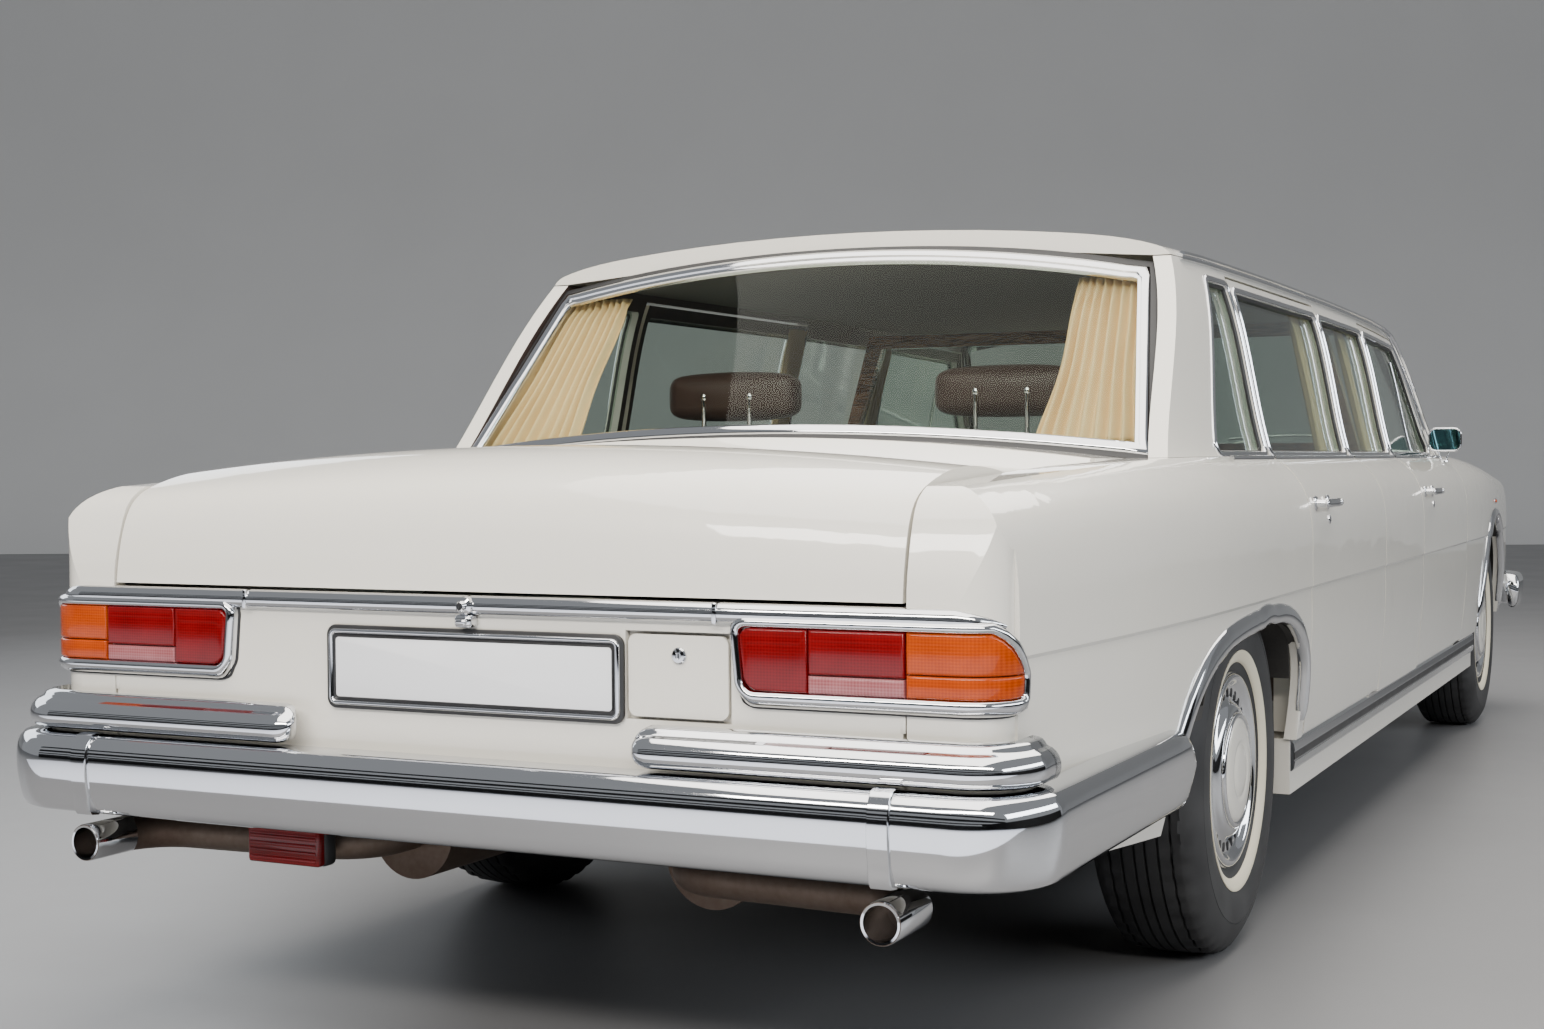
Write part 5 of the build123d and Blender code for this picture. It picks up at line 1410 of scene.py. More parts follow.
    def fog_lamp(self) -> None:
        """Rear fog lamp: ribbed red lens in a dark shell on its bracket."""
        low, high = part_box("fog_lamp")
        z1 = low[2] + 0.073
        shell = Work().block((low[0], low[1] + 0.014, low[2]), (high[0], high[1], z1), 0.010, 3)
        shell.block((-0.415, high[1] - 0.035, z1 - 0.01), (-0.385, high[1] - 0.020, high[2]), 0.002)
        shell.block((-0.425, high[1] - 0.040, z1 - 0.004), (-0.375, high[1] - 0.012, z1 + 0.004), 0.002)
        back = shell.done("fog_lamp_shell", BLACK_PLASTIC, "root", "underbody")
        lens = Work().block((low[0] + 0.002, low[1], low[2] + 0.002), (high[0] - 0.002, low[1] + 0.020, z1 - 0.002), 0.006, 3)
        for i in range(5):
            z = between(low[2] + 0.012, z1 - 0.012, i / 4)
            lens.block((low[0] + 0.008, low[1] - 0.0015, z - 0.0035), (high[0] - 0.008, low[1] + 0.004, z + 0.0035), 0.0014)
        red = lens.done("fog_lamp_lens", RED_LENS, "root", "lamp_lens")
        stand_for([back, red], "fog_lamp")


# ---------------------------------------------------------------- bumpers


@dataclass
class BumperLine:
    """A bumper's line in plan: a side run, a rounded corner and a straight across."""

    end: float
    way: int
    half: float
    corner: float
    reach: float

    def places(self, inner: float = 0.0) -> list[Station]:
        """Stations from the side run's end to a place short of the middle.

        Args:
            inner: How far from the middle the line stops.

        Returns:
            The stations, with out pointing away from the car.
        """
        centre = Vector((self.half - self.corner, self.end + self.way * self.corner, 0))
        path: list[Vector] = []
        normals: list[Vector] = []
        for i in range(8):
            y = between(self.end + self.way * self.reach, centre.y, i / 8)
            path.append(Vector((self.half, y, 0)))
            normals.append(Vector((1, 0, 0)))
        for i in range(17):
            turn = math.pi / 2 * i / 16
            arm = Vector((math.cos(turn), -self.way * math.sin(turn), 0))
            path.append(centre + arm * self.corner)
            normals.append(arm)
        for i in range(1, 13):
            path.append(Vector((between(centre.x, inner, i / 12), self.end, 0)))
            normals.append(Vector((0, -self.way, 0)))
        up = Vector((0, 0, 1))
        return [Station(p, up, n) for p, n in zip(path, normals)]


@dataclass
class Bumpers:
    """Plated bumpers: rear blade with its pair of upper bars, and the front blade."""

    rear: float
    front: float
    half: float
    blade: tuple[Flat, ...] = (
        (0.410, -0.030),
        (0.403, -0.020),
        (0.403, -0.012),
        (0.408, -0.003),
        (0.418, 0.002),
        (0.432, 0.0055),
        (0.448, 0.0085),
        (0.462, 0.0105),
        (0.476, 0.0115),
        (0.490, 0.0117),
        (0.503, 0.0110),
        (0.515, 0.0085),
        (0.526, 0.0035),
        (0.533, -0.003),
        (0.536, -0.014),
        (0.538, -0.030),
        (0.539, -0.046),
        (0.534, -0.048),
    )
    bar: tuple[Flat, ...] = (
        (0.543, -0.030),
        (0.5415, -0.014),
        (0.5425, -0.002),
        (0.547, 0.0070),
        (0.554, 0.0115),
        (0.562, 0.0130),
        (0.570, 0.0126),
        (0.578, 0.0102),
        (0.585, 0.0055),
        (0.590, -0.0005),
        (0.5925, -0.0070),
        (0.5950, -0.0095),
        (0.5985, -0.0115),
        (0.602, -0.0150),
        (0.6045, -0.0210),
        (0.606, -0.030),
    )

    def blade_work(self, end: float, way: int, reach: float, middle_z: float) -> Work:
        """One blade, with its side ends rounded off.

        Args:
            end: The Y of its face across the car.
            way: One towards the front from the tail, minus one from the nose.
            reach: How far its side runs go.
            middle_z: The height that the ends close towards.

        Returns:
            The whole blade.
        """
        line = BumperLine(end, way, self.half, 0.130, reach).places()
        lead = [(0.0, 0.35), (0.006, 0.72), (0.016, 0.92), (0.030, 1.0)]
        first = line[0]
        start = [
            Station(
                first.at + Vector((0, -way * step, 0)), first.side, first.out, (share, 1.0)
            )
            for step, share in lead
        ]
        places = [
            Station(s.at + Vector((0, 0, middle_z * (1 - s.scale[0]))), s.side, s.out, s.scale)
            for s in start
        ] + line[1:]
        return Work().sweep(self.blade, places).mirrored()

    def build(self) -> None:
        """Builds both bumpers."""
        shell = self.blade_work(self.rear + 0.012, 1, 0.842, 0.470)
        blade = shell.done("rear_bumper_blade", CHROME, "root", "chrome", 60)
        bars = self.upper_bars()
        straps = self.straps(self.rear)
        arms = self.arms("rear_bumper_arms", self.rear + 0.030, self.rear + 0.100)
        stand_for([blade, bars, straps, arms], "rear_bumper")
        shell = self.blade_work(self.front - 0.012, -1, 0.300, 0.470)
        blade = shell.done("front_bumper_blade", CHROME, "root", "chrome", 60)
        guards = self.guards()
        arms = self.arms("front_bumper_arms", self.front - 0.165, self.front - 0.030)
        stand_for([blade, guards, arms], "front_bumper")

    def upper_bars(self) -> bpy.types.Object:
        """The pair of upper bars, closed at both ends by round noses."""
        line = BumperLine(self.rear + 0.042, 1, self.half - 0.026, 0.096, 0.150).places(0.320)
        low, high = 0.541, 0.606
        middle = (low + high) / 2
        nose = [(0.0, 0.05), (0.002, 0.35), (0.006, 0.62), (0.013, 0.84), (0.022, 0.95), (0.032, 1.0)]

        def closing(station: Station, way: Vector) -> list[Station]:
            """Stations of one end's nose, its tip first."""
            made = []
            for step, share in nose:
                at = station.at + way * step + Vector((0, 0, middle * (1 - share)))
                at = at - station.out * 0.010 * (1 - share)
                made.append(Station(at, station.side, station.out, (share, share)))
            return made

        start = closing(line[0], Vector((0, -1, 0)))
        end = closing(line[-1], Vector((1, 0, 0)))
        work = Work().sweep(self.bar, start + line[1:-1] + list(reversed(end))).mirrored()
        return work.done("rear_upper_bars", CHROME, "root", "chrome", 60)

    def straps(self, end: float) -> bpy.types.Object:
        """Upright straps over the joints of the rear blade."""
        work = Work()
        x = 0.743
        spread = [(0.400, -0.016), (0.402, 0.000), (0.412, 0.0075)]
        spread += [(z, d + 0.0028) for z, d in self.blade[5:13]]
        spread += [(0.539, -0.002), (0.5415, -0.016), (0.541, -0.030)]
        up = Vector((0, 0, 1))
        shares = ((-0.017, 0.985), (-0.0155, 1.0), (0.0155, 1.0), (0.017, 0.985))
        out = Vector((0, -1, 0))
        places = [
            Station(Vector((x - dx, end + 0.012 - 0.002 * (s - 0.985) / 0.015, 0)), up, out)
            for dx, s in shares
        ]
        work.sweep(spread + [(0.52, -0.034), (0.42, -0.034)], places)
        return work.mirrored().done("bumper_straps", CHROME, "root", "chrome", 40)

    def arms(self, name: str, y0: float, y1: float) -> bpy.types.Object:
        """Arms that carry a blade, behind it."""
        work = Work().block((0.430, y0, 0.450), (0.480, y1, 0.500), 0.004)
        work.block((0.415, y0, 0.435), (0.495, y0 + 0.008, 0.515), 0.003)
        return work.mirrored().done(name, IRON, "root", "cast_metal")

    def guards(self) -> bpy.types.Object:
        """Upright guards on the front blade."""
        up, x = Vector((0, 0, 1)), 0.360
        work = Work()
        face = [(0.405, -0.010), (0.412, 0.006), (0.440, 0.0125), (0.500, 0.0145)]
        face += [(0.560, 0.011), (0.590, 0.001), (0.597, -0.014), (0.590, -0.026), (0.412, -0.026)]
        shares = ((0.022, 0.90), (0.020, 0.96), (0.013, 1.0), (-0.013, 1.0), (-0.020, 0.96), (-0.022, 0.90))
        places = [
            Station(Vector((x + dx, self.front - 0.0165, 0.5 * (1 - s))), up, Vector((0, 1, 0)), (s, s))
            for dx, s in shares
        ]
        return work.sweep(face, places).mirrored().done("front_guards", CHROME, "root", "chrome", 50)


# ---------------------------------------------------------------- wheels


@dataclass
class RoadWheel:
    """Whitewall tyre on a pressed wheel with a slotted ring and a domed cap."""

    name: str
    side: Side
    hub: Point
    radius: float = 0.371
    half: float = 0.1125
    slots: int = 30

    def profile_tyre(self) -> list[Flat]:
        """Half of the tyre's section, from the inner bead over the tread to the outer bead."""
        r, h = self.radius, self.half
        wall = [(0.1935, 0.0745), (0.200, 0.088), (0.207, 0.092), (0.212, 0.0935)]
        wall += [(0.225, 0.102), (0.250, h - 0.003), (0.280, h), (0.305, h - 0.001)]
        wall += [(0.3055, h - 0.002), (0.307, h - 0.002), (0.3075, h - 0.001), (0.325, h - 0.005)]
        wall += [(0.340, h - 0.0125), (0.352, h - 0.020), (0.361, h - 0.0265), (r - 0.005, h - 0.033)]
        shoulder = h - 0.037
        tread = [(r - 0.0035, shoulder)]
        groove, depth, land = 0.0055, 0.008, 0.0195
        edge = shoulder - 0.012
        while edge - groove > 0.006:
            crown = r - 0.0035 * (edge / shoulder) ** 2
            tread += [(crown, edge), (crown - depth, edge - 0.001)]
            tread += [(crown - depth, edge - groove + 0.001), (crown, edge - groove)]
            edge -= groove + land
        outer = [(radius, -offset) for radius, offset in wall + tread]
        return outer + [(radius, offset) for radius, offset in reversed(wall + tread)]

    def tread_cuts(self, work: Work) -> None:
        """Presses the shoulders' lateral grooves into the tyre."""
        for vert in work.mesh.verts:
            offset = abs((vert.co.x - self.hub[0]))
            arm = Vector((0, vert.co.y - self.hub[1], vert.co.z - self.hub[2]))
            if arm.length < self.radius - 0.030 or offset < 0.058 or offset > 0.092:
                continue
            turn = math.atan2(arm.z, arm.y) / (2 * math.pi) * 96
            if round(turn) % 2 == 0:
                vert.co -= arm.normalized() * 0.0045

    def build(self) -> None:
        """Builds the tyre, the wheel and its covers."""
        axis, body = (self.side.value, 0, 0), self.name
        tyre = Work().lathe(self.profile_tyre(), self.hub, axis, 192)
        self.close_beads(tyre)
        bmesh.ops.remove_doubles(tyre.mesh, verts=tyre.mesh.verts, dist=2e-6)
        self.tread_cuts(tyre)
        black = tyre.done(f"{self.name}_tyre_side", TYRE_BLACK, body, "tyre_rubber", 32)
        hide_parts(self.name.replace("wheel", "tyre"))
        h = self.half
        band = [(0.2175, 0.0960), (0.2180, 0.0990), (0.2250, 0.1040), (0.2340, 0.1073), (0.2415, h - 0.0032)]
        band += [(0.2428, h - 0.0036), (0.2434, h - 0.0070), (0.232, 0.1020), (0.221, 0.0965)]
        ring = Work().lathe([*band, band[0]], self.hub, axis, 128)
        ring.done(f"{self.name}_whitewall", WHITEWALL, body, "tyre_rubber", 50)
        self.rim()
        self.cover()

    def close_beads(self, work: Work) -> None:
        """Joins the two beads behind the rim, so that the tyre is closed."""
        loops = [e for e in work.mesh.edges if len(e.link_faces) == 1]
        if loops:
            bmesh.ops.bridge_loops(work.mesh, edges=loops)

    def rim(self) -> None:
        """The pressed rim and its inner dish."""
        axis = (self.side.value, 0, 0)
        half = 0.0825
        profile = [(0.150, -half + 0.012), (0.176, -half + 0.006), (0.190, -half), (0.1925, -half)]
        profile += [(0.1925, -half + 0.006), (0.182, -half + 0.014), (0.176, -0.030), (0.176, 0.030)]
        profile += [(0.184, half - 0.020), (0.1925, half - 0.006), (0.1935, half), (0.198, half + 0.002)]
        profile += [(0.199, half + 0.006), (0.196, half + 0.009), (0.190, half + 0.007), (0.184, half - 0.004)]
        profile += [(0.172, half - 0.024), (0.168, 0.020), (0.120, 0.012), (0.060, -0.010)]
        profile += [(0.036, -0.012), (0.036, -0.024), (0.062, -0.022), (0.120, 0.000), (0.164, 0.008)]
        profile += [(0.168, -0.030), (0.160, -half + 0.022), (0.150, -half + 0.016), (0.150, -half + 0.012)]
        work = Work().lathe(profile, self.hub, axis, 96)
        steel = work.done(f"{self.name}_rim", SATIN, self.name, "chrome", 40)
        hub = [(0, -0.05), (0.034, -0.05), (0.034, 0.02), (0.028, 0.03), (0, 0.03)]
        core = Work().lathe(hub, self.hub, axis, 40)
        boss = core.done(f"{self.name}_hub", IRON, self.name, "cast_metal")
        stand_for([steel, boss], self.name)

    def cover(self) -> None:
        """Bright trim ring with radial slots, and the ivory cap in its bright collar."""
        axis = (self.side.value, 0, 0)
        half = 0.0825
        ring = [(0.1965, half + 0.008), (0.1955, half + 0.0125), (0.191, half + 0.0155)]
        ring += [(0.184, half + 0.0155), (0.178, half + 0.0115), (0.172, half + 0.0045)]
        ring += [(0.166, half + 0.001), (0.150, half + 0.0005), (0.141, half + 0.003)]
        ring += [(0.136, half + 0.009), (0.131, half + 0.014), (0.124, half + 0.017)]
        ring += [(0.112, half + 0.0185), (0.112, half + 0.014), (0.128, half + 0.010)]
        ring += [(0.136, half - 0.001), (0.150, half - 0.0035), (0.168, half - 0.003), (0.178, half + 0.005)]
        ring += [(0.190, half + 0.009), (0.1965, half + 0.008)]
        work = Work().lathe(ring, self.hub, axis, 128)
        work.done(f"{self.name}_trim_ring", CHROME, self.name, "chrome", 50)
        self.painted_shade_slots(half)
        collar = [(0.117, half + 0.017), (0.117, half + 0.0215), (0.1135, half + 0.0245)]
        collar += [(0.1085, half + 0.0250), (0.1050, half + 0.0225), (0.1050, half + 0.016), (0.117, half + 0.017)]
        work = Work().lathe(collar, self.hub, axis, 96)
        work.done(f"{self.name}_cap_collar", CHROME, self.name, "chrome", 50)
        dome = [(0.1055, half + 0.019), (0.1045, half + 0.0225), (0.098, half + 0.0255)]
        dome += [(0.086, half + 0.0275), (0.066, half + 0.0287), (0.060, half + 0.0287)]
        dome += [(0.056, half + 0.0272), (0.052, half + 0.0272), (0.048, half + 0.0292)]
        dome += [(0.030, half + 0.0305), (0.014, half + 0.0309), (0.0, half + 0.0310)]
        work = Work().lathe([(0.0, half + 0.012), (0.1055, half + 0.012), *dome], self.hub, axis, 96)
        work.done(f"{self.name}_cap", IVORY, self.name, "body_paint", 50)

    def painted_shade_slots(self, half: float) -> None:
        """Dark blocks on the trim ring's valley, one where each slot is: their black is painted shade standing in for
        the open slots.
        """
        work = Work()
        for i in range(self.slots):
            turn = 2 * math.pi * i / self.slots
            slot = Work().block((half - 0.001, -0.0042, 0.1465), (half + 0.0030, 0.0042, 0.1655), 0.0028, 2)
            slot.moved(Matrix.Rotation(turn, 4, "X"))
            data = bpy.data.meshes.new("slot")
            slot.mesh.to_mesh(data)
            slot.mesh.free()
            work.mesh.from_mesh(data)
            bpy.data.meshes.remove(data)
        flip = Matrix.Diagonal((self.side.value, 1, 1, 1))
        work.moved(Matrix.Translation(self.hub) @ flip)
        # The blocks' black finish is painted shade for the dark insides of the slots.
        work.done(f"{self.name}_slots", SEAL, self.name, "chrome")


# ---------------------------------------------------------------- side trim


@dataclass
class SideTrim:
    """Plated strips along the body sides: sills, arches, belt, windows and gutters."""

    nodes: dict[str, bpy.types.Object]
    rear_axle: float
    front_axle: float
    hub_z: float = 0.371
    sill_z: float = 0.346
    sill_height: float = 0.066
    gutter: tuple[Flat, ...] = (
        (-1.600, 1.4215),
        (-1.400, 1.4255),
        (-0.720, 1.4265),
        (-0.020, 1.4235),
        (0.730, 1.4125),
        (1.060, 1.4015),
    )

    def build(self) -> None:
        """Builds all side trim."""
        self.sills()
        self.arch("rear", "rear_quarters", self.rear_axle, 0.30, (8.0, 176.0), 0.021)
        self.arch("front", "front_wings", self.front_axle, 0.30, (6.0, 172.0), 0.014)
        self.gutters()
        self.belt()
        self.panes()
        self.repeaters()

    def sills(self) -> None:
        """Plated strips on the sills, under the doors."""
        low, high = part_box("sills")
        h = self.sill_height / 2
        section = [(-h, -0.002), (-h, 0.004), (-0.82 * h, 0.0085), (-0.35 * h, 0.0115)]
        section += [(-0.30 * h, 0.0090), (0.30 * h, 0.0090), (0.35 * h, 0.0115)]
        section += [(0.82 * h, 0.0085), (h, 0.004), (h, -0.002)]
        up, out = Vector((0, 0, 1)), Vector((1, 0, 0))
        ends = (low[1] + 0.004, high[1] - 0.004)
        places = [Station(Vector((high[0], y, self.sill_z)), up, out) for y in ends]
        work = Work().sweep(section, places).mirrored()
        work.done("sill_strips", CHROME, "root", "chrome", 25)
        rubber = [(-0.28 * h, 0.0085), (-0.2 * h, 0.0105), (0.2 * h, 0.0105), (0.28 * h, 0.0085)]
        work = Work().sweep(rubber, places).mirrored()
        work.done("sill_strip_inserts", SEAL, "root", "chrome", 25)

    def opening(self, skin: Skin, axle: float, turn: float, start: float) -> Flat | None:
        """The arch's edge along one ray from its axle.

        Args:
            skin: The wing's faces.
            axle: The axle's Y.
            turn: The ray's angle above forwards, in radians.
            start: Where the search starts, which is inside the opening.

        Returns:
            The edge as (y, z), or None.
        """
        reach = start
        way = (math.cos(turn), math.sin(turn))
        while reach < 0.85:
            seen = skin.side(Side.RIGHT, axle + way[0] * reach, self.hub_z + way[1] * reach)
            if seen and seen[0].x > 0.86:
                return axle + way[0] * reach, self.hub_z + way[1] * reach
            reach += 0.001
        return None

    def arch(
        self, name: str, node: str, axle: float, start: float, turns: Flat, half: float
    ) -> None:
        """A plated lip round one pair of wheel arches.

        Args:
            name: Which end of the car.
            node: The node with the arch.
            axle: The axle's Y.
            start: A radius that is inside the opening all round.
            turns: The lip's ends, as angles above forwards in degrees.
            half: Half the lip's width.
        """
        skin = Skin(self.nodes, node)
        edge = []
        for i in range(61):
            turn = math.radians(between(turns[0], turns[1], i / 60))
            found = self.opening(skin, axle, turn, start)
            if found:
                edge.append(found)
        middle = []
        for i, point in enumerate(edge):
            before, after = Vector(edge[max(i - 1, 0)]), Vector(edge[min(i + 1, len(edge) - 1)])
            way = (after - before).normalized()
            out = Vector((way.y, -way.x))
            middle.append(tuple(Vector(point) + out * (half - 0.003)))
        path, normals = skin.along_side(Side.RIGHT, middle)
        section = [(-half, -0.012), (-half, 0.004), (-0.85 * half, 0.0095), (-0.5 * half, 0.0125)]
        section += [(0.0, 0.0115), (0.55 * half, 0.0085), (0.9 * half, 0.0045), (half, -0.002)]
        places = stations(path, normals)
        count = len(places)
        for i in (0, 1, count - 2, count - 1):
            shrink = 0.55 if i in (0, count - 1) else 0.9
            s = places[i]
            places[i] = Station(s.at, s.side, s.out, (shrink, shrink))
        work = Work().sweep(section, places).mirrored()
        work.done(f"{name}_arch_lips", CHROME, "root", "chrome", 50)

    def gutters(self) -> None:
        """Plated gutters over the doors and down the windscreen pillars."""
        skin = Skin(self.nodes, "side_frames", "roof_panel")
        points = spaced(self.gutter, 0.05)
        points += spaced([(1.085, 1.390), (1.452, 1.006)], 0.04)
        path, normals = skin.along_side(Side.RIGHT, points)
        section = [(-0.0085, -0.003), (-0.0085, 0.010), (-0.0060, 0.0150), (-0.0020, 0.0165)]
        section += [(0.0010, 0.0150), (0.0015, 0.0090), (0.0040, 0.0070), (0.0080, 0.0065), (0.0085, -0.003)]
        work = Work().sweep(section, stations(path, normals)).mirrored()
        work.done("roof_gutters", CHROME, "root", "chrome", 40)

    def belt(self) -> None:
        """Thin plated strips along the foot of the side windows."""
        section = bead(0.011, 0.0065, 6)
        z = 1.0015
        fixed = (("belt_strip_back", -1.555, -1.178), ("belt_strip_middle", -0.196, 0.446))
        skin = Skin(self.nodes, "side_frames", "rear_quarters")
        for name, y0, y1 in fixed:
            path, normals = skin.along_side(Side.RIGHT, spaced([(y0, z), (y1, z)], 0.06))
            work = Work().sweep(section, stations(path, normals)).mirrored()
            work.done(name, CHROME, "root", "chrome", 40)
        for end in ("front", "rear"):
            low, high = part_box(f"{end}_door_right")
            skin = Skin(self.nodes, f"{end}_door_right")
            run = [(low[1] + 0.004, z), (high[1] - 0.004, z)]
            path, normals = skin.along_side(Side.RIGHT, spaced(run, 0.06))
            for side in Side:
                work = flipped(Work().sweep(section, stations(path, normals)), side)
                body = f"{end}_door_{side.word}"
                work.done(f"{end}_belt_strip_{side.word}", CHROME, body, "chrome", 40)

    def panes(self) -> None:
        """Plated frames and black seals round every side window."""
        for end in ("front", "rear"):
            outline = silhouette(self.nodes[f"{end}_door_glass_right"])
            skin = Skin(self.nodes, f"{end}_door_right")
            for side in Side:
                body = f"{end}_door_{side.word}"
                self.frame(f"{end}_window_{side.word}", outline, skin, body, side)
        skin = Skin(self.nodes, "side_frames")
        glass = self.nodes["side_glass"].data.vertices
        split = -0.7
        for name, keep in (("quarter", lambda y: y < split), ("middle", lambda y: y > split)):
            data = bpy.data.meshes.new("pane")
            points = [v.co.copy() for v in glass if keep(v.co.y) and v.co.x > 0]
            data.from_pydata(points, [], [])
            holder = bpy.data.objects.new("pane", data)
            outline = silhouette(holder)
            for side in Side:
                self.frame(f"{name}_window_{side.word}", outline, skin, "root", side)
            bpy.data.objects.remove(holder)
        self.vent_bars()

    def frame(self, name: str, outline: list[Flat], skin: Skin, body: str, side: Side) -> None:
        """One window's plated frame, and the seal between it and the glass.

        Args:
            name: The pieces' name.
            outline: The glass's outline, as (y, z).
            skin: The faces of what holds the glass.
            body: The body that they ride on.
            side: Which side of the car.
        """
        points = spaced(outline, 0.03, closed=True)
        grown = self.grown(points, 0.0085)
        path, normals = skin.along_side(Side.RIGHT, grown)
        smooth = [self.soft_normal(n) for n in normals]
        section = [(-0.0080, -0.014), (-0.0080, 0.0010), (-0.0062, 0.0038), (-0.002, 0.0052)]
        section += [(0.003, 0.0048), (0.0066, 0.0030), (0.0078, 0.0006), (0.0078, -0.002)]
        work = flipped(Work().sweep(section, stations(path, smooth, True), True), side)
        work.done(f"{name}_frame", CHROME, body, "chrome", 40)
        seal = [(-0.0125, -0.0125), (-0.0125, -0.0075), (-0.0078, -0.0035), (-0.0070, -0.0035), (-0.007, -0.0125)]
        work = flipped(Work().sweep(seal, stations(path, smooth, True), True), side)
        work.done(f"{name}_seal", SEAL, body, "glass", 40)

    @staticmethod
    def soft_normal(normal: Vector) -> Vector:
        """A window frame's outward direction, which leans but never turns along the car."""
        return Vector((normal.x, 0, normal.z)).normalized()

    @staticmethod
    def grown(points: list[Flat], distance: float) -> list[Flat]:
        """An outline moved outwards.

        Args:
            points: The outline, as (y, z), anticlockwise.
            distance: How far.

        Returns:
            The moved outline.
        """
        made = []
        count = len(points)
        for i, p in enumerate(points):
            back = (Vector(p) - Vector(points[i - 1])).normalized()
            ahead = (Vector(points[(i + 1) % count]) - Vector(p)).normalized()
            way = (back + ahead).normalized()
            widen = 1.0 / max(0.6, math.cos(back.angle(ahead, 0.0) / 2))
            made.append((p[0] + way.y * distance * widen, p[1] - way.x * distance * widen))
        return made

    def vent_bars(self) -> None:
        """Upright bars that part the vent pane from the front door's window."""
        low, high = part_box("front_door_glass_right")
        glass = Skin(self.nodes, "front_door_glass_right")
        foot_y, top_y = high[1] - 0.335, high[1] - 0.350
        for side in Side:
            points = spaced([(foot_y, low[2] + 0.004), (top_y, high[2] - 0.012)], 0.05)
            path, normals = glass.along_side(Side.RIGHT, points)
            bar = Work().sweep(bead(0.014, 0.006, 6), stations(path, normals))
            flipped(bar, side).done(
                f"vent_bar_{side.word}", CHROME, f"front_door_{side.word}", "chrome", 40
            )

    def repeaters(self) -> None:
        """Small plated side lamps on the front wings, above the arch."""
        skin = Skin(self.nodes, "front_wings")
        seen = skin.side(Side.RIGHT, self.front_axle + 0.03, 0.836)
        if not seen:
            return
        at = seen[0]
        work = Work().ball((at.x, at.y, at.z), 0.012, (0.55, 2.2, 0.85)).mirrored()
        work.done("wing_repeaters", CHROME, "root", "chrome")
        work = Work().ball((at.x + 0.004, at.y - 0.012, at.z), 0.0075, (0.6, 1.6, 0.8)).mirrored()
        work.done("wing_repeater_lenses", AMBER_LENS, "root", "lamp_lens")


# ---------------------------------------------------------------- handles and mirrors


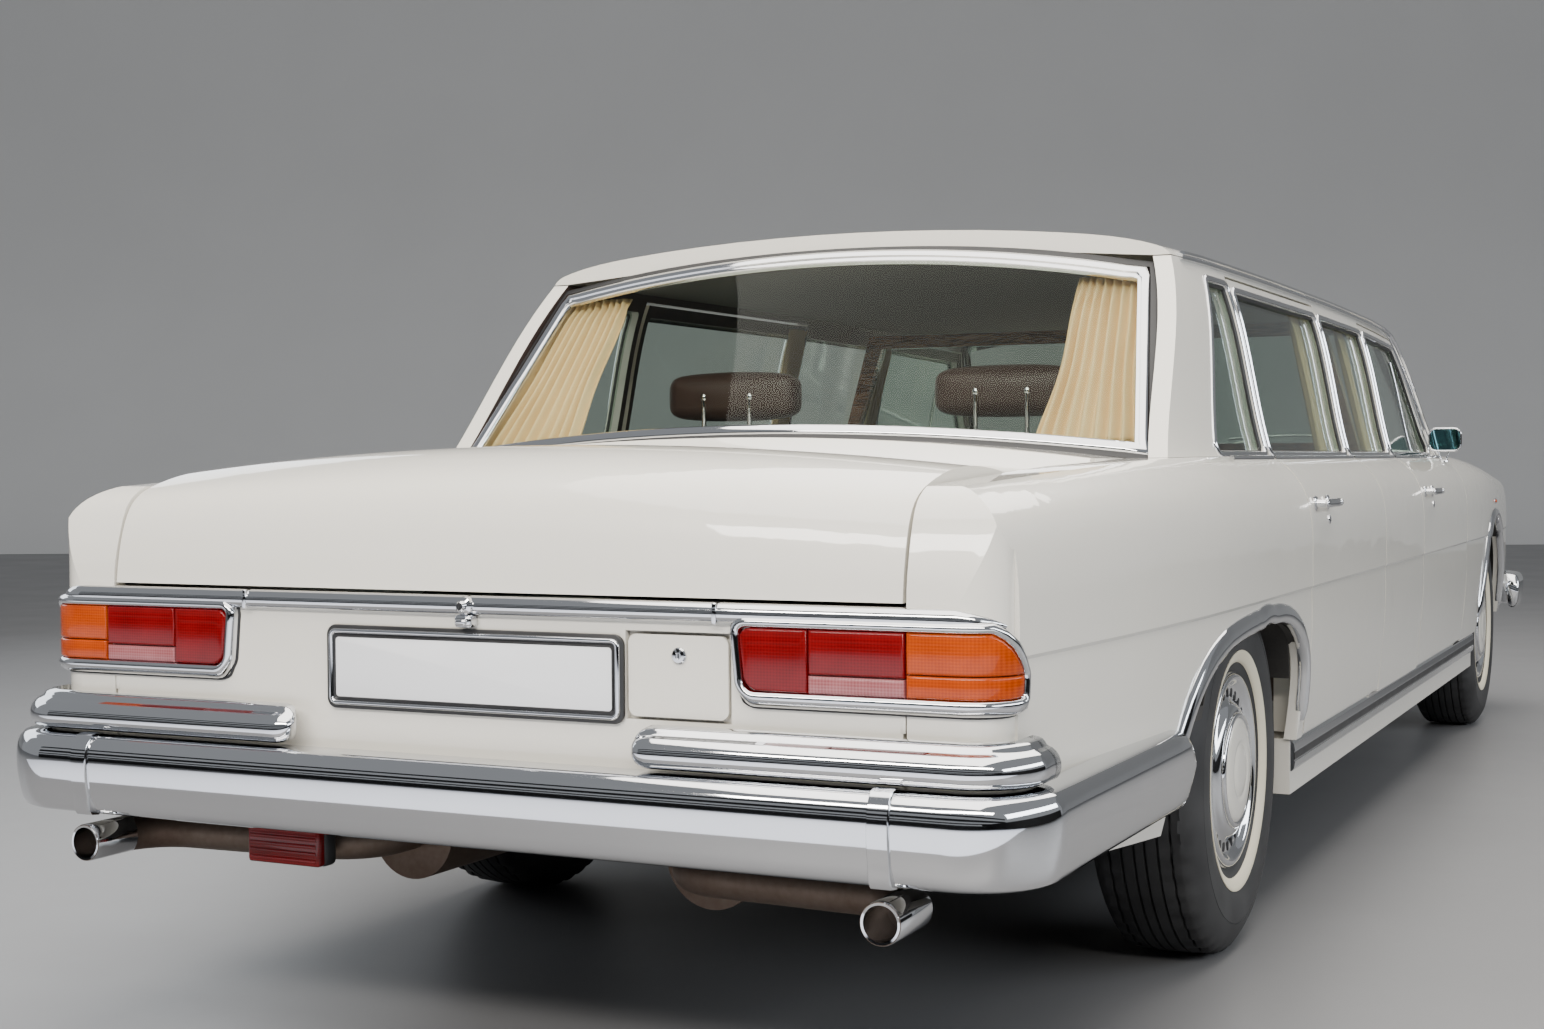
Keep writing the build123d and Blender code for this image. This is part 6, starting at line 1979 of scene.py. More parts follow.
@dataclass
class DoorFittings:
    """Door handles with push buttons, key locks, and the front doors' mirrors."""

    nodes: dict[str, bpy.types.Object]
    height: float = 0.900

    def build(self) -> None:
        """Builds the fittings of all four doors."""
        for end in ("front", "rear"):
            for side in Side:
                made = self.handle(end, side)
                if end == "front":
                    made += self.mirror(side)
                stand_for(made, f"{end}_door_fittings_{side.word}")

    def handle(self, end: str, side: Side) -> list[bpy.types.Object]:
        """One pull handle.

        Args:
            end: Which door.
            side: Which side.

        Returns:
            Its pieces.
        """
        body = f"{end}_door_{side.word}"
        skin = Skin(self.nodes, f"{end}_door_right")
        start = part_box(f"{end}_door_right")[0][1] + 0.045
        z, outer = self.height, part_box(f"{end}_door_fittings_right")[1][0]
        if end == "front":
            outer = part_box("rear_door_fittings_right")[1][0]
        face = skin.side(Side.RIGHT, start + 0.09, z)[0].x
        grip_x = outer - 0.0085
        work = Work()
        for y in (start + 0.016, start + 0.152):
            mount = [(0.0, -0.001), (0.0165, -0.001), (0.0170, 0.003), (0.0140, 0.0055), (0.0, 0.006)]
            work.lathe([mount[4], mount[3], mount[2], mount[1], mount[0]], (face, y, z), (1, 0, 0), 28)
            work.tube([Vector((face, y, z)), Vector((grip_x, y, z))], 0.0085, 14)
        section = [
            (0.0095 * math.cos(t), 0.0062 * math.sin(t))
            for t in (2 * math.pi * i / 16 for i in range(16))
        ]
        shares = [(0.0, 0.25), (0.004, 0.7), (0.012, 0.95), (0.03, 1.08), (0.085, 1.0)]
        shares += [(0.14, 1.08), (0.158, 0.95), (0.166, 0.7), (0.170, 0.25)]
        up, out = Vector((0, 0, 1)), Vector((1, 0, 0))
        places = [
            Station(Vector((grip_x, start + y, z)), up, out, (s, min(s, 1.0))) for y, s in shares
        ]
        work.sweep(section, places)
        grip = flipped(work, side).done(f"{end}_handle_{side.word}", CHROME, body, "chrome", 50)
        button = Work().lathe(
            [(0, 0.0085), (0.0062, 0.0080), (0.0078, 0.0060), (0.0078, -0.001), (0, -0.001)],
            (grip_x, start + 0.150, z),
            (1, 0, 0),
            24,
        )
        push = flipped(button, side).done(
            f"{end}_handle_button_{side.word}", SATIN, body, "chrome", 50
        )
        low_z = z - 0.040
        face = skin.side(Side.RIGHT, start + 0.150, low_z)[0].x
        lock = Work().lathe(
            [(0, 0.0035), (0.0075, 0.0035), (0.0105, 0.0020), (0.0108, -0.002), (0, -0.002)],
            (face, start + 0.150, low_z),
            (1, 0, 0),
            24,
        )
        key = flipped(lock, side).done(f"{end}_door_lock_{side.word}", CHROME, body, "chrome", 50)
        return [grip, push, key]

    def mirror(self, side: Side) -> list[bpy.types.Object]:
        """One door mirror: shell, rim, glass and two thin stalks.

        Args:
            side: Which side.

        Returns:
            Its pieces.
        """
        low, high = Vector((0.848, 1.300, 1.022)), Vector((0.948, 1.328, 1.096))
        body = f"front_door_{side.word}"
        centre = (low + high) / 2
        corners = [(low.x, low.z), (high.x, low.z), (high.x, high.z), (low.x, high.z)]
        outline = rounded(corners, 0.022, 6)
        back = Vector((0, -1, 0))
        path = [Vector((x, 0, z)) for x, z in outline]
        shell = Work()
        points = [Vector((x, low.y + 0.003, z)) for x, z in outline]
        shell.plate(points, Vector((0, 0.010, 0)))
        rings = ((0.013, 1.0), (0.018, 0.95), (0.022, 0.84), (0.0248, 0.62), (0.0258, 0.30))
        previous = None
        for y, share in rings:
            ring = [
                shell.mesh.verts.new(
                    (
                        between(centre.x, x, share),
                        low.y + 0.003 + y,
                        between(centre.z, z, share),
                    )
                )
                for x, z in outline
            ]
            edges = [shell.mesh.edges.new((ring[i - 1], ring[i])) for i in range(len(ring))]
            if previous:
                bmesh.ops.bridge_loops(shell.mesh, edges=previous + edges)
            previous = edges
        bmesh.ops.contextual_create(shell.mesh, geom=previous)
        skin = Skin(self.nodes, "front_door_right")
        foot = skin.look((0.892, 1.315, 1.2), (0, 0, -1))
        base = foot[0] if foot else Vector((0.892, 1.315, 0.985))
        for lean in (-0.010, 0.010):
            top = Vector((base.x + 2.2 * lean, 1.3165, 1.030))
            shell.tube([Vector((base.x + lean * 0.6, 1.315, base.z - 0.002)), top], 0.0033, 10)
        disc = [(0, 0.0065), (0.010, 0.006), (0.0145, 0.0035), (0.0155, -0.001), (0, -0.001)]
        shell.lathe(disc, (base.x, base.y, base.z), (0, 0, 1), 28)
        case = flipped(shell, side).done(f"mirror_shell_{side.word}", CHROME, body, "chrome", 40)
        rim = Work()
        at = [Vector((p.x, low.y + 0.004, p.z)) for p in path]
        rim.sweep(bead(0.006, 0.0038, 6), stations(at, [back] * len(at), True), True)
        ring = flipped(rim, side).done(f"mirror_rim_{side.word}", CHROME, body, "chrome", 50)
        inset = rounded(
            [(low.x + 0.003, low.z + 0.003), (high.x - 0.003, low.z + 0.003),
             (high.x - 0.003, high.z - 0.003), (low.x + 0.003, high.z - 0.003)],
            0.019,
            6,
        )
        glass = Work().plate([Vector((x, low.y + 0.0032, z)) for x, z in inset], Vector((0, -0.001, 0)))
        pane = flipped(glass, side).done(f"mirror_glass_{side.word}", MIRROR_TEAL, body, "glass", 30)
        return [case, ring, pane]


# ---------------------------------------------------------------- screens


@dataclass
class Screens:
    """Frames and seals of the windscreen and the rear window, and the wipers."""

    nodes: dict[str, bpy.types.Object]

    def build(self) -> None:
        """Builds both frames."""
        self.frame("rear_window", -1, 0.028, 1.3, 0.014, 0.008)
        self.frame("windscreen", 1, 0.017, 1.0, 0.006, 0.0)
        self.wipers()

    def frame(
        self, node: str, way: int, width: float, top_share: float, seal_width: float, shift: float
    ) -> None:
        """A plated frame on the edge of a curved screen, with a black seal inside it.

        Args:
            node: The screen.
            way: One for the front, minus one for the back.
            width: The frame's width.
            top_share: How much wider it is along the top.
            seal_width: The seal's width.
            shift: How far the frame reaches out over the joint round the screen.
        """
        low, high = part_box(node)
        skin = Skin(self.nodes, node)
        foot_half = high[0]
        top_half = self.top_half(node, high[2])
        foot_z, top_z = low[2], self.end_top(node)
        outline = self.outline(foot_half, top_half, foot_z, top_z, self.foot_rise(node), high[2] - top_z)
        inner = []
        middle = Vector((0, (foot_z + high[2]) / 2))
        count = len(outline)
        for i, p in enumerate(outline):
            way_in = Vector(outline[(i + 1) % count]) - Vector(outline[i - 1])
            into = Vector((-way_in.y, way_in.x)).normalized()
            if into.dot(middle - Vector(p)) < 0:
                into = -into
            inner.append(Vector(p) + into * 0.006)
        start = 4.0 * way
        path, normals = skin.follow([(p.x, start, p.y) for p in inner], (0, -way, 0))
        brow = foot_z + 0.97 * (top_z - foot_z)
        lift = (top_share - 1.0) * width * 0.9
        places = []
        for s in stations(path, normals, True):
            head = s.at.z > brow
            share = s.scale[0] * (top_share if head else 1.0)
            at = s.at + s.side * (way * lift if head else 0.0)
            places.append(Station(at, s.side, s.out, (share, 1.0)))
        half = width / 2
        shape = [(-half, 0.0005), (-half, 0.004), (-0.75 * half, 0.0085), (-0.2 * half, 0.0105)]
        shape += [(0.3 * half, 0.0095), (0.42 * half, 0.0060), (0.62 * half, 0.0068)]
        shape += [(0.9 * half, 0.0050), (half, 0.0015), (half, -0.006), (0.0, -0.003)]
        lip = -half - seal_width
        edge = [(lip, 0.0004), (lip + 0.001, 0.003), (-half + 0.006, 0.0042), (-half + 0.006, 0.0004)]
        section = [(way * (out + shift), up) for out, up in shape]
        seal = [(way * (out + shift), up) for out, up in edge]
        Work().sweep(section, places, True).done(f"{node}_frame", CHROME, "root", "chrome", 40)
        Work().sweep(seal, places, True).done(f"{node}_seal", SEAL, "root", "glass", 40)

    def outline(
        self, foot: float, top: float, foot_z: float, top_z: float, foot_rise: float, top_rise: float
    ) -> list[Flat]:
        """The screen's outline across the car, anticlockwise as seen from behind."""
        made: list[Flat] = []
        for i in range(33):
            x = between(-foot, foot, i / 32)
            made.append((x, foot_z + foot_rise * (1 - (x / foot) ** 2)))
        for i in range(1, 14):
            made.append((between(foot, top, i / 14), between(foot_z, top_z, i / 14)))
        for i in range(33):
            x = between(top, -top, i / 32)
            made.append((x, top_z + top_rise * (1 - (x / top) ** 2)))
        for i in range(1, 14):
            made.append((between(-top, -foot, i / 14), between(top_z, foot_z, i / 14)))
        return made

    def _rim(self, node: str) -> list[Vector]:
        """The screen's points."""
        return [v.co for v in self.nodes[node].data.vertices]

    def end_top(self, node: str) -> float:
        """The height of the screen's top corners."""
        points = self._rim(node)
        top_half = self.top_half(node, 0.0)
        return max(p.z for p in points if abs(p.x) > top_half - 0.004)

    def top_half(self, node: str, _height: float) -> float:
        """Half the screen's width at its top corners."""
        points = self._rim(node)
        high = max(p.z for p in points)
        best = 0.0
        for p in points:
            if p.z > high - 0.085 and abs(p.x) > best:
                best = abs(p.x)
        low = [p for p in points if p.z > 1.393]
        return max(abs(p.x) for p in low) if low else best

    def foot_rise(self, node: str) -> float:
        """How far the middle of the screen's foot stands over its ends."""
        points = self._rim(node)
        middle = [p.z for p in points if abs(p.x) < 0.06]
        ends = min(p.z for p in points)
        return (min(middle) - ends) if middle else 0.03

    def wipers(self) -> None:
        """Two wipers on the scuttle: spindle, arm and blade."""
        skin = Skin(self.nodes, "windscreen", "bulkhead")
        work, rubber = Work(), Work()
        for x, reach in ((-0.52, 0.48), (0.10, 0.46)):
            foot = skin.look((x, 1.585, 1.3), (0, 0, -1))
            if not foot:
                continue
            at = foot[0]
            work.lathe(
                [(0, 0.020), (0.008, 0.019), (0.011, 0.012), (0.015, 0.004), (0.016, -0.003)],
                at,
                (0, 0, 1),
                24,
            )
            blade = []
            for i in range(13):
                bx = x + 0.04 + reach * i / 12
                seen = skin.look((bx, 4.0, 1.062 + 0.010 * math.sin(math.pi * i / 12)), (0, -1, 0))
                if seen:
                    blade.append(seen[0] + seen[1] * 0.008)
            if len(blade) < 5:
                continue
            middle = blade[len(blade) // 2] + Vector((0, 0.010, 0.006))
            work.tube([at + Vector((0, 0, 0.015)), at.lerp(middle, 0.5) + Vector((0, 0.01, 0.016)), middle], 0.0035, 8)
            work.tube([p + Vector((0, 0.004, 0.002)) for p in blade], 0.0032, 8)
            rubber.tube(blade, 0.0028, 6)
        work.done("wiper_arms", SATIN, "root", "chrome")
        rubber.done("wiper_rubbers", SEAL, "root", "underbody")


# ---------------------------------------------------------------- front


@dataclass
class Nose:
    """Headlamp units, and the grille's surround and mesh."""

    nodes: dict[str, bpy.types.Object]

    def build(self) -> None:
        """Builds the front's pieces."""
        self.headlamps()
        self.grille()

    def headlamps(self) -> None:
        """Upright lamp units: plated bezel, round lamps behind ribbed glass."""
        low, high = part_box("headlamps")
        x0 = high[0] - 0.240
        face = high[1]
        back = low[1]
        z0, z1 = low[2], high[2]
        corners = [(x0, z0), (high[0], z0), (high[0], z1), (x0, z1)]
        outline = rounded(corners, 0.070, 8)
        centre = Vector(((x0 + high[0]) / 2, 0, (z0 + z1) / 2))
        ahead = Vector((0, 1, 0))
        shell = Work().plate([Vector((x, back, z)) for x, z in outline], Vector((0, 0.020, 0)), 0.003)
        shell.mirrored()
        body = shell.done("headlamp_bodies", BLACK_PLASTIC, "root", "lamp_lens")
        path = [Vector((x, back + 0.012, z)) for x, z in reversed(self.shrunk(outline, centre, 0.008))]
        section = [(-0.011, -0.008), (-0.010, 0.014), (-0.005, 0.026), (0.002, 0.029), (0.008, 0.022), (0.011, 0.006), (0.011, -0.008)]
        bezel = Work().sweep(section, stations(path, [ahead] * len(path), True), True).mirrored()
        ring = bezel.done("headlamp_bezels", CHROME, "root", "chrome", 50)
        bowls, bulbs = Work(), Work()
        for z, radius in ((centre.z + 0.052, 0.080), (centre.z - 0.088, 0.048)):
            at = (centre.x, back + 0.018, z)
            bowl = [(radius, 0.012), (radius * 0.98, 0.006), (radius * 0.7, -0.006), (0.012, -0.010), (0, -0.010)]
            bowls.lathe([*bowl, (0, -0.012), (radius, 0.004), (radius, 0.012)], at, (0, 1, 0), 48)
            bulbs.ball((centre.x, back + 0.014, z), 0.010)
            ring_path = [
                Vector((centre.x + (radius + 0.003) * math.cos(-t), at[1] + 0.010, z + (radius + 0.003) * math.sin(-t)))
                for t in (2 * math.pi * i / 48 for i in range(48))
            ]
            bowls.sweep(bead(0.008, 0.006), stations(ring_path, [ahead] * 48, True), True)
        mirror_bowl = bowls.mirrored().done("headlamp_reflectors", CHROME, "root", "chrome", 40)
        bulb = bulbs.mirrored().done("headlamp_bulbs", HEADLAMP_GLASS, "root", "lamp_lens")
        inner = self.shrunk(outline, centre, 0.014)
        glass = Work().plate([Vector((x, back + 0.032, z)) for x, z in inner], Vector((0, 0.005, 0)), 0.002)
        pane = glass.mirrored().done("headlamp_panes", CLEAR_GLASS, "root", "glass")
        amber = Work().plate(
            [Vector((x, back + 0.021, z)) for x, z in rounded(
                [(centre.x - 0.080, z0 + 0.020), (centre.x + 0.080, z0 + 0.020),
                 (centre.x + 0.080, z0 + 0.028), (centre.x - 0.080, z0 + 0.028)], 0.0035, 3)],
            Vector((0, 0.006, 0)),
        )
        turn = amber.mirrored().done("front_turn_lamps", AMBER_LENS, "root", "lamp_lens")
        stand_for([body, ring, mirror_bowl, bulb, pane, turn], "headlamps")
        log.info("headlamp faces at %.3f m", face)

    @staticmethod
    def shrunk(outline: list[Flat], centre: Vector, by: float) -> list[Flat]:
        """An outline moved in towards a centre by a distance."""
        made = []
        for x, z in outline:
            arm = Vector((x - centre.x, z - centre.z))
            made.append(tuple(Vector((centre.x, centre.z)) + arm * (1 - by / max(abs(arm.x), abs(arm.y), 1e-6))))
        return made

    def grille(self) -> None:
        """The radiator grille: broad plated surround, fine slats and a centre bar."""
        low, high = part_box("radiator_grille")
        edge = 0.030
        x, z0, z1 = high[0], low[2], high[2]
        face = high[1]
        outline = rounded([(-x + edge / 2, z0 + edge / 2), (x - edge / 2, z0 + edge / 2), (x - edge / 2, z1 - edge / 2), (-x + edge / 2, z1 - edge / 2)], 0.020, 5)
        path = [Vector((px, face - 0.022, pz)) for px, pz in reversed(outline)]
        section = [(-0.015, -0.040), (-0.015, 0.008), (-0.010, 0.017), (0.0, 0.0215), (0.010, 0.018), (0.015, 0.010), (0.015, -0.040)]
        work = Work().sweep(section, stations(path, [Vector((0, 1, 0))] * len(path), True), True)
        work.block((-0.009, face - 0.036, z0 + 0.020), (0.009, face - 0.004, z1 - 0.020), 0.003)
        surround = work.done("grille_surround", CHROME, "root", "chrome", 40)
        slats = Work()
        count = 15
        for i in range(count):
            z = between(z0 + edge, z1 - edge, (i + 1) / (count + 1))
            slats.block((-x + 0.020, face - 0.040, z - 0.0022), (x - 0.020, face - 0.016, z + 0.0022), 0.0012)
        for i in range(1, 12):
            for sign in (-1, 1):
                px = sign * x * i / 12
                slats.block((px - 0.0012, face - 0.044, z0 + 0.02), (px + 0.0012, face - 0.030, z1 - 0.02))
        bars = slats.done("grille_slats", CHROME, "root", "chrome", 40)
        back = Work().block((-x + 0.02, low[1] + 0.002, z0 + 0.02), (x - 0.02, low[1] + 0.006, z1 - 0.02), 0.001)
        dark = back.done("grille_back", BLACK_PLASTIC, "root", "underbody")
        stand_for([surround, bars, dark], "radiator_grille")


# ---------------------------------------------------------------- curtains and seats


@dataclass
class Curtains:
    """Gathered curtains: behind the rear window, by the partition and on the rear doors."""

    nodes: dict[str, bpy.types.Object]
    pleat: float = 0.0150
    depth: float = 0.0098
    wide_pleat: float = 0.029
    wide_depth: float = 0.0165
    gathered: float = 0.93
    sheet: float = 0.0012
    rows: int = 30

    def build(self) -> None:
        """Builds all six curtains."""
        fixed = self.nodes["curtains"].data.vertices
        made = []
        for name, low, high in (("rear", -9.0, -1.0), ("middle", -1.0, 9.0)):
            for side in Side:
                points = [v.co for v in fixed if low < v.co.y < high and v.co.x * side.value > 0]
                title = f"{name}_curtain_{side.word}"
                made.append(self.hang(title, points, side, "root", name == "rear"))
        stand_for(made, "curtains")
        for side in Side:
            node = f"rear_door_curtain_{side.word}"
            points = [v.co for v in self.nodes[node].data.vertices]
            door = f"rear_door_{side.word}"
            piece = self.hang(f"door_curtain_{side.word}", points, side, door)
            stand_for([piece], node)

    def hang(
        self, name: str, points: list[Vector], side: Side, body: str, across: bool = False
    ) -> bpy.types.Object:
        """One gathered curtain in the room that its packed block holds.

        Args:
            name: The piece's name.
            points: The block's corners.
            side: Which side of the car.
            body: The body that it rides on.
            across: Whether it hangs across the car, and not along its side.

        Returns:
            The curtain.
        """
        low, high = min(p.z for p in points), max(p.z for p in points)
        foot = [p for p in points if p.z < low + 0.03]
        top = [p for p in points if p.z > high - 0.03]
        spans = []
        for group in (foot, top):
            xs, ys = [abs(p.x) for p in group], [p.y for p in group]
            runs, depths = (xs, ys) if across else (ys, xs)
            spans.append((min(runs), max(runs), (min(depths) + max(depths)) / 2))
        if across:
            inner, outer, level = spans[1]
            spans[1] = (inner + 0.012, min(outer, inner + 0.160), level)
        pleat = self.wide_pleat if across else self.pleat
        depth = self.wide_depth if across else self.depth
        count = max(4, round((spans[0][1] - spans[0][0]) / pleat))

        def fold(run: float, share: float) -> Vector:
            """A point of the cloth from its run across and its share of the height."""
            start = between(spans[0][0], spans[1][0], share)
            end = between(spans[0][1], spans[1][1], share)
            level = between(spans[0][2], spans[1][2], share)
            waist = 1 - 0.10 * math.sin(math.pi * min(1.0, share * 1.15)) ** 2
            sway = 0.16 * math.sin(3.1 * run + 2.4 * share) + 0.10 * math.sin(7.7 * run - 1.3 * share)
            wave = math.sin(2 * math.pi * (count * run + sway))
            gather = 1 - 0.55 * math.exp(-(((share - self.gathered) / 0.035) ** 2))
            deep = depth * gather * (0.86 + 0.14 * math.sin(11.0 * run + 3.0 * share))
            ruffle = 0.25 * depth * max(0.0, share - self.gathered) / (1 - self.gathered)
            ripple = ruffle * math.sin(2 * math.pi * (2.6 * count * run))
            middle = (start + end) / 2
            place = middle + (between(start, end, run) - middle) * waist
            off = level + deep * wave + ripple
            x, y = (place, off) if across else (off, place)
            return Vector((side.value * x, y, between(low, high, share)))

        work = bmesh.new()
        steps = count * (14 if across else 9)
        bmesh.ops.create_grid(work, x_segments=steps, y_segments=self.rows, size=1.0)
        for vert in work.verts:
            vert.co = fold((vert.co.x + 1) / 2, (vert.co.y + 1) / 2)
        run = [fold(i / 600, 0.5) for i in range(601)]
        for face in work.faces:
            face.smooth = True
        data = bpy.data.meshes.new(name)
        work.to_mesh(data)
        work.free()
        piece = bpy.data.objects.new(name, data)
        bpy.context.scene.collection.objects.link(piece)
        data.materials.append(Paintbox.get(CREAM_CLOTH))
        thick = piece.modifiers.new("cloth thickness", "SOLIDIFY")
        thick.thickness = self.sheet
        thick.offset = 0.0
        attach(piece, body)
        tall = math.hypot(high - low, spans[0][2] - spans[1][2])
        return piece


@dataclass
class Pad:
    """One upholstered pad: crowned, drawn in at its corners, with sewn channels."""

    name: str
    low: Point
    high: Point
    crown: float = 0.014
    round: float = 0.045
    channels: tuple[float, ...] = ()
    border: float = 0.0
    cell: float = 0.016
    lean: float = 0.0
    fill: float = 0.8
    simulate: bool = False

    def work(self) -> Work:
        """The pad's shape in its own upright place, its face up, or forward before its lean."""
        work = Work().block(self.low, self.high, self.round, 5)
        for axis in range(3):
            count = int((self.high[axis] - self.low[axis]) / self.cell)
            for i in range(1, count):
                place, way = [0.0, 0.0, 0.0], [0.0, 0.0, 0.0]
                place[axis] = between(self.low[axis], self.high[axis], i / count)
                way[axis] = 1.0
                everything = list(work.mesh.verts) + list(work.mesh.edges) + list(work.mesh.faces)
                bmesh.ops.bisect_plane(
                    work.mesh, geom=everything, dist=1e-5, plane_co=place, plane_no=way
                )
        return work

    def shape(self, work: Work, axis: int) -> None:
        """Crowns the pad's faces, draws its corners in and sews its channels.

        Args:
            work: The pad.
            axis: The axis across its face.
        """
        low, high = Vector(self.low), Vector(self.high)
        middle, half = (low + high) / 2, (high - low) / 2
        flat = [k for k in range(3) if k != axis]
        for vert in work.mesh.verts:
            share = [(vert.co[k] - middle[k]) / half[k] for k in range(3)]
            swell = (1 - share[flat[0]] ** 2) * (1 - share[flat[1]] ** 2)
            vert.co[axis] += share[axis] * self.crown * (swell - 0.45)
            pull = abs(share[flat[0]]) ** 3 * abs(share[flat[1]]) ** 3
            for k in flat:
                vert.co[k] -= share[k] * 0.010 * pull
            edge = max(abs(share[flat[0]]), abs(share[flat[1]]))
            if abs(share[axis]) < 0.2 or edge > 0.985:
                continue
            near = min((abs(vert.co.x - x) for x in self.channels), default=1.0)
            sewn = math.exp(-((near / 0.0062) ** 2)) * min(1.0, (1 - edge) * 9)
            if self.border:
                rim = half[flat[1]] * (1 - abs(share[flat[1]])) - self.border
                rim_x = half[0] * (1 - abs(share[0])) - self.border
                line = min(abs(rim), abs(rim_x)) if min(rim, rim_x) > -0.01 else 1.0
                sewn = max(sewn if min(rim, rim_x) > 0 else 0.0, math.exp(-((line / 0.006) ** 2)))
            vert.co[axis] -= math.copysign(0.0085 * sewn, share[axis])

    def make(self, finish, body: str, slot: str, axis: int, hinge: Point) -> bpy.types.Object:
        """The finished pad.

        Args:
            finish: Its leather or cloth.
            body: The body that it rides on.
            slot: The record's material slot.
            axis: The axis across its face.
            hinge: The point that its lean turns about.

        Returns:
            The pad.
        """
        work = self.work()
        self.shape(work, axis)
        turn = Matrix.Rotation(self.lean, 4, "X")
        work.moved(Matrix.Translation(hinge) @ turn @ Matrix.Translation(-Vector(hinge)))
        piece = work.done(self.name, finish, body, slot, 80)
        if self.simulate:
            self.inflate(piece)
        return piece

    def inflate(self, piece: bpy.types.Object, limit: float = 0.006) -> None:
        """Puffs the pad up as filled leather, no point further than a limit.

        Args:
            piece: The pad.
            limit: The furthest that a point may move.
        """
        scene = bpy.context.scene
        start = [v.co.copy() for v in piece.data.vertices]
        cloth = piece.modifiers.new("filling", "CLOTH")
        cloth.settings.use_pressure = True
        cloth.settings.uniform_pressure_force = 4.0
        cloth.settings.quality = 6
        cloth.settings.effector_weights.gravity = 0.0
        for frame in range(1, 17):
            scene.frame_set(frame)
        graph = bpy.context.evaluated_depsgraph_get()
        puffed = piece.evaluated_get(graph).to_mesh()
        moved = [v.co.copy() for v in puffed.vertices]
        piece.evaluated_get(graph).to_mesh_clear()
        piece.modifiers.remove(cloth)
        scene.frame_set(1)
        for vert, before, after in zip(piece.data.vertices, start, moved):
            step = after - before
            vert.co = before + step * min(1.0, limit / max(step.length, 1e-9))
        smooth = piece.modifiers.new("stitch spacing", "SUBSURF")
        smooth.levels = smooth.render_levels = 1


@dataclass
class Seats:
    """Two front seats and the rear bench with its headrests."""

    nodes: dict[str, bpy.types.Object]

    def build(self) -> None:
        """Builds the front seats and the bench."""
        self.front()
        self.bench()
        self.headrests()

    @staticmethod
    def channels(x0: float, x1: float, count: int) -> tuple[float, ...]:
        """Places of sewn channels spread evenly between two sides."""
        return tuple(between(x0, x1, i / (count + 1)) for i in range(1, count + 1))

    def front(self) -> None:
        """The front seats: base, cushion and leaning back."""
        low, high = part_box("front_seats")
        made = []
        for side in Side:
            inner, outer = 0.190, high[0]
            x0, x1 = sorted((side.value * inner, side.value * outer))
            base = Work().block((x0 + 0.05, low[1] + 0.12, low[2]), (x1 - 0.05, high[1] - 0.06, 0.425), 0.012)
            made.append(base.done(f"front_seat_base_{side.word}", BLACK_PLASTIC, "root", "leather"))
            lines = self.channels(x0 + 0.06, x1 - 0.06, 5)
            cushion = Pad(
                f"front_seat_cushion_{side.word}",
                (x0, low[1] + 0.130, 0.405),
                (x1, high[1], 0.560),
                channels=lines,
                border=0.050,
            )
            made.append(cushion.make(DARK_LEATHER, "root", "leather", 2, (0, 0, 0.4)))
            hinge = (0.0, low[1] + 0.160, 0.500)
            back = Pad(
                f"front_seat_back_{side.word}",
                (x0, low[1] + 0.104, 0.440),
                (x1, low[1] + 0.212, 1.022),
                crown=0.010,
                channels=lines,
                border=0.050,
                lean=0.165,
            )
            made.append(back.make(DARK_LEATHER, "root", "leather", 1, hinge))
        stand_for(made, "front_seats")

    def bench(self) -> None:
        """The rear bench: one wide cushion and one wide back, both in channels."""
        low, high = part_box("rear_seat")
        lines = self.channels(low[0] + 0.05, high[0] - 0.05, 13)
        base = Work().block((low[0] + 0.04, low[1] + 0.12, low[2]), (high[0] - 0.04, high[1] - 0.04, 0.455), 0.010)
        made = [base.done("rear_seat_base", BLACK_PLASTIC, "root", "leather")]
        cushion = Pad(
            "rear_seat_cushion",
            (low[0], low[1] + 0.150, 0.430),
            (high[0], high[1], 0.600),
            channels=lines,
            border=0.055,
        )
        made.append(cushion.make(DARK_LEATHER, "root", "leather", 2, (0, 0, 0.43)))
        back = Pad(
            "rear_seat_back",
            (low[0], low[1] + 0.090, 0.440),
            (high[0], low[1] + 0.235, 0.960),
            crown=0.012,
            channels=lines,
            border=0.055,
            lean=0.150,
        )
        made.append(back.make(DARK_LEATHER, "root", "leather", 1, (0, low[1] + 0.15, 0.46)))
        stand_for(made, "rear_seat")

    def headrests(self) -> None:
        """Two rear headrests on pairs of plated posts."""
        y, x = -1.430, 0.340
        for side in Side:
            cx = x * side.value
            rest = Pad(
                f"headrest_{side.word}",
                (cx - 0.168, y - 0.041, 1.098),
                (cx + 0.168, y + 0.041, 1.211),
                crown=0.010,
                round=0.030,
                cell=0.0075,
                fill=0.9,
                simulate=True,
            )
            rest.make(DARK_LEATHER, "root", "leather", 1, (cx, y, 1.15))
            posts = Work()
            for dx in (-0.060, 0.060):
                back = y - 0.0435
                rise = [Vector((cx + dx, y, 0.930)), Vector((cx + dx, y, 0.985))]
                rise += [Vector((cx + dx, back, 1.040)), Vector((cx + dx, back, 1.150))]
                posts.tube(rise, 0.0055, 16)
                posts.ball((cx + dx, back, 1.152), 0.0085, (1.0, 0.7, 1.3))
                posts.lathe(
                    [(0, 0.004), (0.010, 0.003), (0.0125, 0.0), (0.0125, -0.012), (0, -0.012)],
                    (cx + dx, y, 0.968),
                    (0, 0, 1),
                    24,
                )
            posts.done(f"headrest_posts_{side.word}", CHROME, "root", "chrome")


# ---------------------------------------------------------------- cabin


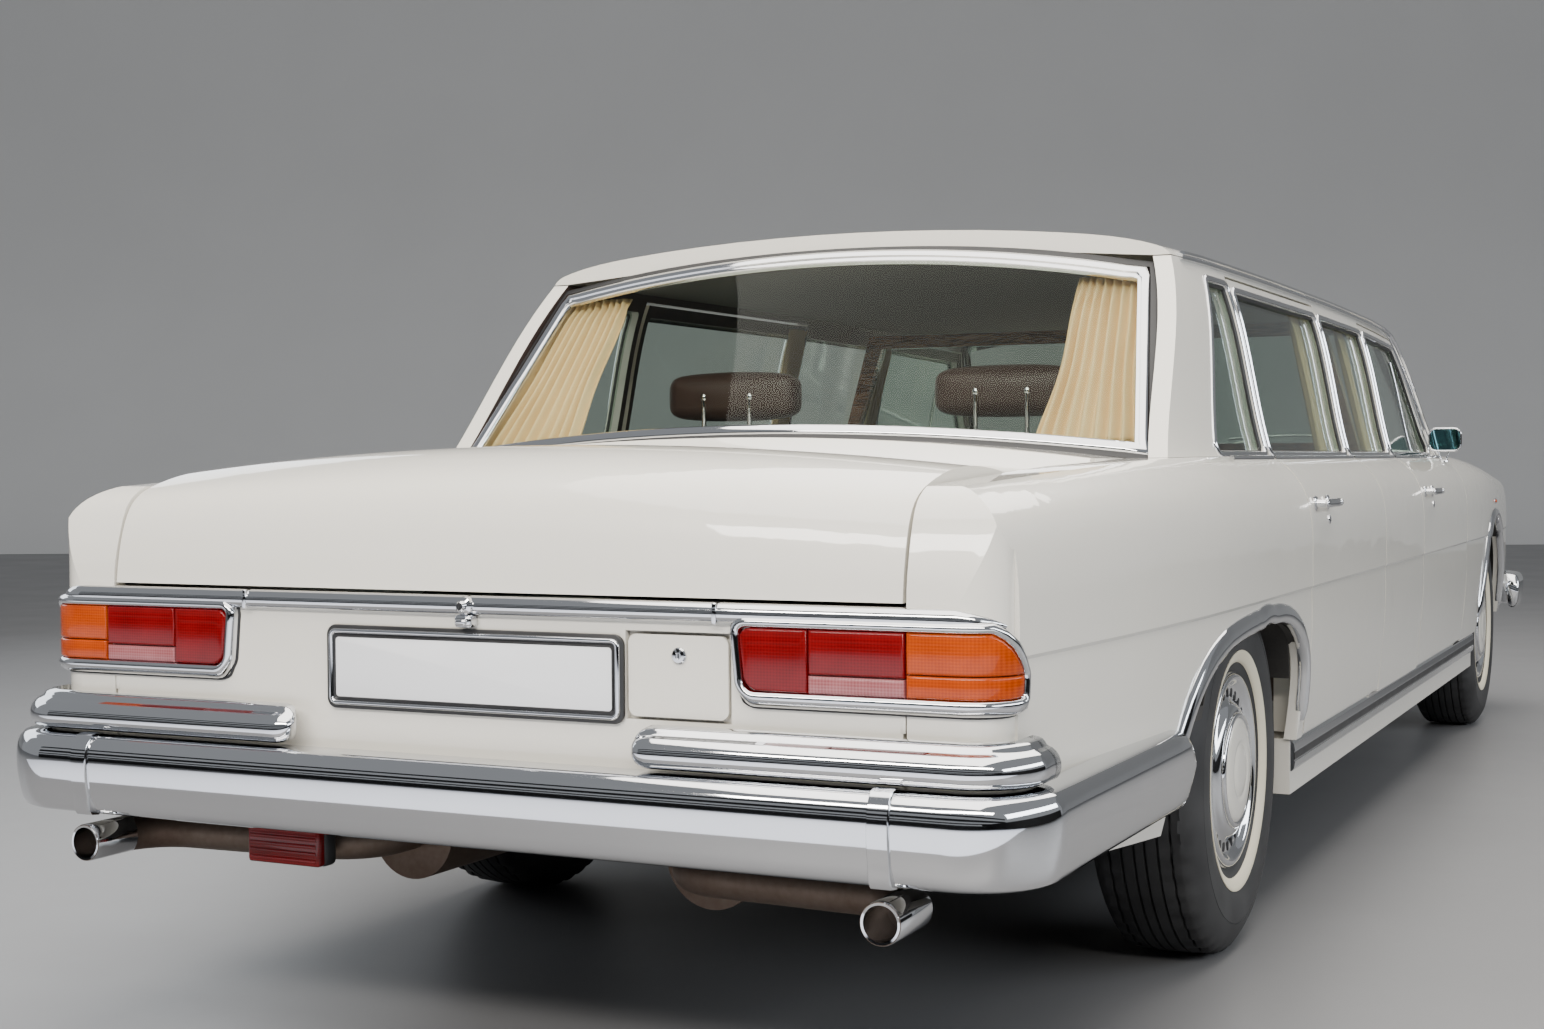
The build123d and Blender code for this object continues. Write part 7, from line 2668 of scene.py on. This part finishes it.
@dataclass
class Cabin:
    """Dashboard dials, steering wheel, mirror, partition trim and door trim."""

    nodes: dict[str, bpy.types.Object]
    hub: Point = (-0.370, 1.085, 0.820)
    lean: float = math.radians(20)

    def build(self) -> None:
        """Builds the cabin's pieces."""
        self.dials()
        self.steering_wheel()
        self.mirror()
        self.partition_trim()
        self.door_trim()

    def dials(self) -> None:
        """Round dials with plain marks, and a clock."""
        skin = Skin(self.nodes, "dashboard")
        rings, faces, marks = Work(), Work(), Work()
        for x, radius in ((-0.445, 0.046), (-0.335, 0.046), (-0.245, 0.024), (-0.535, 0.024), (0.02, 0.030)):
            seen = skin.look((x, 0.5, 0.860), (0, 1, 0))
            if not seen:
                continue
            at, out = seen
            rings.lathe(
                [(radius, -0.002), (radius + 0.005, 0.0), (radius + 0.004, 0.007), (radius, 0.009), (radius - 0.002, 0.004), (radius - 0.002, -0.002), (radius, -0.002)],
                at,
                out,
                48,
            )
            faces.lathe([(0, 0.0012), (radius, 0.0012), (radius, -0.001), (0, -0.001)], at, out, 32)
            across = out.cross(Vector((0, 0, 1))).normalized()
            up = across.cross(out).normalized()
            for i in range(11):
                turn = math.radians(225 - 27 * i)
                arm = across * -math.cos(turn) + up * math.sin(turn)
                a, b = at + arm * radius * 0.74 + out * 0.0016, at + arm * radius * 0.90 + out * 0.0016
                marks.tube([a, b], 0.0007, 5)
            marks.tube([at + out * 0.002, at + (across * 0.5 + up * 0.6) * radius + out * 0.002], 0.0008, 5)
        rings.done("dial_rings", CHROME, "root", "chrome")
        faces.done("dial_faces", PLATE_WHITE, "root", "dash_wood")
        marks.done("dial_marks", SEAL, "root", "dash_wood")

    def steering_wheel(self) -> None:
        """The wheel: slim ivory rim, three spokes and a plated horn ring."""
        turn = Matrix.Translation(self.hub) @ Matrix.Rotation(-self.lean, 4, "X")
        rim = Work()
        circle = [2 * math.pi * i / 72 for i in range(72)]
        radius = 0.200

        def ring(work: Work, reach: float, height: float, thick: float, sides: int) -> None:
            """A round bar bent to a circle about the column."""
            path = [Vector((reach * math.cos(t), height, reach * math.sin(t))) for t in circle]
            section = [
                (thick * math.cos(2 * math.pi * i / sides), thick * math.sin(2 * math.pi * i / sides))
                for i in range(sides)
            ]
            work.sweep(section, stations(path, [Vector((0, 1, 0))] * 72, True), True)

        ring(rim, radius, 0.0, 0.0105, 14)
        rim.moved(turn)
        made = [rim.done("steering_rim", IVORY_PLASTIC, "steering_wheel", "trim_cloth")]
        spokes = Work()
        for degrees in (0, 180, 270):
            t = math.radians(degrees)
            way = Vector((math.cos(t), 0, math.sin(t)))
            spokes.tube([way * 0.02, way * 0.11 + Vector((0, 0.004, 0)), way * radius], 0.0075, 12)
        spokes.lathe([(0, -0.030), (0.026, -0.028), (0.038, -0.018), (0.042, 0.0), (0.036, 0.022), (0, 0.022)], (0, 0, 0), (0, 1, 0), 40)
        spokes.moved(turn)
        made.append(spokes.done("steering_spokes", IVORY_PLASTIC, "steering_wheel", "trim_cloth"))
        horn = Work()
        ring(horn, 0.118, -0.012, 0.0035, 10)
        horn.moved(turn)
        horn.done("horn_ring", CHROME, "steering_wheel", "chrome")
        stand_for(made, "steering_wheel")

    def mirror(self) -> None:
        """The rear-view mirror under the windscreen's head."""
        work = Work().block((-0.095, 1.000, 1.300), (0.095, 1.014, 1.352), 0.006, 3)
        work.tube([Vector((0, 1.010, 1.340)), Vector((0, 1.040, 1.392))], 0.004, 10)
        work.done("cabin_mirror", BLACK_PLASTIC, "root", "trim_cloth")
        pane = Work().block((-0.090, 0.9985, 1.304), (0.090, 1.001, 1.348), 0.001)
        pane.done("cabin_mirror_glass", CHROME, "root", "glass")

    def partition_trim(self) -> None:
        """Grab bars on the partition, for the rear passengers."""
        low, _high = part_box("partition_wall")
        work = Work()
        for sign in (-1, 1):
            a, b = Vector((sign * 0.42, low[1] - 0.030, 0.860)), Vector((sign * 0.18, low[1] - 0.030, 0.860))
            work.tube([a + Vector((0, 0.032, 0)), a, b, b + Vector((0, 0.032, 0))], 0.007, 12)
        work.done("partition_grab_bars", CHROME, "root", "chrome")

    def door_trim(self) -> None:
        """Arm rests, pull handles and window cranks on the doors' inner faces."""
        for end in ("front", "rear"):
            skin = Skin(self.nodes, f"{end}_door_right")
            low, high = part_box(f"{end}_door_right")
            middle = (low[1] + high[1]) / 2
            seen = skin.look((0.2, middle, 0.780), (1, 0, 0))
            if not seen:
                continue
            x = seen[0].x
            for side in Side:
                body = f"{end}_door_{side.word}"
                rest = Work().block((x - 0.048, middle - 0.17, 0.700), (x + 0.002, middle + 0.15, 0.742), 0.016, 4)
                flipped(rest, side).done(f"{end}_arm_rest_{side.word}", DARK_LEATHER, body, "leather", 60)
                metal = Work()
                metal.lathe([(0, 0.018), (0.010, 0.017), (0.014, 0.008), (0.016, 0.0), (0, 0.0)], (x, middle + 0.23, 0.640), (-1, 0, 0), 24)
                metal.tube([Vector((x - 0.014, middle + 0.23, 0.640)), Vector((x - 0.020, middle + 0.23, 0.570))], 0.005, 10)
                metal.ball((x - 0.026, middle + 0.23, 0.572), 0.010)
                metal.tube(
                    [Vector((x, middle - 0.26, 0.830)), Vector((x - 0.022, middle - 0.25, 0.830)), Vector((x - 0.022, middle - 0.17, 0.830))],
                    0.005,
                    10,
                )
                flipped(metal, side).done(f"{end}_door_handles_{side.word}", CHROME, body, "chrome", 50)


# ---------------------------------------------------------------- underside pieces


def exhaust_tips() -> None:
    """Polished sleeves on the ends of the twin exhaust pipes."""
    work = Work()
    low, _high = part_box("exhaust_pipes")
    profile = [(0.0265, 0.0), (0.0265, -0.004), (0.030, -0.0045), (0.032, -0.001), (0.032, 0.115)]
    profile += [(0.0312, 0.118), (0.0265, 0.118), (0.0265, 0.0)]
    work.lathe(profile, (0.742, low[1] + 0.004, 0.353), (0, 1, 0), 40)
    work.mirrored().done("exhaust_tips", CHROME, "root", "chrome", 40)


# ---------------------------------------------------------------- stage


@dataclass
class Stage:
    """Floor, pale surroundings, soft lights and the camera."""

    eye: Point = (1.8518, -5.7148, 1.0020)
    yaw: float = math.radians(26.066)
    pitch: float = math.radians(-1.506)
    roll: float = math.radians(-0.361)
    lens: float = 47.38
    wall_reach: float = 23.0
    wall_cove: float = 5.0
    card_reach: float = 9.0
    bands: tuple[Flat, ...] = ((0.0, 1.15), (1.55, 2.1), (2.9, 4.1), (5.4, 6.4))

    def build(self) -> None:
        """Builds the stage and sets the camera."""
        self.screen("floor", [(-45.0, 0.0), (45.0, 0.0)], 90.0, 0.0, FLOOR)
        reach, cove = self.wall_reach, self.wall_cove
        bend = [
            (reach + cove * math.sin(t), 0.002 + cove * (1 - math.cos(t)))
            for t in (math.pi / 2 * i / 10 for i in range(11))
        ]
        self.screen("wall", [*bend, (reach + cove, 20.0)], 90.0, self.yaw, WALL)
        reach = self.card_reach
        cards = [
            ("card_right", [(reach, 0.0), (reach, 2.2)], 30.0, -math.pi / 2, DARK_CARD),
            ("card_floor", [(-1.6, 0.004), (0.55 * reach, 0.004)], 14.0, math.pi, PALE_CARD),
        ]
        for i, (low, high) in enumerate(self.bands):
            profile = [(reach, low), (reach, high)]
            cards.append((f"card_behind_{i}", profile, 34.0, math.pi, DARK_CARD))
        for name, profile, width, turn, finish in cards:
            card = self.screen(name, profile, width, turn, finish)
            card.visible_camera = False
            card.visible_shadow = False
        self.world()
        self.lights()
        self.camera()

    def screen(
        self, name: str, profile: Sequence[Flat], width: float, turn: float, finish
    ) -> bpy.types.Object:
        """A plain surface of the studio: an outline in distance and height, drawn out sideways.

        Args:
            name: The surface's name.
            profile: Distances ahead of the eye, or of the car for an unturned one, and heights.
            width: Its width.
            turn: Which way is ahead, as a turn about the upright.
            finish: Its finish.

        Returns:
            The surface.
        """
        work = bmesh.new()
        centre = Vector((self.eye[0], self.eye[1], 0)) if turn else Vector((0, 0, 0))
        spin = Matrix.Rotation(turn, 3, "Z")
        verts = [work.verts.new(centre + spin @ Vector((-width / 2, y, z))) for y, z in profile]
        edges = [work.edges.new(pair) for pair in zip(verts, verts[1:])]
        grown = bmesh.ops.extrude_edge_only(work, edges=edges)["geom"]
        new = [g for g in grown if isinstance(g, bmesh.types.BMVert)]
        bmesh.ops.translate(work, vec=spin @ Vector((width, 0, 0)), verts=new)
        bmesh.ops.recalc_face_normals(work, faces=work.faces)
        for face in work.faces:
            face.smooth = True
        data = bpy.data.meshes.new(name)
        work.to_mesh(data)
        work.free()
        made = bpy.data.objects.new(name, data)
        bpy.context.scene.collection.objects.link(made)
        data.materials.append(Paintbox.get(finish))
        return made

    def world(self) -> None:
        """An even grey all round."""
        world = bpy.data.worlds.new("studio")
        world.use_nodes = True
        sky = world.node_tree.nodes["Background"]
        sky.inputs["Color"].default_value = (0.78, 0.81, 0.85, 1.0)
        sky.inputs["Strength"].default_value = 0.40
        bpy.context.scene.world = world

    def lights(self) -> None:
        """Long softboxes over the car and at its sides."""
        warm, cool = (1.0, 0.955, 0.89), (0.90, 0.95, 1.0)
        boxes = (
            ("overhead", (0.3, -0.6, 4.8), (0.0, 0.0, 0.0), (5.0, 12.0), 850.0, warm),
            ("right_bank", (7.5, -1.0, 3.4), (0.0, 1.15, 0.0), (1.4, 12.0), 420.0, cool),
            ("left_bank", (-6.5, 0.5, 3.0), (0.0, -1.2, 0.0), (2.4, 8.0), 150.0, cool),
            ("behind_eye", (1.2, -8.5, 4.6), (0.95, 0.0, 0.15), (9.0, 0.9), 640.0, warm),
        )
        for name, place, turn, size, power, colour in boxes:
            data = bpy.data.lights.new(name, "AREA")
            data.shape = "RECTANGLE"
            data.size, data.size_y = size
            data.energy = power
            data.color = colour
            light = bpy.data.objects.new(name, data)
            light.location = place
            light.rotation_euler = turn
            bpy.context.scene.collection.objects.link(light)

    def camera(self) -> None:
        """The camera behind the car's right rear corner."""
        look = Vector(
            (
                -math.sin(self.yaw) * math.cos(self.pitch),
                math.cos(self.yaw) * math.cos(self.pitch),
                math.sin(self.pitch),
            )
        )
        right = Vector((math.cos(self.yaw), math.sin(self.yaw), 0))
        up = right.cross(look)
        side = right * math.cos(self.roll) + up * math.sin(self.roll)
        top = up * math.cos(self.roll) - right * math.sin(self.roll)
        data = bpy.data.cameras.new("camera")
        data.lens = self.lens
        data.sensor_width = 36.0
        camera = bpy.data.objects.new("camera", data)
        columns = (side, top, -look)
        turn = Matrix([[c[row] for c in columns] for row in range(3)]).to_4x4()
        camera.matrix_world = Matrix.Translation(self.eye) @ turn
        bpy.context.scene.collection.objects.link(camera)
        bpy.context.scene.camera = camera


# ---------------------------------------------------------------- the whole car


def road_wheels() -> None:
    """Builds the four wheels about the middles of their tyres."""
    for end in ("front", "rear"):
        for side in Side:
            low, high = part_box(f"{end}_tyre_{side.word}")
            RoadWheel(f"{end}_wheel_{side.word}", side, tuple((low + high) / 2)).build()


def main() -> None:
    """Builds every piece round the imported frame, then the stage."""
    logging.basicConfig(level=logging.INFO, format="%(message)s", force=True)
    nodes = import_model()["nodes"]
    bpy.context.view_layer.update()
    Panels(nodes).build()
    curve = TailCurve(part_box("tail_panel")[0][1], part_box("tail_lamps")[1][0] - 0.012)
    TailLamps(curve).build()
    TailTrim(curve).build()
    Bumpers(-3.120, 3.120, 0.963).build()
    road_wheels()
    SideTrim(nodes, -1.620, 2.280).build()
    DoorFittings(nodes).build()
    Screens(nodes).build()
    Nose(nodes).build()
    Curtains(nodes).build()
    Seats(nodes).build()
    Cabin(nodes).build()
    exhaust_tips()
    Stage().build()


if __name__ == "__main__":
    main()
